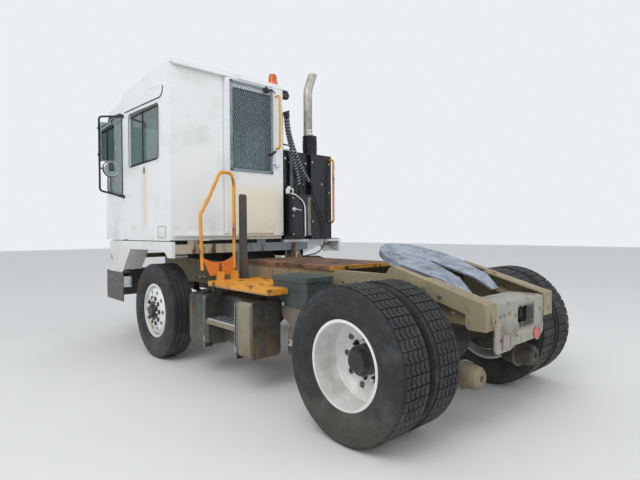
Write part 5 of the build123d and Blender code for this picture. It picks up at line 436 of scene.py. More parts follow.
class Palette:
    """Every finish of the tractor, built once, by the name that the record gives its slot."""

    FINISHES = (
        Finish("frame_paint", "8C8166", "A39672", rust="5B3E2B", rust_range=(0.56, 0.68), edge="9E9378",
               dirt="4E463C", dirt_top=1.0, rough=(0.5, 0.8), bump=0.2,
               patches=(Patch((0.3, 0.45, 1.05), (0.7, 1.23, 1.31), "B3AA96"),
                        Patch((0.3, -0.65, 1.05), (0.7, 0.45, 1.31), "7B868C"))),
        Finish("deck_steel", "5E4537", "8A6242", blotch_range=(0.42, 0.6), blotch_scale=5.0, rust="3A2A22",
               rust_range=(0.5, 0.62), rust_stretch=(1, 1, 1), edge="9A8672", rough=(0.6, 0.85), bump=0.3,
               dirt_top=1.6, dirt_amount=0.35, tread_pitch=0.034,
               patches=(Patch((-1.145, -0.6, 1.0), (-1.07, 0.6, 1.2), "C48A2C"),)),
        Finish("tail_steel", "9C9A90", "74726A", rust="6B4A35", rust_range=(0.55, 0.66), edge="C2C0B6",
               dirt="4A4640", rough=(0.45, 0.75), bump=0.25,
               patches=(Patch((-2.8, -0.24, 0.66), (-2.4, 0.06, 0.872), "2E2C2A", 0.05),)),
        Moulded("lamp_lens", "D0101A", "A80C14", rust_range=(0.9, 1.0), dirt_amount=0.2, rough=(0.12, 0.3),
                coat=0.6, bump=0.02, patches=(Patch((-2.7, 0.1, 0.5), (-2.4, 0.4, 0.8), "8F7A74"),)),
        Finish("bumper_steel", "56524F", "6B6764", blotch_scale=6.0, rust="6A4630", rust_range=(0.6, 0.7),
               edge="8E8C88", rough=(0.4, 0.65), metallic=0.1, bump=0.2),
        Finish("axle_iron", "2C2A28", "45413A", blotch_range=(0.4, 0.6), rust="5A4130",
               rust_range=(0.55, 0.68), edge="4C4740", dirt="6A6257", dirt_amount=0.9, rough=(0.6, 0.9),
               bump=0.4, patches=(Patch((-2.6, 0.3, 0.25), (-2.2, 0.56, 0.52), "867A66"),)),
        Finish("spring_steel", "2B2928", "4A3B30", rust="60432F", rust_range=(0.5, 0.65), edge="5A5048",
               rough=(0.6, 0.85), bump=0.3),
        Finish("tank_steel", "2E3335", "4A4A44", blotch_range=(0.45, 0.65), blotch_stretch=(1, 1, 0.3),
               rust="7A5234", rust_range=(0.55, 0.68), rust_stretch=(1, 1, 0.3), edge="7B7872", dirt="77705F",
               dirt_top=1.1, dirt_base=0.1, dirt_amount=0.5, rough=(0.35, 0.65), metallic=0.2, bump=0.12,
               patches=(Patch((-0.85, 1.12, 0.3), (-0.6, 1.2, 0.86), "8E866E"),
                        Patch((-0.61, 1.12, 0.3), (-0.08, 1.2, 0.56), "8E866E"))),
        Finish("yellow_paint", "E09A2C", "CB8722", rust="5A3A28", rust_range=(0.57, 0.65), edge="6A5240",
               edge_amount=0.9, dirt_amount=0.5, rough=(0.4, 0.65), bump=0.14,
               patches=(Patch((-0.02, 0.6, 0.9055), (0.079, 0.68, 1.9), "3E4143"),
                        Patch((0.1, 0.69, 0.945), (0.1135, 1.1, 1.17), "D9772A"))),
        Finish("green_paint", "3C4849", "4B5652", blotch_range=(0.42, 0.6), rust="5B4636",
               rust_range=(0.6, 0.7), edge="7A8078", rough=(0.35, 0.6), bump=0.16,
               patches=(Patch((-1.25, 0.45, 0.455), (-0.69, 0.9, 0.738), "82786E"),
                        Patch((-0.96, 0.6, 0.392), (-0.8, 0.9, 0.45), "CFCCC0"),
                        Patch((-0.92, 0.6, 0.4), (-0.84, 0.9, 0.446), "7C6A50", 0.01))),
        Finish("engine_iron", "343536", "4C463F", rust_range=(0.6, 0.75), edge="5A5A58", rough=(0.5, 0.8),
               bump=0.4),
        Finish("black_paint", "10151C", "1A212A", rust_range=(0.7, 0.78), edge="4C5257", edge_amount=0.4,
               rough=(0.22, 0.42), bump=0.1, dirt_top=1.7, dirt_amount=0.3),
        Finish("white_paint", "E6E8E8", "D6D8D6", blotch_scale=1.6, rust="7A5136", rust_range=(0.74, 0.775),
               rust_stretch=(1, 1, 0.25), edge="A39A8C", edge_amount=0.35, edge_radius=0.004, dirt="B7B0A0",
               dirt_top=1.9, dirt_base=0.7, dirt_amount=0.35, rough=(0.28, 0.5), coat=0.15, bump=0.06,
               grain_coarse=5.0, patches=(Patch((0.34, -0.125, 2.36), (0.4415, -0.06, 3.04), "E0A02A"),
                                          Patch((-0.2, -0.32, 1.0), (1.1, 0.66, 2.05), "E9E2CC", 0.28),
                                          Patch((1.02, 0.9, 1.36), (1.34, 1.54, 2.16), "DCCDB0", 0.22),
                                          Patch((1.14, 1.1, 2.045), (1.23, 1.34, 2.15), "5E3622", 0.035),
                                          Patch((1.9, 0.7, 0.7), (2.3, 1.211, 1.29), "8E8474"))),
        Finish("stainless", "B5B0A6", "8C8377", blotch_range=(0.4, 0.62), rust="6E5B48",
               rust_range=(0.62, 0.8), edge="D8D6D0", edge_amount=0.3, rough=(0.35, 0.6), metallic=0.55,
               bump=0.05, patches=(Patch((0.4, -0.85, 2.38), (0.7, -0.6, 2.6415), "1E2023"),)),
        Finish("tyre", "26282A", "35383A", blotch_scale=6.0, rust="4B463F", rust_range=(0.62, 0.8),
               rust_stretch=(1, 1, 1), edge="3E4042", edge_amount=0.5, dirt="5B564C", dirt_top=0.9,
               dirt_base=-0.3, dirt_amount=0.5, rough=(0.6, 0.85), bump=0.25, grain_fine=420.0),
        Finish("rim_white", "E8E9E7", "D4D3CC", rust="74523B", rust_range=(0.68, 0.76),
               rust_stretch=(1, 1, 1), edge="9C948A", edge_amount=0.4, dirt="A39A88", dirt_top=1.0,
               dirt_base=-0.3, dirt_amount=0.35, rough=(0.25, 0.45), bump=0.08,
               patches=(Patch((0.87, 1.2125, 0.4), (1.09, 1.35, 0.64), "242628"),
                        Patch((0.87, -1.35, 0.4), (1.09, -1.2125, 0.64), "242628"),
                        Patch((-2.08, 0.9285, 0.4), (-1.84, 1.15, 0.64), "26282A"),
                        Patch((-2.08, -1.15, 0.4), (-1.84, -0.9285, 0.64), "26282A"))),
        Moulded("chrome_rod", "C9CCCE", "AEB2B4", dirt_amount=0.3, rough=(0.08, 0.2), metallic=1.0,
                bump=0.01),
        Finish("worn_steel", "98A3B2", "7C8796", blotch_range=(0.4, 0.6), blotch_scale=7.0, rust="6B5646",
               rust_range=(0.58, 0.7), rust_stretch=(1, 1, 1), edge="C4C8CA", edge_amount=0.8,
               rough=(0.25, 0.5), metallic=0.55, bump=0.14, dirt_amount=0.2),
        Moulded("dash_plastic", "303237", "3A3C41", rust_range=(0.9, 1.0), dirt_amount=0.15,
                rough=(0.5, 0.65), bump=0.2, grain_fine=600.0),
        Finish("mirror_black", "1B1C1E", "2A2B2D", rust_range=(0.72, 0.8), edge="77797A", rough=(0.35, 0.55),
               dirt_amount=0.0, bump=0.06),
        Moulded("seat_fabric", "2B2C30", "3A3B40", rust_range=(0.9, 1.0), dirt_amount=0.0, rough=(0.8, 0.95),
                bump=0.5, woven=True),
    )
    PANES = (
        Pane("window_glass", "6E8F8A", alpha=0.72, transmission=0.8),
        Pane("lamp_glass", "DDE3E6", rough=0.05),
        Pane("beacon_lens", "E8721C", rough=0.12, transmission=0.35),
        Pane("mirror_face", "9DA8AC", rough=0.02, transmission=0.0, metallic=1.0),
    )
    EXTRAS = (
        Finish("bolt_steel", "9A9B99", "6F6A62", rust_range=(0.6, 0.72), edge="D0D0CC", rough=(0.3, 0.5),
               metallic=0.8, bump=0.05),
        # Grey for the door guard's wires, lightened to paint in the glint on them.
        Moulded("mesh_grey", "78838A", "59636A", dirt_amount=0.2, rough=(0.3, 0.5), metallic=0.4, bump=0.03),
        # Near-black used as painted shade in the gap under the cab, and on the dark sheets inside the front
        # wheel arches.
        Moulded("arch_black", "101112", "1A1B1B", dirt_amount=0.4, rough=(0.8, 0.95), bump=0.1),
        Finish("hub_black", "232427", "3A3B3C", rust="4D3C30", rust_range=(0.6, 0.74), edge="6C6A66",
               rough=(0.4, 0.7), metallic=0.3, bump=0.15, dirt_amount=0.4),
        Moulded("beacon_orange", "E4601C", "D2561A", rust_range=(0.9, 1.0), dirt_amount=0.1,
                rough=(0.25, 0.4), coat=0.4, bump=0.02),
        Moulded("hose_rubber", "17181A", "232427", dirt_amount=0.3, rough=(0.5, 0.7), bump=0.08),
        Moulded("wrap_grey", "8F949A", "74787D", dirt_amount=0.2, rough=(0.35, 0.5), bump=0.04),
        Moulded("seal_rubber", "1A1B1D", "26272A", dirt_amount=0.3, rough=(0.6, 0.8), bump=0.1),
        Moulded("bright_trim", "C3C7CA", "9FA3A6", rust_range=(0.75, 0.85), dirt_amount=0.15,
                rough=(0.15, 0.35), metallic=0.9, bump=0.03),
        Finish("white_trim", "E2E3E1", "CFCFCA", rust_range=(0.74, 0.78), edge="8E8578", edge_amount=0.4,
               rough=(0.3, 0.5), bump=0.05, dirt_amount=0.25),
        Finish("taupe_paint", "857B70", "6B6157", rust_range=(0.6, 0.7), edge="A49C90", rough=(0.5, 0.75),
               bump=0.15),
    )

    def __init__(self) -> None:
        """Build every material."""
        built = (*self.FINISHES, *self.PANES, *self.EXTRAS)
        self.materials = {finish.name: finish.build() for finish in built}

    def __getitem__(self, name: str) -> bpy.types.Material:
        """The material of that name."""
        return self.materials[name]


PALETTE = Palette()
SLOT_OF_NODE = {part["node"]: part["material_slot"] for part in frame["record"]["subparts"]}


def dress_frame() -> None:
    """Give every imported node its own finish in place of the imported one."""
    for node, obj in frame["nodes"].items():
        obj.data.materials.clear()
        obj.data.materials.append(PALETTE[SLOT_OF_NODE[node]])


class Form:
    """A mesh in the making, in metres, with the shaping steps that the sub-assemblies share."""

    def __init__(self) -> None:
        """Start an empty mesh."""
        self.bm = bmesh.new()

    def finish(self, name: str, material: str, body: str, slot: str,
               crease: float = 32.0) -> bpy.types.Object:
        """Turn the mesh into a piece that rides on a body, and free the bmesh.

        Args:
            name: the piece's name.
            material: name of its finish in the palette.
            body: the body that it rides on.
            slot: the record's material slot; not used.
            crease: angle in degrees past which an edge stays sharp.

        Returns:
            The finished object.
        """
        bm = self.bm
        bmesh.ops.remove_doubles(bm, verts=bm.verts, dist=1e-6)
        bmesh.ops.recalc_face_normals(bm, faces=bm.faces)
        for face in bm.faces:
            face.smooth = True
        for edge in bm.edges:
            edge.smooth = len(edge.link_faces) == 2 and edge.calc_face_angle(0.0) < math.radians(crease)
        mesh = bpy.data.meshes.new(name)
        bm.to_mesh(mesh)
        bm.free()
        mesh.materials.append(PALETTE[material])
        piece = bpy.data.objects.new(name, mesh)
        bpy.context.scene.collection.objects.link(piece)
        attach(piece, body)
        LOG.info("%s: %d faces on %s", name, len(mesh.polygons), body)
        return piece

    def merge(self, other: "Form") -> None:
        """Add another form's mesh to this one and free the other."""
        mesh = bpy.data.meshes.new("joined")
        other.bm.to_mesh(mesh)
        other.bm.free()
        self.bm.from_mesh(mesh)
        bpy.data.meshes.remove(mesh)

    def _bevel(self, geom: list, width: float, segments: int = 2, affect: str = "EDGES") -> None:
        """Round off edges or corners."""
        bmesh.ops.bevel(self.bm, geom=geom, offset=width, segments=segments, profile=0.5, affect=affect,
                        material=-1)

    def block(self, low: Point, high: Point, bevel: float = 0.002, segments: int = 2) -> None:
        """Add a box with bevelled edges.

        Args:
            low: its lowest corner.
            high: its highest corner.
            bevel: width of the bevel.
            segments: how many faces round each edge.
        """
        low, high = Vector(low), Vector(high)
        size = Matrix.Diagonal((*(high - low), 1))
        made = bmesh.ops.create_cube(self.bm, size=1.0, matrix=Matrix.Translation((low + high) / 2) @ size)
        self._bevel(list({e for v in made["verts"] for e in v.link_edges}), bevel, segments)

    @staticmethod
    def along(start: Vector, end: Vector) -> Matrix:
        """A frame at the middle of two points whose z runs from the first to the second."""
        run = end - start
        return Matrix.Translation((start + end) / 2) @ run.to_track_quat("Z", "Y").to_matrix().to_4x4()

    def rod(self, start: Point, end: Point, radius: float, end_radius: float | None = None,
            segments: int = 24, bevel: float = 0.0) -> None:
        """Add a round, tapered or, with six segments, hexagonal bar between two points.

        Args:
            start: middle of its first end.
            end: middle of its other end.
            radius: its radius at the start.
            end_radius: its radius at the end, where that differs.
            segments: faces round the bar.
            bevel: width of the bevel round both ends.
        """
        start, end = Vector(start), Vector(end)
        made = bmesh.ops.create_cone(
            self.bm, cap_ends=True, segments=segments, radius1=radius,
            radius2=radius if end_radius is None else end_radius, depth=(end - start).length,
            matrix=self.along(start, end))
        if bevel:
            edges = {e for v in made["verts"] for e in v.link_edges}
            self._bevel([e for e in edges if any(len(f.verts) > 4 for f in e.link_faces)], bevel)

    def bolt(self, seat: Point, axis: Vector, size: float) -> None:
        """Add a hexagon head on its washer.

        Args:
            seat: where the washer rests.
            axis: direction that the head stands up in.
            size: half the head's width across its corners.
        """
        seat = Vector(seat)
        self.rod(seat - axis * size * 0.2, seat + axis * size * 0.22, size * 1.35, segments=16)
        self.rod(seat + axis * size * 0.2, seat + axis * size * 0.95, size, size * 0.93, segments=6)

    def rivet(self, seat: Point, axis: Vector, radius: float) -> None:
        """Add a low domed rivet head."""
        turn = axis.to_track_quat("Z", "Y").to_matrix().to_4x4()
        dome = Matrix.Translation(Vector(seat)) @ turn @ Matrix.Diagonal((1, 1, 0.5, 1))
        bmesh.ops.create_icosphere(self.bm, subdivisions=1, radius=radius, matrix=dome)

    def turned(self, origin: Point, axis: Vector, profile: tuple, steps: int = 32) -> None:
        """Spin a profile round an axis.

        Args:
            origin: where the profile's heights start.
            axis: the direction in which they grow.
            profile: radius and height of each point; it starts and ends on the axis, or where it started.
            steps: faces round the form.
        """
        before = set(self.bm.verts)
        turn = axis.to_track_quat("Z", "Y").to_matrix()
        verts = [self.bm.verts.new(Vector(origin) + turn @ Vector((out, 0, up))) for out, up in profile]
        edges = [self.bm.edges.new(pair) for pair in zip(verts, verts[1:])]
        bmesh.ops.spin(self.bm, geom=edges, cent=origin, axis=axis, angle=math.tau, steps=steps,
                       use_merge=True, dvec=(0, 0, 0))
        bmesh.ops.remove_doubles(self.bm, verts=[v for v in self.bm.verts if v not in before], dist=1e-5)

    def bent_tube(self, points: list[Point], radius: float, corner: float = 0.04, sides: int = 12) -> None:
        """Add a round tube along straight runs with rounded corners.

        Args:
            points: the corners of its centre line.
            radius: the tube's radius.
            corner: how far from a corner its bend starts.
            sides: faces round the tube.
        """
        line = bpy.data.curves.new("run", "CURVE")
        line.dimensions = "3D"
        line.bevel_depth = radius
        line.bevel_resolution = max(1, sides // 4 - 1)
        line.use_fill_caps = True
        spline = line.splines.new("BEZIER")
        corners = [Vector(p) for p in points]
        stops = [(corners[0], None)]
        for before, here, after in zip(corners, corners[1:], corners[2:]):
            reach = min(corner, 0.45 * (before - here).length, 0.45 * (after - here).length)
            stops.append((here + (before - here).normalized() * reach, here))
            stops.append((here + (after - here).normalized() * reach, here))
        stops.append((corners[-1], None))
        spline.bezier_points.add(len(stops) - 1)
        for index, (spot, knee) in enumerate(stops):
            point = spline.bezier_points[index]
            point.co = spot
            point.handle_left = point.handle_right = spot
            if knee is not None:
                pull = spot.lerp(knee, 0.55)
                if index % 2:
                    point.handle_right = pull
                else:
                    point.handle_left = pull
        spline.resolution_u = 6
        holder = bpy.data.objects.new("run", line)
        made = bpy.data.meshes.new_from_object(holder)
        self.bm.from_mesh(made)
        bpy.data.objects.remove(holder)
        bpy.data.curves.remove(line)
        bpy.data.meshes.remove(made)

    def thicken(self, faces: list, push: Vector) -> None:
        """Give flat faces a depth."""
        raised = bmesh.ops.extrude_face_region(self.bm, geom=faces, use_keep_orig=True)
        moved = [g for g in raised["geom"] if isinstance(g, bmesh.types.BMVert)]
        bmesh.ops.translate(self.bm, verts=moved, vec=push)

    def slab(self, corners: list[Point], push: Vector) -> None:
        """Add a flat outline and give it a depth."""
        self.thicken([self.bm.faces.new([self.bm.verts.new(c) for c in corners])], push)

    def rounded_face(self, corners: list[Point], radius: float) -> bmesh.types.BMFace:
        """Add a flat face with rounded corners and return it."""
        verts = [self.bm.verts.new(c) for c in corners]
        self.bm.faces.new(verts)
        self._bevel(verts, radius, 5, "VERTICES")
        return next(f for f in self.bm.faces
                    if f.is_valid and len(f.verts) > 4 and all(len(v.link_faces) == 1 for v in f.verts))

    @classmethod
    def seal(cls, corners: list[Point], outward: Vector, width: float, height: float, radius: float,
             inward: bool = False) -> "Form":
        """A raised ring round a window.

        Args:
            corners: the window's corners on its wall, in order.
            outward: direction that the ring stands up in.
            width: the ring's width.
            height: how far it stands out of the wall.
            radius: the window's corner radius.
            inward: whether the ring lies inside the corners.

        Returns:
            A new form that holds the ring.
        """
        form = cls()
        grow = 0.0 if inward else width
        spots = []
        for index, corner in enumerate(corners):
            here = Vector(corner)
            after = (Vector(corners[(index + 1) % len(corners)]) - here).normalized()
            before = (Vector(corners[index - 1]) - here).normalized()
            spots.append(here - (after + before) * grow)
        face = form.rounded_face(spots, radius + grow)
        if face.normal.dot(outward) < 0:
            face.normal_flip()
        bmesh.ops.inset_region(
            form.bm, faces=[face], thickness=width, use_boundary=True, use_even_offset=True)
        bmesh.ops.delete(form.bm, geom=[face], context="FACES")
        form.thicken(list(form.bm.faces), outward * height)
        bmesh.ops.translate(form.bm, verts=form.bm.verts, vec=outward * -SINK)
        return form


class Tread(Enum):
    """How a tyre's tread is cut."""
    RIB = "rib"
    TRACTION = "traction"


@dataclass
class Tyre:
    """One tyre with bulging walls, moulded rings and a cut tread, turned about its axle."""
    axle_x: float
    centre_y: float
    tread: Tread
    radius: float = 0.5195
    bead_radius: float = 0.2865
    bead_half: float = 0.0925
    tread_half: float = 0.112
    groove_depth: float = 0.013
    pitches: int = 46
    zigzag: float = 0.0095
    groove_half: float = 0.0046

    def _wall(self) -> list[Pair]:
        """Half of the side wall, from the bead to the shoulder, as offset against radius."""
        rings = ((0.0, 0.0), (0.012, 0.01), (0.022, 0.03), (0.034, 0.045), (0.0335, 0.049), (0.0375, 0.055),
                 (0.046, 0.09), (0.047, 0.115), (0.045, 0.14), (0.0465, 0.146), (0.0445, 0.152),
                 (0.041, 0.172), (0.0435, 0.175), (0.0395, 0.196), (0.034, 0.212))
        return [(self.bead_half + out, self.bead_radius + up) for out, up in rings]

    def _crown(self) -> list[float]:
        """Offsets of the tread's edges, from one shoulder towards the other."""
        if self.tread is Tread.RIB:
            return [self.tread_half, 0.078, 0.07, 0.032, 0.024]
        return [self.tread_half, 0.068, 0.023]

    def build(self, bm: Mesh) -> None:
        """Add the tyre to a mesh."""
        wall, crown = self._wall(), self._crown()
        floor = self.radius - (self.groove_depth if self.tread is Tread.TRACTION else 0.0)
        half = [*wall, *self._crown_points(crown, floor)]
        outline = [*half, *((-out, up) for out, up in reversed(half))]
        verts = [bm.verts.new((self.axle_x, self.centre_y + out, AXLE_Z + up)) for out, up in outline]
        edges = [bm.edges.new((a, b)) for a, b in zip(verts, verts[1:] + verts[:1])]
        before = set(bm.faces)
        bmesh.ops.spin(bm, geom=edges, cent=(self.axle_x, self.centre_y, AXLE_Z), axis=(0, 1, 0),
                       angle=math.tau, steps=2 * self.pitches, use_merge=True, dvec=(0, 0, 0))
        bmesh.ops.remove_doubles(bm, verts=bm.verts, dist=1e-5)
        faces = [f for f in bm.faces if f not in before]
        bmesh.ops.recalc_face_normals(bm, faces=faces)
        if self.tread is Tread.TRACTION:
            self._cut_blocks(bm, faces)

    def _crown_points(self, crown: list[float], floor: float) -> list[Pair]:
        """Points of the tread's half section; a rib tread has its grooves in it."""
        points = [(self.tread_half + 0.006, floor - 0.006), (self.tread_half, floor)]
        if self.tread is Tread.RIB:
            for outer, inner in zip(crown[1::2], crown[2::2]):
                points += [(outer, floor), (outer - 0.0015, floor - self.groove_depth),
                           (inner + 0.0015, floor - self.groove_depth), (inner, floor)]
        else:
            points += [(edge, floor) for edge in crown[1:]]
        return points

    def _spoke(self, spot: Vector) -> Vector:
        """Direction from the axle line out to a point."""
        out = Vector((spot.x - self.axle_x, 0, spot.z - AXLE_Z))
        return out.normalized()

    def _cut_blocks(self, bm: Mesh, faces: list) -> None:
        """Raise the traction blocks out of the groove floor, with zigzag sides between them."""
        floor = self.radius - self.groove_depth
        for vert in {v for f in faces for v in f.verts}:
            spoke = vert.co - Vector((self.axle_x, self.centre_y, AXLE_Z))
            away = abs(spoke.y)
            if abs(math.hypot(spoke.x, spoke.z) - floor) < 1e-4 and away < self.tread_half - 0.01:
                step = round(math.atan2(spoke.x, spoke.z) / (math.tau / (2 * self.pitches)))
                vert.co.y += self.zigzag * (1 if step % 2 else -1)
        tread = [f for f in faces if all(abs(math.hypot(v.co.x - self.axle_x, v.co.z - AXLE_Z) - floor) < 1e-4
                                         for v in f.verts)]
        pairs: dict[tuple[int, int], list] = {}
        for face in tread:
            middle = face.calc_center_median()
            turn = math.atan2(middle.x - self.axle_x, middle.z - AXLE_Z) / (math.tau / (2 * self.pitches))
            column = round((middle.y - self.centre_y) / 0.045)
            pairs.setdefault((math.floor(turn) // 2, column), []).append(face)
        for group in pairs.values():
            bmesh.ops.inset_region(bm, faces=group, thickness=self.groove_half, use_even_offset=True)
            raised = bmesh.ops.extrude_face_region(bm, geom=group)
            for vert in (g for g in raised["geom"] if isinstance(g, bmesh.types.BMVert)):
                vert.co += self._spoke(vert.co) * self.groove_depth
            bmesh.ops.delete(bm, geom=[f for f in group if f.is_valid], context="FACES_ONLY")


@dataclass(frozen=True)
class WheelEnd:
    """Where the nuts and hub screws of one axle's wheels sit, measured out from the middle."""
    word: str
    body: str
    axle_x: float
    nut_y: float
    screw_circle: float
    screw_y: float
    screw_size: float
    screw_finish: str


@dataclass
class RoadWheels:
    """The tyres, and the nuts and hub screws that sit on the rims."""
    stud_circle: float = 0.143
    stud_count: int = 10
    nut_size: float = 0.018
    screw_count: int = 8
    ENDS = (
        WheelEnd("front", "wheel_front", FRONT_AXLE_X, 1.212, 0.087, 1.2235, 0.008, "bolt_steel"),
        WheelEnd("rear", "wheels_rear", REAR_AXLE_X, 0.929, 0.079, 1.04, 0.009, "hub_black"),
    )

    def build(self) -> None:
        """Make every wheel's pieces."""
        for side in Side:
            self._tyres(side)
            for end in self.ENDS:
                self._nuts(side, end)

    @staticmethod
    def _tyres(side: Side) -> None:
        """Make one side's front tyre and its pair of rear tyres."""
        places = (("tyre_front", "wheel_front", FRONT_AXLE_X, (1.099,), Tread.RIB),
                  ("tyres_rear", "wheels_rear", REAR_AXLE_X, (1.082, 0.752), Tread.TRACTION))
        for node, body, axle_x, centres, tread in places:
            form = Form()
            for centre_y in centres:
                Tyre(axle_x, side.value * centre_y, tread).build(form.bm)
            piece = form.finish(f"{node}_{side.word}_rubber", "tyre", f"{body}_{side.word}", "tyre", 28.0)
            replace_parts(piece, f"{node}_{side.word}")

    @staticmethod
    def _bolt_ring(side: Side, spot: tuple[float, float], radius: float, count: int, start: float,
                   size: float) -> Form:
        """Stand bolts in a ring round an axle.

        Args:
            side: the side that the heads face.
            spot: the axle's place along the tractor, and how far out the heads sit.
            radius: radius of the ring.
            count: how many bolts.
            start: angle of the first one in radians.
            size: half a head's width across its corners.

        Returns:
            A new form that holds the bolts.
        """
        form = Form()
        for i in range(count):
            turn = math.tau * i / count + start
            seat = (spot[0] + radius * math.cos(turn), side.value * spot[1], AXLE_Z + radius * math.sin(turn))
            form.bolt(seat, side.out, size)
        return form

    def _nuts(self, side: Side, end: WheelEnd) -> None:
        """The wheel nuts and the smaller screws of the hub on one wheel."""
        nuts = self._bolt_ring(
            side, (end.axle_x, end.nut_y), self.stud_circle, self.stud_count, 0.0, self.nut_size)
        nuts.finish(f"wheel_nuts_{end.word}_{side.word}", "hub_black", f"{end.body}_{side.word}", "rim_white")
        screws = self._bolt_ring(
            side, (end.axle_x, end.screw_y), end.screw_circle, self.screw_count, 0.2, end.screw_size)
        screws.finish(f"hub_screws_{end.word}_{side.word}", end.screw_finish, f"{end.body}_{side.word}",
                      "rim_white")


@dataclass(frozen=True)
class Window:
    """A window opening in one of the cab's walls: its corners on the outer face, in order."""
    name: str
    corners: tuple[Point, ...]
    outward: Point
    radius: float = 0.045
    surround: float = 0.0
    gasket: float = 0.016


def side_corners(outline: tuple[tuple[float, float], ...], y: float) -> tuple[Point, ...]:
    """Stand an outline given as x and z on a wall of constant y."""
    return tuple((x, y, z) for x, z in outline)


@dataclass
class CabSkin:
    """Window seals, drip beads, rivets, wipers and small covers on the cab."""
    wall: float = 0.04
    side_outline: tuple = ((0.777, 2.19), (1.632, 2.18), (1.627, 2.8), (0.772, 2.77))
    corner_outline: tuple = ((1.887, 1.845), (2.422, 1.955), (2.357, 2.89), (1.882, 2.86))
    nose_low: tuple = (2.517, 1.305)
    nose_high: tuple = (2.397, 2.93)
    drip_run: tuple = ((1.76, 2.862), (0.716, 2.828), (0.664, 2.862), (0.654, 2.932))
    crease_run: tuple = ((1.056, 2.978), (0.682, 2.95))
    bead_radius: float = 0.006
    rivet_radius: float = 0.006

    def build(self) -> None:
        """Make every piece of the skin."""
        for window in self._windows():
            self._seal(window)
        for side in Side:
            self._sliding_bar(side)
            self._beads(side)
        self._rivets()
        self._wipers()
        self._hatch()

    def _nose_point(self, y: float, z: float, out: float = 0.0) -> Point:
        """A point on the sloping nose at that side place and height."""
        (low_x, low_z), (high_x, high_z) = self.nose_low, self.nose_high
        return (low_x + (high_x - low_x) * (z - low_z) / (high_z - low_z) + out, y, z)

    def _windows(self) -> list[Window]:
        """Every window of the cab."""
        windows = []
        for side, y in ((Side.LEFT, CAB_LEFT_Y), (Side.RIGHT, CAB_RIGHT_Y)):
            out = (0.0, float(side.value), 0.0)
            windows.append(Window(f"side_window_{side.word}", side_corners(self.side_outline, y), out,
                                  surround=0.034, gasket=0.012))
            windows.append(Window(f"corner_window_{side.word}", side_corners(self.corner_outline, y), out,
                                  gasket=0.022))
        left, right = CAB_LEFT_Y - 0.075, CAB_RIGHT_Y + 0.075
        shield = ((left, 1.93), (right, 1.93), (right, 2.86), (left, 2.86))
        out = Vector((self.nose_high[1] - self.nose_low[1], 0,
                      self.nose_low[0] - self.nose_high[0])).normalized()
        windows.append(Window("windshield", tuple(self._nose_point(y, z) for y, z in shield), tuple(out),
                              radius=0.06, gasket=0.024))
        return windows

    def _seal(self, window: Window) -> None:
        """Put a gasket on both faces of the wall, and a painted surround outside where it has one."""
        out = Vector(window.outward)
        gasket = Form.seal(list(window.corners), out, window.gasket, 0.007, window.radius)
        inner = [tuple(Vector(c) - out * self.wall) for c in window.corners]
        gasket.merge(Form.seal(inner, -out, window.gasket, 0.005, window.radius))
        gasket.finish(f"{window.name}_gasket", "seal_rubber", "cab", "window_glass", 40.0)
        if window.surround:
            band = Form.seal(list(window.corners), out, window.surround, 0.0045, window.radius)
            band.finish(f"{window.name}_surround", "white_trim", "cab", "white_paint", 40.0)

    def _sliding_bar(self, side: Side) -> None:
        """The upright edge and the low channel of the sliding pane."""
        wall_y = side.wall_y
        y = wall_y - side.value * (self.wall / 2 + 0.003)
        near, far = sorted((y, y + side.value * 0.012))
        form = Form()
        form.block((1.246, near, 2.186), (1.262, far, 2.785), 0.003)
        form.block((0.792, near, 2.186), (1.625, far, 2.204), 0.003)
        form.block((0.792, near, 2.762), (1.625, far, 2.776), 0.003)
        form.finish(f"side_window_slide_{side.word}", "seal_rubber", "cab", "window_glass")

    def _beads(self, side: Side) -> None:
        """The drip rail over the side window and the pressed crease above it."""
        wall_y = side.wall_y
        y = wall_y + side.value * 0.002
        form = Form()
        form.bent_tube([(x, y, z) for x, z in self.drip_run], self.bead_radius, 0.06)
        form.finish(f"drip_rail_{side.word}", "seal_rubber", "cab", "white_paint", 60.0)
        form = Form()
        form.bent_tube([(x, wall_y - side.value * 0.001, z) for x, z in self.crease_run], 0.005, 0.02, 8)
        for x in (0.58, 0.612):
            form.rivet((x, wall_y, 2.925), side.out, 0.008)
        form.finish(f"crease_{side.word}", "white_trim", "cab", "white_paint", 60.0)

    def _rivets(self) -> None:
        """Rows of rivets under the roof, down the rear corners and along the floor line."""
        roof_run = ((0.53, 3.075), (1.837, 3.012), (1.907, 2.93), (2.38, 2.884))
        form = Form()
        for side, wall_y in ((Side.LEFT, CAB_LEFT_Y), (Side.RIGHT, CAB_RIGHT_Y)):
            out = side.out
            for (x0, z0), (x1, z1) in zip(roof_run, roof_run[1:]):
                count = max(1, round(math.hypot(x1 - x0, z1 - z0) / 0.065))
                for i in range(count):
                    share = i / count
                    form.rivet((x0 + (x1 - x0) * share, wall_y, z0 + (z1 - z0) * share), out,
                               self.rivet_radius)
            for i in range(26):
                form.rivet((0.522, wall_y, 1.345 + i * 0.066), out, self.rivet_radius)
            for i in range(28):
                form.rivet((0.56 + i * 0.07, wall_y, 1.322), out, self.rivet_radius)
        for y in (0.66, 1.195):
            for i in range(26):
                form.rivet((CAB_REAR_X, y, 1.345 + i * 0.066), BACK, self.rivet_radius)
        form.finish("cab_rivets", "white_trim", "cab", "white_paint", 60.0)

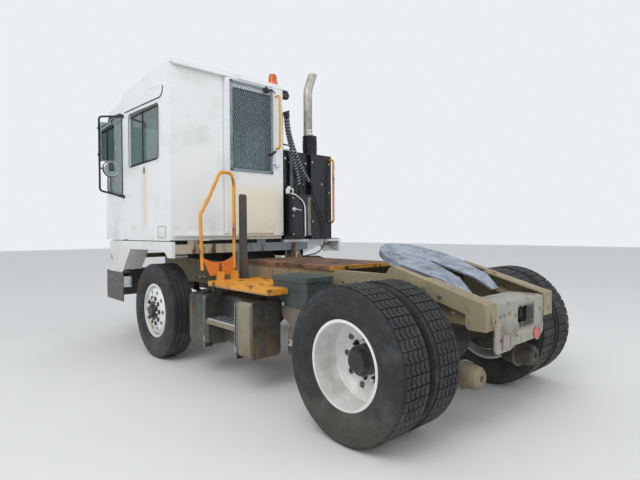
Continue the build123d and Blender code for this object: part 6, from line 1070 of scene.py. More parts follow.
    def _wipers(self) -> None:
        """Two parked wipers on the nose, each a pivot, an arm and a blade."""
        form = Form()
        for pivot_y in (0.95, 0.42):
            pivot = Vector(self._nose_point(pivot_y, 1.88, 0.012))
            tip = Vector(self._nose_point(pivot_y - 0.28, 1.985, 0.026))
            form.rod(pivot - Vector((0.018, 0, 0)), pivot + Vector((0.012, 0, 0)), 0.017, bevel=0.003)
            form.rod(pivot, tip, 0.006, 0.004, 10)
            left = Vector(self._nose_point(pivot_y - 0.05, 1.972, 0.016))
            right = Vector(self._nose_point(pivot_y - 0.5, 1.998, 0.016))
            form.rod(left, right, 0.006, segments=8)
            form.rod(tip, (left + right) / 2, 0.007, segments=8)
        form.finish("wipers", "seal_rubber", "cab", "dash_plastic", 40.0)

    def _hatch(self) -> None:
        """The small cover low on the left wall, with the gap round it and its catch."""
        form = Form.seal([(0.622, CAB_LEFT_Y, 1.332), (0.822, CAB_LEFT_Y, 1.332), (0.822, CAB_LEFT_Y, 1.45),
                          (0.622, CAB_LEFT_Y, 1.45)], LEFT, 0.004, 0.0022, 0.018)
        form.finish("hatch_gap", "seal_rubber", "cab", "white_paint")
        form = Form()
        form.block((0.629, CAB_LEFT_Y - 0.004, 1.339), (0.815, CAB_LEFT_Y + 0.003, 1.443), 0.0025)
        form.block((0.77, CAB_LEFT_Y, 1.376), (0.798, CAB_LEFT_Y + 0.008, 1.404), 0.003)
        form.finish("hatch_cover", "white_trim", "cab", "white_paint")


@dataclass
class RearDoorTrim:
    """The mesh guard over the door's window, its bolts, the latch, the wires and the stop plate."""
    guard_low: tuple = (-0.04, 2.08)
    guard_high: tuple = (0.545, 3.095)
    face_x: float = 0.4417
    front_x: float = 0.43
    frame_width: float = 0.03
    diamond: tuple = (0.028, 0.06)
    strand: float = 0.0035
    strand_depth: float = 0.0032
    bolt_pitch: float = 0.085

    def build(self) -> None:
        """Make every piece of the door's trim."""
        self._guard()
        self._bolts()
        self._window_seal()
        self._latch()
        self._wires()

    def _strand(self, form: Form, start: tuple, end: tuple, x: float) -> None:
        """Add one straight strand between two places given as y and z."""
        a, b = Vector((x, *start)), Vector((x, *end))
        size = Matrix.Diagonal((self.strand_depth, self.strand, (b - a).length, 1))
        bmesh.ops.create_cube(form.bm, size=1.0, matrix=Form.along(a, b) @ size)

    def _mesh(self, form: Form) -> None:
        """Cross two sets of slanting strands, clipped to the frame."""
        (low_y, low_z), (high_y, high_z) = self.guard_low, self.guard_high
        rise = self.diamond[1] / self.diamond[0]
        height = high_z - low_z
        count = int(((high_y - low_y) + height / rise) / self.diamond[0]) + 1
        for lean, x in ((1, self.front_x + 0.0065), (-1, self.front_x + 0.009)):
            for index in range(count + 1):
                offset = index * self.diamond[0] - height / rise
                foot = low_y + offset
                bottom, top = (foot, low_z), (foot + height / rise, high_z)
                if bottom[0] < low_y:
                    bottom = (low_y, low_z + (low_y - foot) * rise)
                if top[0] > high_y:
                    top = (high_y, low_z + (high_y - foot) * rise)
                if top[1] - bottom[1] < 0.01 or bottom[0] > high_y:
                    continue
                if lean < 0:
                    bottom, top = ((low_y + high_y - bottom[0], bottom[1]), (low_y + high_y - top[0], top[1]))
                self._strand(form, bottom, top, x)

    def _guard(self) -> None:
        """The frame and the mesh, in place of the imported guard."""
        (low_y, low_z), (high_y, high_z) = self.guard_low, self.guard_high
        width = self.frame_width
        form = Form()
        for low, high in (((low_y, low_z), (low_y + width, high_z)),
                          ((high_y - width, low_z), (high_y, high_z)),
                          ((low_y, low_z), (high_y, low_z + width)),
                          ((low_y, high_z - width), (high_y, high_z))):
            form.block((self.front_x, *low), (self.face_x, *high), 0.0015, 1)
        self._mesh(form)
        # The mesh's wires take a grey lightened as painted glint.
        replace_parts(form.finish("door_guard_mesh", "mesh_grey", "door", "black_paint"), "door_guard")

    def _bolts(self) -> None:
        """Bright dome-head bolts down both sides of the frame and along its foot."""
        (low_y, low_z), (high_y, high_z) = self.guard_low, self.guard_high
        edge = self.frame_width / 2
        rows = round((high_z - low_z - 2 * edge) / self.bolt_pitch)
        spots = [(y, low_z + edge + (high_z - low_z - 2 * edge) * i / rows)
                 for y in (low_y + edge, high_y - edge) for i in range(rows + 1)]
        spots += [(low_y + (high_y - low_y) * share, z) for share in (0.25, 0.5, 0.75)
                  for z in (low_z + edge, high_z - edge)]
        form = Form()
        for y, z in spots:
            form.rivet((self.front_x, y, z), BACK, 0.0075)
        form.finish("door_guard_bolts", "bright_trim", "door", "stainless", 60.0)

    def _window_seal(self) -> None:
        """The rubber round the door's pane."""
        corners = [(0.442, -0.01, 2.11), (0.442, 0.515, 2.11), (0.442, 0.515, 3.015), (0.442, -0.01, 3.015)]
        form = Form.seal(corners, BACK, 0.01, 0.004, 0.03, inward=True)
        form.finish("door_window_seal", "seal_rubber", "door", "window_glass", 40.0)

    def _latch(self) -> None:
        """The turning latch, its key barrel and keeper, and the slanted stop plate over them."""
        form = Form()
        form.rod((0.446, -0.052, 2.214), (0.428, -0.052, 2.214), 0.021, bevel=0.003)
        form.rod((0.43, -0.052, 2.214), (0.422, -0.052, 2.214), 0.01)
        form.block((0.424, -0.118, 2.168), (0.442, -0.082, 2.186), 0.003)
        form.block((0.424, -0.086, 2.15), (0.434, -0.076, 2.206), 0.003)
        form.finish("door_latch", "bright_trim", "door", "stainless")
        form = Form()
        form.slab([(0.4405, 0.03, 2.306), (0.4405, -0.072, 2.366), (0.4405, -0.072, 2.34),
                   (0.4405, -0.01, 2.29)], BACK * 0.026)
        form.finish("door_stop_plate", "hub_black", "door", "black_paint")

    def _wires(self) -> None:
        """The black junction and short wires at the guard's top corner."""
        form = Form()
        form.block((0.402, 0.03, 3.03), (0.431, 0.1, 3.08), 0.008, 3)
        form.rod((0.418, 0.06, 3.075), (0.418, 0.06, 3.1), 0.012, bevel=0.002)
        form.bent_tube([(0.417, 0.035, 3.06), (0.412, -0.01, 3.075), (0.425, -0.06, 3.068),
                        (0.4425, -0.085, 3.06)], 0.005, 0.02, 8)
        form.finish("guard_junction", "seal_rubber", "door", "black_paint", 50.0)


@dataclass
class RoofLamps:
    """The amber beacon, the work lamp and its white bracket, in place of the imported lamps."""
    beacon: tuple = (0.557, -0.134, 3.179)
    rib_count: int = 12
    lamp_y: float = -0.264
    lamp_z: float = 3.075
    lamp_radius: float = 0.056
    wall_gap: float = 0.0004

    def build(self) -> None:
        """Make every piece."""
        self._beacon()
        self._work_lamp()
        self._bracket()

    def _beacon(self) -> None:
        """The ribbed lens dome on its orange base."""
        form = Form()
        ribs = [(0.0555 - 0.0006 * i - (0.0016 if i % 2 else 0.0), 0.05 + i * 0.0065)
                for i in range(self.rib_count)]
        form.turned(self.beacon, UP, ((0, 0.046), (0.0565, 0.046), *ribs, (0.047, 0.13), (0.041, 0.14),
                                      (0.026, 0.146), (0, 0.148)), 40)
        lens = form.finish("beacon_lens_dome", "beacon_lens", "cab", "beacon_lens", 50.0)
        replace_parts(lens, "roof_lamps")
        form = Form()
        form.turned(self.beacon, UP,
                    ((0, -0.004), (0.06, -0.004), (0.062, 0.002), (0.062, 0.04), (0.059, 0.047), (0, 0.048)),
                    40)
        form.rod(Vector(self.beacon) + UP * 0.046, Vector(self.beacon) + UP * 0.1, 0.02)
        form.finish("beacon_base", "beacon_orange", "cab", "beacon_lens")

    def _work_lamp(self) -> None:
        """The lamp's round body on its stud, and its lens."""
        form = Form()
        radius = self.lamp_radius
        form.turned(
            (0.482, self.lamp_y, self.lamp_z), BACK,
            ((0, -0.062), (0.03, -0.06), (0.036, -0.05), (radius - 0.004, 0.0), (radius, 0.002),
             (radius, 0.013), (radius - 0.006, 0.016), (radius - 0.009, 0.009), (0, 0.006)))
        form.rod((0.53, self.lamp_y, 3.03), (0.53, self.lamp_y, 3.12), 0.006)
        form.finish("work_lamp_body", "seal_rubber", "cab", "black_paint", 40.0)
        form = Form()
        form.turned((0.474, self.lamp_y, self.lamp_z), BACK,
                    ((0, 0.0), (radius - 0.009, 0.0), (radius - 0.012, 0.006), (0, 0.009)))
        form.finish("work_lamp_lens", "lamp_glass", "cab", "lamp_glass")

    def _bracket(self) -> None:
        """The white gusset on the cab's wall, and the shelf that the lamp hangs from."""
        form = Form()
        wall = CAB_RIGHT_Y - self.wall_gap
        form.slab([(0.537, wall, 3.15), (0.537, -0.34, 3.15), (0.537, -0.34, 3.12), (0.537, wall, 3.005)],
                  AHEAD * 0.008)
        form.block((0.505, -0.34, 3.146), (0.545, wall, 3.151), 0.001, 1)
        form.finish("work_lamp_bracket", "white_trim", "cab", "white_paint")


@dataclass
class Mirrors:
    """Silvered faces, bright rims and clamps for the two pairs of mirrors."""
    face_x: float = 1.875
    head: tuple = (1.395, 2.5, 0.085, 0.235)
    round_head: tuple = (1.355, 2.175, 0.092)
    post_y: float = 1.488
    face_gap: float = 0.0012

    def build(self) -> None:
        """Make both sides."""
        for side in Side:
            self._rims(side)
            self._faces(side)
            self._clamps(side)

    def _corners(self, side: Side, x: float, trim: float) -> list[Point]:
        """The corners of the tall mirror, drawn in by a trim."""
        y, z, half, tall = self.head
        return [(x, y * side.value + (half - trim) * i, z + (tall - trim) * j) for i,
                j in ((-1, -1), (1, -1), (1, 1), (-1, 1))]

    def _rims(self, side: Side) -> None:
        """The bright rims of the tall mirror and of the round one."""
        form = Form.seal(self._corners(side, self.face_x, 0.0), BACK, 0.009, 0.005, 0.018, inward=True)
        y, z, big = self.round_head
        form.turned(
            (self.face_x, y * side.value, z), BACK,
            ((big - 0.009, -0.001), (big, -0.001), (big + 0.001, 0.003), (big - 0.004, 0.006),
             (big - 0.009, 0.004), (big - 0.009, -0.001)), 40)
        form.finish(f"mirror_rims_{side.word}", "bright_trim", "cab", "stainless", 40.0)

    def _faces(self, side: Side) -> None:
        """The flat silvered face and the bulging round one."""
        form = Form()
        pane = form.rounded_face(self._corners(side, self.face_x - self.face_gap, 0.008), 0.012)
        form.thicken([pane], BACK * self.face_gap)
        y, z, big = self.round_head
        form.turned(
            (self.face_x, y * side.value, z), BACK,
            ((0, -0.001), (big - 0.008, -0.001), (big - 0.008, 0.002), (big * 0.7, 0.006),
             (big * 0.35, 0.0085), (0, 0.009)), 40)
        form.finish(f"mirror_faces_{side.word}", "mirror_face", "cab", "mirror_black", 30.0)

    def _clamps(self, side: Side) -> None:
        """The clamps on the upright tube and the bolts of the arms' feet on the cab's wall."""
        form = Form()
        post = side.value * self.post_y
        for z in (2.66, 2.34):
            form.block((1.884, post - 0.017, z - 0.014), (1.914, post + 0.017, z + 0.014), 0.003)
        for z in (2.83, 1.835 if side is Side.LEFT else 2.06):
            for x in (1.812, 1.842):
                form.bolt((x, side.wall_y + side.value * 0.0125, z), side.out, 0.005)
        form.finish(f"mirror_clamps_{side.word}", "seal_rubber", "cab", "mirror_black")


@dataclass
class FrontLamps:
    """Headlamp bezels, the bumper's bolts and the rims of the tail lamps."""
    lamp_face_x: float = 2.587
    pocket_y: float = 1.0
    pocket: tuple = (0.615, 0.785)
    tail_face_x: float = -2.593

    def build(self) -> None:
        """Make every piece."""
        self._bezels()
        self._bumper_bolts()
        self._tail_rims()

    def _bezels(self) -> None:
        """A bright frame round each headlamp pocket and a ring round each of its two lamps."""
        form = Form()
        low, high = self.pocket
        for y in (self.pocket_y, -self.pocket_y):
            x, near, far = self.lamp_face_x, y - 0.115, y + 0.115
            form.merge(Form.seal([(x, near, low), (x, far, low), (x, far, high), (x, near, high)], AHEAD,
                                 0.012, 0.005, 0.02, inward=True))
            for lamp_y in (y - 0.048, y + 0.048):
                form.turned((x - 0.001, lamp_y, (low + high) / 2), AHEAD,
                            ((0.043, 0.0), (0.047, 0.0), (0.047, 0.004), (0.043, 0.005), (0.043, 0.0)), 32)
        form.finish("headlamp_bezels", "bright_trim", "root", "stainless", 40.0)

    @staticmethod
    def _bumper_bolts() -> None:
        """Bolts on the bumper's face and along its returns."""
        form = Form()
        for y in (-0.42, -0.38, 0.38, 0.42):
            for z in (0.6, 0.68, 0.82):
                form.bolt((2.593, y, z), AHEAD, 0.011)
        for side in Side:
            for x in (2.00, 2.12, 2.24):
                form.bolt((x, side.value * 1.225, 0.86), side.out, 0.009)
        form.finish("bumper_bolts", "bolt_steel", "root", "stainless")

    def _tail_rims(self) -> None:
        """The rims of the round tail lamp and of the square one."""
        form, x = Form(), self.tail_face_x
        form.turned((x - 0.0002, -0.255, 0.615), BACK,
                    ((0.044, -0.004), (0.05, -0.004), (0.05, 0.002), (0.044, 0.003), (0.044, -0.004)), 32)
        form.merge(Form.seal([(x, 0.178, 0.572), (x, 0.288, 0.572), (x, 0.288, 0.676), (x, 0.178, 0.676)],
                             BACK, 0.007, 0.003, 0.012, inward=True))
        form.finish("tail_lamp_rims", "bolt_steel", "root", "stainless", 40.0)


@dataclass
class DriverPlace:
    """The sprung seat with its sewn cushion and back, and the grip of the steering wheel."""
    seat_y: float = 0.64
    cushion_low: tuple = (0.81, 0.395, 1.722)
    cushion_high: tuple = (1.31, 0.885, 1.862)
    back_foot: tuple = (0.905, 1.8)
    back_head: tuple = (0.815, 2.46)
    back_half: float = 0.235
    back_thickness: float = 0.115
    bellows_folds: int = 6
    wheel_radius: float = 0.195
    grip_radius: float = 0.0165
    grip_lift: float = 0.004
    grip_notches: int = 24
    channel_width: float = 0.035
    channel_depth: float = 0.011

    def build(self) -> None:
        """Make the seat and the wheel."""
        self._base()
        self._cushion()
        self._back()
        self._belt_stalks()
        self._wheel()

    def _base(self) -> None:
        """The pedestal, its bellows and the pan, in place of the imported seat."""
        form, middle = Form(), self.seat_y
        form.block((0.862, middle - 0.175, 1.345), (1.23, middle + 0.175, 1.385), 0.008)
        for i in range(self.bellows_folds):
            z = 1.395 + i * 0.044
            inset = 0.012 if i % 2 else 0.0
            half = 0.16 - inset
            form.block((0.88 + inset, middle - half, z - 0.012), (1.212 - inset, middle + half, z + 0.034),
                       0.014, 3)
        form.block((0.83, middle - 0.215, 1.655), (1.285, middle + 0.215, 1.728), 0.018, 3)
        for y in (middle - 0.205, middle + 0.205):
            form.rod((0.905, y, 1.7), (0.87, y, 1.86), 0.014, bevel=0.002)
        lever = middle + 0.262
        form.rod((1.02, middle + 0.215, 1.69), (1.02, lever, 1.69), 0.012, bevel=0.002)
        form.rod((1.02, middle + 0.255, 1.69), (1.09, lever, 1.7), 0.008, bevel=0.002)
        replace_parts(form.finish("seat_pedestal", "dash_plastic", "cab", "dash_plastic"), "seat")

    def _pad(self, form: Form, place: Matrix, half: tuple, depth: float, channels: tuple, crown: float,
             steps: int = 36) -> None:
        """Add a crowned pad with pinched corners and sewn channels.

        Args:
            form: the mesh to add to.
            place: turns the pad's own width, length and height into the tractor's frame.
            half: half its width and half its length.
            depth: its height at the edge.
            channels: where the sewn channels cross its length, from -1 to 1.
            crown: how much the middle stands up.
            steps: faces each way over the top.
        """
        def height(u: float, v: float) -> float:
            """How far the top stands up at a share of the half width and half length."""
            edge = max((1 - u ** 6) * (1 - v ** 6), 0.0)
            seams = [v - channel for channel in channels]
            sewn = sum(math.exp(-(away / self.channel_width) ** 2) for away in seams)
            sewn += 0.8 * math.exp(-((abs(u) - 0.66) / self.channel_width) ** 2)
            crowned = crown * (1 - u * u) * (1 - v * v)
            return depth * 0.55 * edge ** 0.5 + crowned - self.channel_depth * min(sewn, 1.0)

        def outline(u: float, v: float) -> Pair:
            """Where a share of the width and length lies, with rounded corners and drawn-in sides."""
            reach = max(abs(u), abs(v))
            round_off = 1.0 if reach == 0 else 1 / (abs(u / reach) ** 7 + abs(v / reach) ** 7) ** (1 / 7)
            scale = 1 + reach ** 3 * (round_off - 1)
            pull_u = 1 - 0.035 * (1 - abs(v) ** 3) * abs(u) ** 4
            pull_v = 1 - 0.03 * (1 - abs(u) ** 3) * abs(v) ** 4
            return u * half[0] * pull_u * scale, v * half[1] * pull_v * scale

        for under in (False, True):
            made = bmesh.ops.create_grid(form.bm, x_segments=steps, y_segments=steps, size=1.0)
            for vert in made["verts"]:
                u, v = vert.co.xy
                z = height(u, v)
                if under and not vert.is_boundary:
                    z = -0.45 * depth * ((1 - u ** 10) * (1 - v ** 10)) ** 0.5
                vert.co = place @ Vector((*outline(u, v), z))
        bmesh.ops.remove_doubles(form.bm, verts=form.bm.verts, dist=1e-5)

    @staticmethod
    def _soft(name: str, form: Form) -> None:
        """Finish a padded piece and smooth it."""
        piece = form.finish(name, "seat_fabric", "cab", "seat_fabric", 80.0)
        smooth = piece.modifiers.new("soft", "SUBSURF")
        smooth.levels = smooth.render_levels = 1

    def _cushion(self) -> None:
        """The crowned seat cushion."""
        low, high = Vector(self.cushion_low), Vector(self.cushion_high)
        middle = (low + high) / 2
        form = Form()
        place = Matrix.Translation((middle.x, middle.y, low.z + 0.052)) @ Matrix.Rotation(math.pi / 2, 4, "Z")
        self._pad(form, place, ((high.y - low.y) / 2, (high.x - low.x) / 2), 0.105, (-0.4, 0.05, 0.5), 0.022)
        self._soft("seat_cushion", form)

    def _back(self) -> None:
        """The padded back, leaned on its posts."""
        foot = Vector((self.back_foot[0], self.seat_y, self.back_foot[1]))
        head = Vector((self.back_head[0], self.seat_y, self.back_head[1]))
        up = (head - foot).normalized()
        ahead = LEFT.cross(up).normalized()
        turn = Matrix((LEFT, up, ahead)).transposed().to_4x4()
        place = Matrix.Translation((foot + head) / 2 - ahead * 0.006) @ turn
        if place.to_3x3().determinant() < 0:
            place = place @ Matrix.Diagonal((-1, 1, 1, 1))
        form = Form()
        self._pad(form, place, (self.back_half, (head - foot).length / 2), self.back_thickness,
                  (-0.55, -0.18, 0.2, 0.62), 0.012)
        self._soft("seat_back", form)

    def _belt_stalks(self) -> None:
        """The seat belt's two buckles on their stalks."""
        form = Form()
        for y in (self.seat_y - 0.232, self.seat_y + 0.232):
            form.block((0.93, y - 0.012, 1.69), (0.96, y + 0.012, 1.845), 0.004)
            form.block((0.922, y - 0.016, 1.83), (0.968, y + 0.016, 1.885), 0.006)
        form.finish("seat_belt_stalks", "seal_rubber", "cab", "dash_plastic")

    def _wheel(self) -> None:
        """The steering wheel's thick notched grip and boss, with the column's stalk."""
        foot, centre = Vector((2.203, self.seat_y, 1.64)), Vector((1.777, self.seat_y, 2.06))
        axis = (centre - foot).normalized()
        turn = axis.to_track_quat("Z", "Y").to_matrix().to_4x4()
        form = Form()
        section = Matrix.Translation((self.wheel_radius, 0, 0)) @ Matrix.Rotation(math.pi / 2, 4, "X")
        made = bmesh.ops.create_circle(form.bm, segments=12, radius=self.grip_radius, matrix=section)
        edges = list({e for v in made["verts"] for e in v.link_edges})
        bmesh.ops.spin(form.bm, geom=edges, cent=(0, 0, 0), axis=UP, angle=math.tau, steps=56, use_merge=True,
                       dvec=(0, 0, 0))
        for vert in form.bm.verts:
            notch = 1 + 0.06 * math.cos(self.grip_notches * math.atan2(vert.co.y, vert.co.x))
            vert.co.z = self.grip_lift + vert.co.z * notch
        bmesh.ops.transform(form.bm, matrix=Matrix.Translation(centre) @ turn, verts=form.bm.verts)
        form.turned(centre, axis, ((0, -0.01), (0.05, -0.01), (0.05, 0.018), (0.042, 0.028), (0, 0.034)), 28)
        form.rod(foot.lerp(centre, 0.78), foot.lerp(centre, 0.8) + Vector((0, 0.17, 0.03)), 0.007,
                 bevel=0.002)
        form.finish("steering_wheel_grip", "seal_rubber", "cab", "dash_plastic", 50.0)


@dataclass(frozen=True)
class AirLine:
    """One air hose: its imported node, measures in metres, wrap and route."""
    node: str
    radius: float
    length: float
    wrapped: bool
    route: tuple[Point, ...]


@dataclass
class AirLines:
    """The hanging air hoses with their spiral wraps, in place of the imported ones."""
    LINES = (
        AirLine("air_line_left", 0.018, 0.866, True, ((0.392, -0.236, 2.79), (0.39, -0.243, 2.68),
                                                      (0.387, -0.276, 2.545), (0.385, -0.33, 2.405),
                                                      (0.384, -0.395, 2.275), (0.386, -0.462, 2.165),
                                                      (0.39, -0.528, 2.078), (0.395, -0.588, 2.02))),
        AirLine("air_line_right", 0.018, 0.883, True, ((0.44, -0.236, 2.8), (0.439, -0.243, 2.69),
                                                       (0.436, -0.27, 2.56), (0.432, -0.31, 2.43),
                                                       (0.429, -0.352, 2.3), (0.427, -0.394, 2.17),
                                                       (0.424, -0.426, 2.065), (0.419, -0.44, 1.945))),
        AirLine("air_line_deck", 0.008, 1.316, False, ((0.397, -0.622, 1.955), (0.398, -0.64, 1.87),
                                                       (0.4, -0.69, 1.775), (0.402, -0.752, 1.67),
                                                       (0.404, -0.812, 1.555), (0.405, -0.852, 1.43),
                                                       (0.402, -0.86, 1.32), (0.392, -0.826, 1.222),
                                                       (0.372, -0.752, 1.15), (0.345, -0.655, 1.113),
                                                       (0.318, -0.548, 1.1), (0.296, -0.44, 1.09),
                                                       (0.28, -0.345, 1.087))),
    )
    wrap_pitch: float = 0.038
    wrap_width: float = 0.018
    wrap_rise: float = 0.0022
    wrap_steps: int = 18

    def build(self) -> None:
        """Make every hose and its wrap."""
        for line in self.LINES:
            curve = self._curve(line)
            piece = bpy.data.objects.new(line.node.replace("line", "hose"), curve)
            bpy.context.scene.collection.objects.link(piece)
            curve.bevel_depth = line.radius
            curve.bevel_resolution = 5
            curve.materials.append(PALETTE["hose_rubber"])
            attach(piece, "root")
            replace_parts(piece, line.node)
            wraps = [self._wrap(line)] if line.wrapped else []

    @staticmethod
    def _curve(line: AirLine) -> bpy.types.Curve:
        """The hose's centre line as a curve that its route's points pull."""
        curve = bpy.data.curves.new(line.node, "CURVE")
        curve.dimensions = "3D"
        curve.resolution_u = 10
        spline = curve.splines.new("NURBS")
        spline.points.add(len(line.route) - 1)
        for point, spot in zip(spline.points, line.route):
            point.co = (*spot, 1.0)
        spline.order_u = 3
        spline.use_endpoint_u = True
        return curve

    def _wrap(self, line: AirLine) -> bpy.types.Object:
        """A flat band wound round the hose along its own centre line."""
        holder = bpy.data.objects.new("centre_line", self._curve(line))
        centre = bpy.data.meshes.new_from_object(holder)
        spots = [v.co.copy() for v in centre.vertices]
        bpy.data.meshes.remove(centre)
        bpy.data.curves.remove(holder.data)
        stations = [0.0]
        for a, b in zip(spots, spots[1:]):
            stations.append(stations[-1] + (b - a).length)
        total = int((stations[-1] - 0.03) / self.wrap_pitch * self.wrap_steps)
        form = Form()
        rings, at, across = [], 0, AHEAD
        for index in range(total + 1):
            along = 0.015 + index * self.wrap_pitch / self.wrap_steps
            while stations[at + 1] < along and at < len(spots) - 2:
                at += 1
            run = (spots[at + 1] - spots[at]).normalized()
            here = spots[at] + run * (along - stations[at])
            across = (across - run * across.dot(run)).normalized()
            side = run.cross(across)
            angle = math.tau * index / self.wrap_steps
            out = across * math.cos(angle) + side * math.sin(angle)
            low, high = line.radius - 0.001, line.radius + self.wrap_rise
            half = self.wrap_width / 2
            section = ((-half, low), (-half + 0.002, high), (half - 0.002, high), (half, low))
            rings.append([form.bm.verts.new(here + run * shift + out * away) for shift, away in section])
        for a, b in zip(rings, rings[1:]):
            for j in range(4):
                k = (j + 1) % 4
                form.bm.faces.new((a[j], b[j], b[k], a[k]))
        for ring in (rings[0], rings[-1]):
            form.bm.faces.new(ring)
        return form.finish(f"{line.node}_wrap", "wrap_grey", "root", "hose_rubber", 50.0)


@dataclass
class StackFittings:
    """What is fastened to the dark stack enclosure, the valve box and the exhaust."""
    rear_x: float = 0.487
    column_x: float = 0.437
    box_x: float = 0.308
    shield_axis: Point = (0.557, -0.73, 0.0)
    pipe_axis: Point = (0.557, -0.7, 0.0)
    shield_radius: float = 0.0922
    slot_count: int = 12

    def build(self) -> None:
        """Make every fitting."""
        self._bolts()
        self._folds()
        self._pipe()
        self._valve_box()
        self._exhaust()

    def _bolts(self) -> None:
        """Bolts on the enclosure, its column and the valve box."""
        form = Form()
        for y, z in ((-0.594, 2.264), (-0.598, 1.797), (-0.56, 1.99), (-0.26, 2.3)):
            form.bolt((self.rear_x, y, z), BACK, 0.011)
        for y, z in ((-0.668, 2.283), (-0.668, 1.9), (-0.668, 1.52), (-0.828, 2.009), (-0.96, 2.283),
                     (-0.96, 1.9), (-0.96, 1.52)):
            form.bolt((self.column_x, y, z), BACK, 0.009)
        for y in (-0.245, -0.52):
            for z in (1.36, 1.58, 1.8):
                form.bolt((self.box_x, y, z), BACK, 0.007)
        form.finish("enclosure_bolts", "bright_trim", "root", "stainless")

    def _folds(self) -> None:
        """Folded seams down the column and round the top of the enclosure."""
        form = Form()
        form.block((0.43, -0.652, 1.3), (0.4375, -0.641, 2.388), 0.002)
        form.block((0.43, -0.994, 1.3), (0.4375, -0.983, 2.388), 0.002)
        form.block((0.478, -0.994, 2.389), (0.676, -0.217, 2.396), 0.002)
        for x in (0.53, 0.6, 0.66):
            for z in (1.5, 1.72, 1.94, 2.16, 2.34):
                form.rivet((x, -0.995, z), Vector((0, -1, 0)), 0.007)
        for i in range(7):
            form.block((0.5, -0.999, 1.6 + i * 0.085), (0.65, -0.9945, 1.635 + i * 0.085), 0.0015, 1)
        form.finish("enclosure_folds", "black_paint", "root", "black_paint")

    def _pipe(self) -> None:
        """The grey-green pipe beside the cab, clipped to the enclosure."""
        form = Form()
        form.bent_tube([(0.449, -0.33, 1.85), (0.449, -0.33, 2.3), (0.492, -0.33, 2.345)], 0.024, 0.05, 20)
        for z in (1.93, 2.25):
            form.block((0.44, -0.364, z - 0.012), (0.49, -0.296, z + 0.012), 0.003)
        form.finish("enclosure_pipe", "green_paint", "root", "green_paint", 50.0)

    def _valve_box(self) -> None:
        """The tube guard, the lever, the white casting and the seams of the valve box."""
        form = Form()
        form.bent_tube(
            [(0.306, -0.222, 1.846), (0.296, -0.262, 1.842), (0.296, -0.33, 1.8), (0.296, -0.392, 1.76),
             (0.296, -0.422, 1.69), (0.296, -0.425, 1.345), (0.31, -0.425, 1.338)], 0.009, 0.03, 12)
        form.block((0.395, -0.335, 1.85), (0.44, -0.222, 1.925), 0.018, 4)
        form.rod((0.43, -0.275, 1.915), (0.43, -0.275, 1.95), 0.026, 0.02, bevel=0.004)
        form.finish("valve_box_guard", "white_trim", "root", "white_paint", 50.0)
        form = Form()
        form.block((0.392, -0.3, 1.868), (0.397, -0.262, 1.91), 0.002)
        for low, high in (((0.3055, -0.536, 1.335), (0.3085, -0.53, 1.845)),
                          ((0.3055, -0.536, 1.839), (0.3085, -0.225, 1.845))):
            form.block(low, high, 0.0008, 1)
        form.finish("valve_box_seams", "seal_rubber", "root", "black_paint")
        form = Form()
        form.rod((0.309, -0.25, 1.66), (0.288, -0.25, 1.66), 0.026, bevel=0.004)
        form.rod((0.29, -0.25, 1.66), (0.28, -0.25, 1.66), 0.014, bevel=0.002)
        form.rod((0.284, -0.25, 1.662), (0.284, -0.352, 1.652), 0.01, 0.008, bevel=0.002)
        form.finish("valve_box_lever", "bright_trim", "root", "stainless", 50.0)
        form = Form()
        form.block((0.302, -0.52, 1.345), (0.3082, -0.47, 1.82), 0.002)
        form.finish("valve_box_strip", "taupe_paint", "root", "black_paint")

    def _exhaust(self) -> None:
        """The rolled rims and ribs of the exhaust's heat shield, and the clamp rings over it."""
        form = Form()
        for z in (2.392, 2.628):
            form.turned(self.shield_axis, UP, ((0.09, z), (0.094, z), (0.095, z + 0.006), (0.094, z + 0.012),
                                               (0.09, z + 0.012), (0.09, z)), 36)
        for i in range(self.slot_count):
            angle = math.tau * i / self.slot_count
            out = Vector((math.cos(angle), math.sin(angle), 0)) * self.shield_radius
            spot = Vector(self.shield_axis) + out
            form.rod(spot + UP * 2.45, spot + UP * 2.58, 0.004, segments=8)
        form.finish("heat_shield_rims", "hub_black", "root", "black_paint", 50.0)
        form = Form()
        for z in (2.66, 2.7):
            form.turned(self.pipe_axis, UP,
                        ((0.056, z), (0.0605, z), (0.0605, z + 0.016), (0.056, z + 0.016), (0.056, z)), 36)
        form.block((0.54, -0.775, 2.66), (0.574, -0.755, 2.676), 0.002)
        form.finish("exhaust_clamp", "bright_trim", "root", "stainless", 50.0)


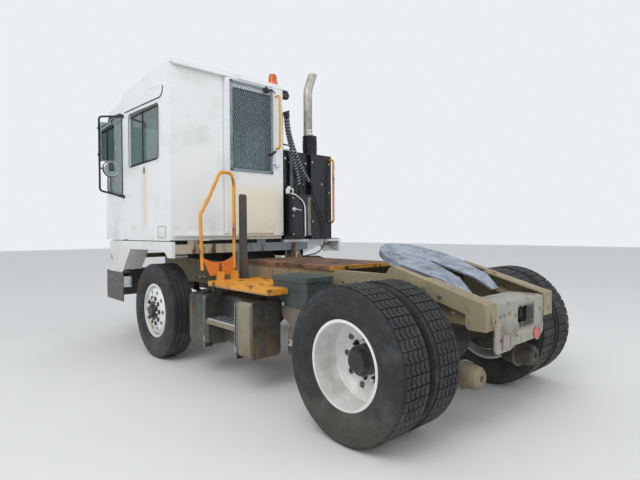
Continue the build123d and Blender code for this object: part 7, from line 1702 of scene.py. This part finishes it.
@dataclass
class ChassisFittings:
    """Straps, gratings, bolts and other fittings along the frame, the tank and the toolbox."""
    tank_outer: float = 1.15
    tank_inner: float = 0.842
    tank_top: float = 0.79
    tank_bottom: float = 0.33
    tank_corner: float = 0.045
    strap_spans: tuple = ((-0.64, -0.606), (-0.08, -0.046))
    rail_y: float = 0.5205
    frame_y: float = 0.43
    rail_bolts: tuple = ((-1.446, 0.978), (-1.614, 0.999), (-2.114, 0.967), (-2.353, 0.822), (-1.3, 0.96),
                         (-2.25, 0.93))
    tail_bolts: tuple = ((0.436, 0.788), (0.312, 0.805), (0.253, 0.808), (0.168, 0.815), (0.08, 0.787),
                         (-0.322, 0.793), (-0.461, 0.783))
    tail_x: float = -2.583
    ear_x: float = -2.593
    chamber: Point = (-2.366, 0.42, 0.392)
    coupler_top: Point = (-1.841, 0.0, 1.13)
    coupler_tilt: float = 18.9
    tail_holes: tuple = ((0.392, 0.782), (0.028, 0.827), (0.06, 0.64), (-0.3, 0.66), (0.3, 0.64))

    def build(self) -> None:
        """Make every fitting."""
        self._tank_straps()
        self._tank_step()
        self._tank_cap()
        self._toolbox()
        self._rail_bolts()
        self._tail_plate()
        self._brake_chambers()
        self._fifth_wheel()
        self._side_step()
        self._arches()

    def _strap_path(self, lift: float) -> list[Pair]:
        """The strap's way over the tank in y and z, a little off its skin."""
        corner, points = self.tank_corner, [(self.tank_inner, self.tank_top + lift)]
        for i in range(9):
            angle = math.pi / 2 * (1 - i / 8)
            points.append((self.tank_outer - corner + (corner + lift) * math.cos(angle),
                           self.tank_top - corner + (corner + lift) * math.sin(angle)))
        return [*points, (self.tank_outer + lift, self.tank_bottom)]

    def _band(self, form: Form, low_x: float, high_x: float, low: float, high: float) -> None:
        """Add one band over the tank between two heights off its skin."""
        outline = [*self._strap_path(low), *reversed(self._strap_path(high))]
        form.slab([(low_x, *place) for place in outline], AHEAD * (high_x - low_x))

    def _tank_straps(self) -> None:
        """Dark straps with bright edges over the tank, and their feet."""
        straps, edges = Form(), Form()
        for low_x, high_x in self.strap_spans:
            self._band(straps, low_x, high_x, -0.001, 0.004)
            for x in (low_x, high_x - 0.005):
                self._band(edges, x, x + 0.005, 0.0035, 0.0065)
            middle = (low_x + high_x) / 2
            straps.block((low_x - 0.006, 1.08, 0.292), (high_x + 0.006, 1.156, 0.334), 0.004)
            edges.rod((middle, 1.158, 0.345), (middle, 1.158, 0.395), 0.007, bevel=0.001)
            edges.bolt((middle, 1.155, 0.312), LEFT, 0.009)
        straps.finish("tank_straps", "seal_rubber", "root", "black_paint", 40.0)
        edges.finish("tank_strap_edges", "bright_trim", "root", "stainless", 40.0)

    @staticmethod
    def _tank_step() -> None:
        """The grating on the step in the tank's recess."""
        form = Form()
        for i in range(13):
            x = -0.586 + i * 0.0405
            form.block((x - 0.004, 0.975, 0.556), (x + 0.004, 1.14, 0.574), 0.001, 1)
        for y in (0.975, 1.03, 1.085, 1.138):
            form.block((-0.596, y - 0.003, 0.556), (-0.092, y + 0.003, 0.576), 0.001, 1)
        form.finish("tank_step_grating", "bright_trim", "root", "stainless")

    def _tank_cap(self) -> None:
        """The filler neck with its ribbed cap and chain tab."""
        form = Form()
        spot = (-0.005, 1.092, self.tank_top)
        form.turned(spot, UP, ((0, -0.004), (0.036, -0.004), (0.034, 0.018), (0.044, 0.02), (0.046, 0.04),
                               (0.042, 0.046), (0, 0.048)), 32)
        for i in range(10):
            angle = math.tau * i / 10
            spoke = Vector((math.cos(angle), math.sin(angle), 0))
            foot = Vector(spot) + spoke * 0.0445
            form.rod(foot + UP * 0.022, foot + UP * 0.04, 0.0035, segments=8)
        form.block((0.038, 1.086, 0.796), (0.09, 1.098, 0.802), 0.001, 1)
        form.finish("tank_cap", "seal_rubber", "root", "black_paint", 50.0)

    @staticmethod
    def _toolbox() -> None:
        """The toolbox's round marker."""
        form = Form()
        form.turned((-0.849, 0.8145, 0.757), LEFT,
                    ((0, 0.003), (0.016, 0.003), (0.018, 0.001), (0.018, -0.001)), 24)
        form.finish("toolbox_marker", "white_trim", "root", "white_paint", 50.0)

    def _rail_bolts(self) -> None:
        """Bolts along the outside of the tail ramps and the frame rails."""
        form = Form()
        for side in Side:
            for x, z in self.rail_bolts:
                form.bolt((x, side.value * self.rail_y, z), side.out, 0.013)
        for side in Side:
            for x in (-1.02, -0.9, -0.42, -0.18, 0.3, 0.62, 1.35, 1.7):
                for z in (0.8, 0.975):
                    form.bolt((x, side.value * self.frame_y, z), side.out, 0.01)
        form.finish("rail_bolts", "bolt_steel", "root", "stainless")

    def _tail_x(self, y: float) -> float:
        """Where the tail's face is at a side place; the ears past the middle plate stand further back."""
        return self.ear_x if abs(y) > 0.38 else self.tail_x

    def _tail_plate(self) -> None:
        """Bolts, plugged holes and sockets on the tail."""
        form = Form()
        for y, z in self.tail_bolts:
            form.bolt((self._tail_x(y), y, z), BACK, 0.01)
        for y, z in ((-0.148, 0.842), (-0.024, 0.842), (-0.162, 0.724), (-0.012, 0.724)):
            form.bolt((self.tail_x, y, z), BACK, 0.006)
        form.finish("tail_bolts", "bolt_steel", "root", "stainless")
        form = Form()
        for y, z in self.tail_holes:
            form.turned((self._tail_x(y), y, z), BACK, ((0, 0.0006), (0.0095, 0.0006), (0.01, -0.002)), 20)
        form.finish("tail_holes", "hub_black", "root", "black_paint", 50.0)
        form = Form()
        for y, z, radius in ((-0.125, 0.8, 0.024), (-0.05, 0.8, 0.024), (-0.125, 0.75, 0.016),
                             (-0.05, 0.752, 0.018)):
            form.turned((-2.54, y, z), BACK, ((radius, -0.01), (radius, 0.026), (radius - 0.004, 0.028),
                                              (radius - 0.005, 0.014), (0, 0.014)), 24)
        form.block((-2.56, -0.15, 0.735), (-2.53, -0.03, 0.822), 0.006)
        form.finish("tail_sockets", "hub_black", "root", "stainless", 50.0)

    def _brake_chambers(self) -> None:
        """The clamp bands of the two brake chambers and their bolts."""
        form = Form()
        x, away, z = self.chamber
        for side in Side:
            y = side.value * away
            form.turned((x, y, z), BACK,
                        ((0.098, 0.0), (0.1035, 0.001), (0.1035, 0.017), (0.098, 0.018), (0.098, 0.0)), 40)
            for angle in (0.6, 2.5):
                out = Vector((0, math.cos(angle), math.sin(angle)))
                centre, half = Vector((x - 0.009, y, z)) + out * 0.11, Vector((0.01, 0.012, 0.01))
                form.block(centre - half, centre + half, 0.003)
                form.bolt(centre + BACK * 0.01, BACK, 0.007)
        form.finish("brake_clamps", "bolt_steel", "root", "stainless", 40.0)

    def _fifth_wheel(self) -> None:
        """Bolt heads along both edges of the fifth wheel."""
        tilt = math.radians(self.coupler_tilt)
        ahead = Vector((math.cos(tilt), 0, math.sin(tilt)))
        up = Vector((-math.sin(tilt), 0, math.cos(tilt)))
        form = Form()
        for side in Side:
            for along in (-0.2, 0.1, 0.24):
                spot = Vector(self.coupler_top) + ahead * along - up * 0.004 + side.out * 0.3
                form.bolt(spot, up, 0.011)
        form.finish("fifth_wheel_bolts", "bolt_steel", "coupler", "worn_steel")

    @staticmethod
    def _side_step() -> None:
        """The step's bright edge and the bolts of the hoop's feet."""
        form = Form()
        form.block((-0.953, 1.0395, 0.862), (0.067, 1.0425, 0.868), 0.001, 1)
        for y in (0.69, 0.735, 1.062, 1.105):
            form.bolt((0.107, y, 0.949), UP, 0.008)
        form.finish("step_trim", "bolt_steel", "root", "stainless")

    @staticmethod
    def _arches() -> None:
        """Black strips in the gap under the cab's edge, as painted shade for the shadow there, and a dark
        sheet inside each front wheel arch.
        """
        form = Form()
        # Painted shade: black strips fill the gap between the cab and the skirt along both sides and the rear,
        # where the shadow falls.
        for side, outer in ((1, 1.215), (-1, -1.215)):
            low, high = sorted((outer, outer - side * 0.02))
            form.block((0.52, low, 1.286), (2.3, high, 1.2985), 0.002, 1)
        form.block((0.505, -0.19, 1.262), (0.52, 1.2, 1.2985), 0.002, 1)
        for side in Side:
            low, high = sorted((side.value * 0.6, side.value * 0.606))
            form.block((0.56, low, 1.062), (1.9, high, 1.285), 0.002, 1)
        form.finish("arch_linings", "arch_black", "root", "black_paint")


@dataclass
class Studio:
    """The photograph's camera, a pale floor and soft light."""
    eye: Point = (-4.068, 3.281, 1.384)
    yaw: float = -42.13
    pitch: float = -1.01
    roll: float = 0.37
    focal_pixels: float = 462.0
    width_pixels: float = 640.0
    sensor: float = 36.0
    floor_half: float = 40.0
    sky_light: float = 0.78

    def build(self) -> None:
        """Set up the view, the floor, the world and the lamps."""
        self._camera()
        self._floor()
        self._world()
        self._lamps()
        bpy.context.scene.view_settings.view_transform = "Standard"

    def _camera(self) -> None:
        """Stand the camera where the photograph was taken."""
        yaw, pitch, roll = (math.radians(a) for a in (self.yaw, self.pitch, self.roll))
        ahead = Vector((math.cos(pitch) * math.cos(yaw), math.cos(pitch) * math.sin(yaw), math.sin(pitch)))
        right = Vector((math.sin(yaw), -math.cos(yaw), 0))
        down = ahead.cross(right)
        turned_right = math.cos(roll) * right + math.sin(roll) * down
        turned_down = -math.sin(roll) * right + math.cos(roll) * down
        view = bpy.data.cameras.new("photo_camera")
        view.sensor_width = self.sensor
        view.lens = self.focal_pixels / self.width_pixels * self.sensor
        view.clip_end = 200.0
        camera = bpy.data.objects.new("photo_camera", view)
        turn = Matrix((turned_right, -turned_down, -ahead)).transposed()
        camera.matrix_world = Matrix.Translation(self.eye) @ turn.to_4x4()
        bpy.context.scene.collection.objects.link(camera)
        bpy.context.scene.camera = camera

    def _floor(self) -> None:
        """Lay a large pale floor."""
        bm = bmesh.new()
        bmesh.ops.create_grid(bm, x_segments=1, y_segments=1, size=self.floor_half)
        mesh = bpy.data.meshes.new("floor")
        bm.to_mesh(mesh)
        bm.free()
        coating = Coating("pale_floor")
        cloud = coating.sheet.placed(EFFECTS.mottle, Vector=coating.place, Scale=0.8, Low=0.2, High=0.8)
        pale = coating.sheet.mixed(cloud, (0.72, 0.72, 0.71, 1), (0.76, 0.76, 0.75, 1))
        coating.sheet.fill(coating.shader, {"Base Color": pale, "Roughness": 0.9})
        mesh.materials.append(coating.material)
        floor = bpy.data.objects.new("floor", mesh)
        bpy.context.scene.collection.objects.link(floor)

    def _world(self) -> None:
        """Light from a pale sky; the camera, gloss and glass see it as a plain backdrop."""
        world = bpy.data.worlds.new("soft_sky")
        bpy.context.scene.world = world
        world.use_nodes = True
        sheet = NodeSheet(world.node_tree)
        back = world.node_tree.nodes["Background"]
        path = sheet.add("ShaderNodeLightPath").outputs
        seen = sheet.maths("MAXIMUM", path["Is Camera Ray"],
                           sheet.maths("MAXIMUM", path["Is Glossy Ray"], path["Is Transmission Ray"]))
        back.inputs["Color"].default_value = (0.93, 0.96, 1.0, 1.0)
        sheet.feed(back.inputs["Strength"], sheet.spread(seen, 0.0, 1.0, self.sky_light, 0.9))

    def _lamps(self) -> None:
        """A broad key from high on the left and a weak fill from behind."""
        for name, spot, size, power in (("key", (-3.5, 7.5, 8.5), 6.0, 420.0),
                                        ("fill", (-9.0, -3.0, 5.0), 6.0, 130.0)):
            light = bpy.data.lights.new(name, "AREA")
            light.size = size
            light.energy = power
            lamp = bpy.data.objects.new(name, light)
            lamp.location = spot
            lamp.rotation_euler = (Vector((0, 0, 1.2)) - Vector(spot)).to_track_quat("-Z", "Y").to_euler()
            bpy.context.scene.collection.objects.link(lamp)


def main() -> None:
    """Build and dress every sub-assembly, then the studio."""
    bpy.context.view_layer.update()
    dress_frame()
    for assembly in (RoadWheels(), CabSkin(), RearDoorTrim(), RoofLamps(), Mirrors(), FrontLamps(),
                     DriverPlace(), AirLines(), StackFittings(), ChassisFittings()):
        assembly.build()
        LOG.info("%s done", type(assembly).__name__)
    Studio().build()


if __name__ == "__main__":
    main()
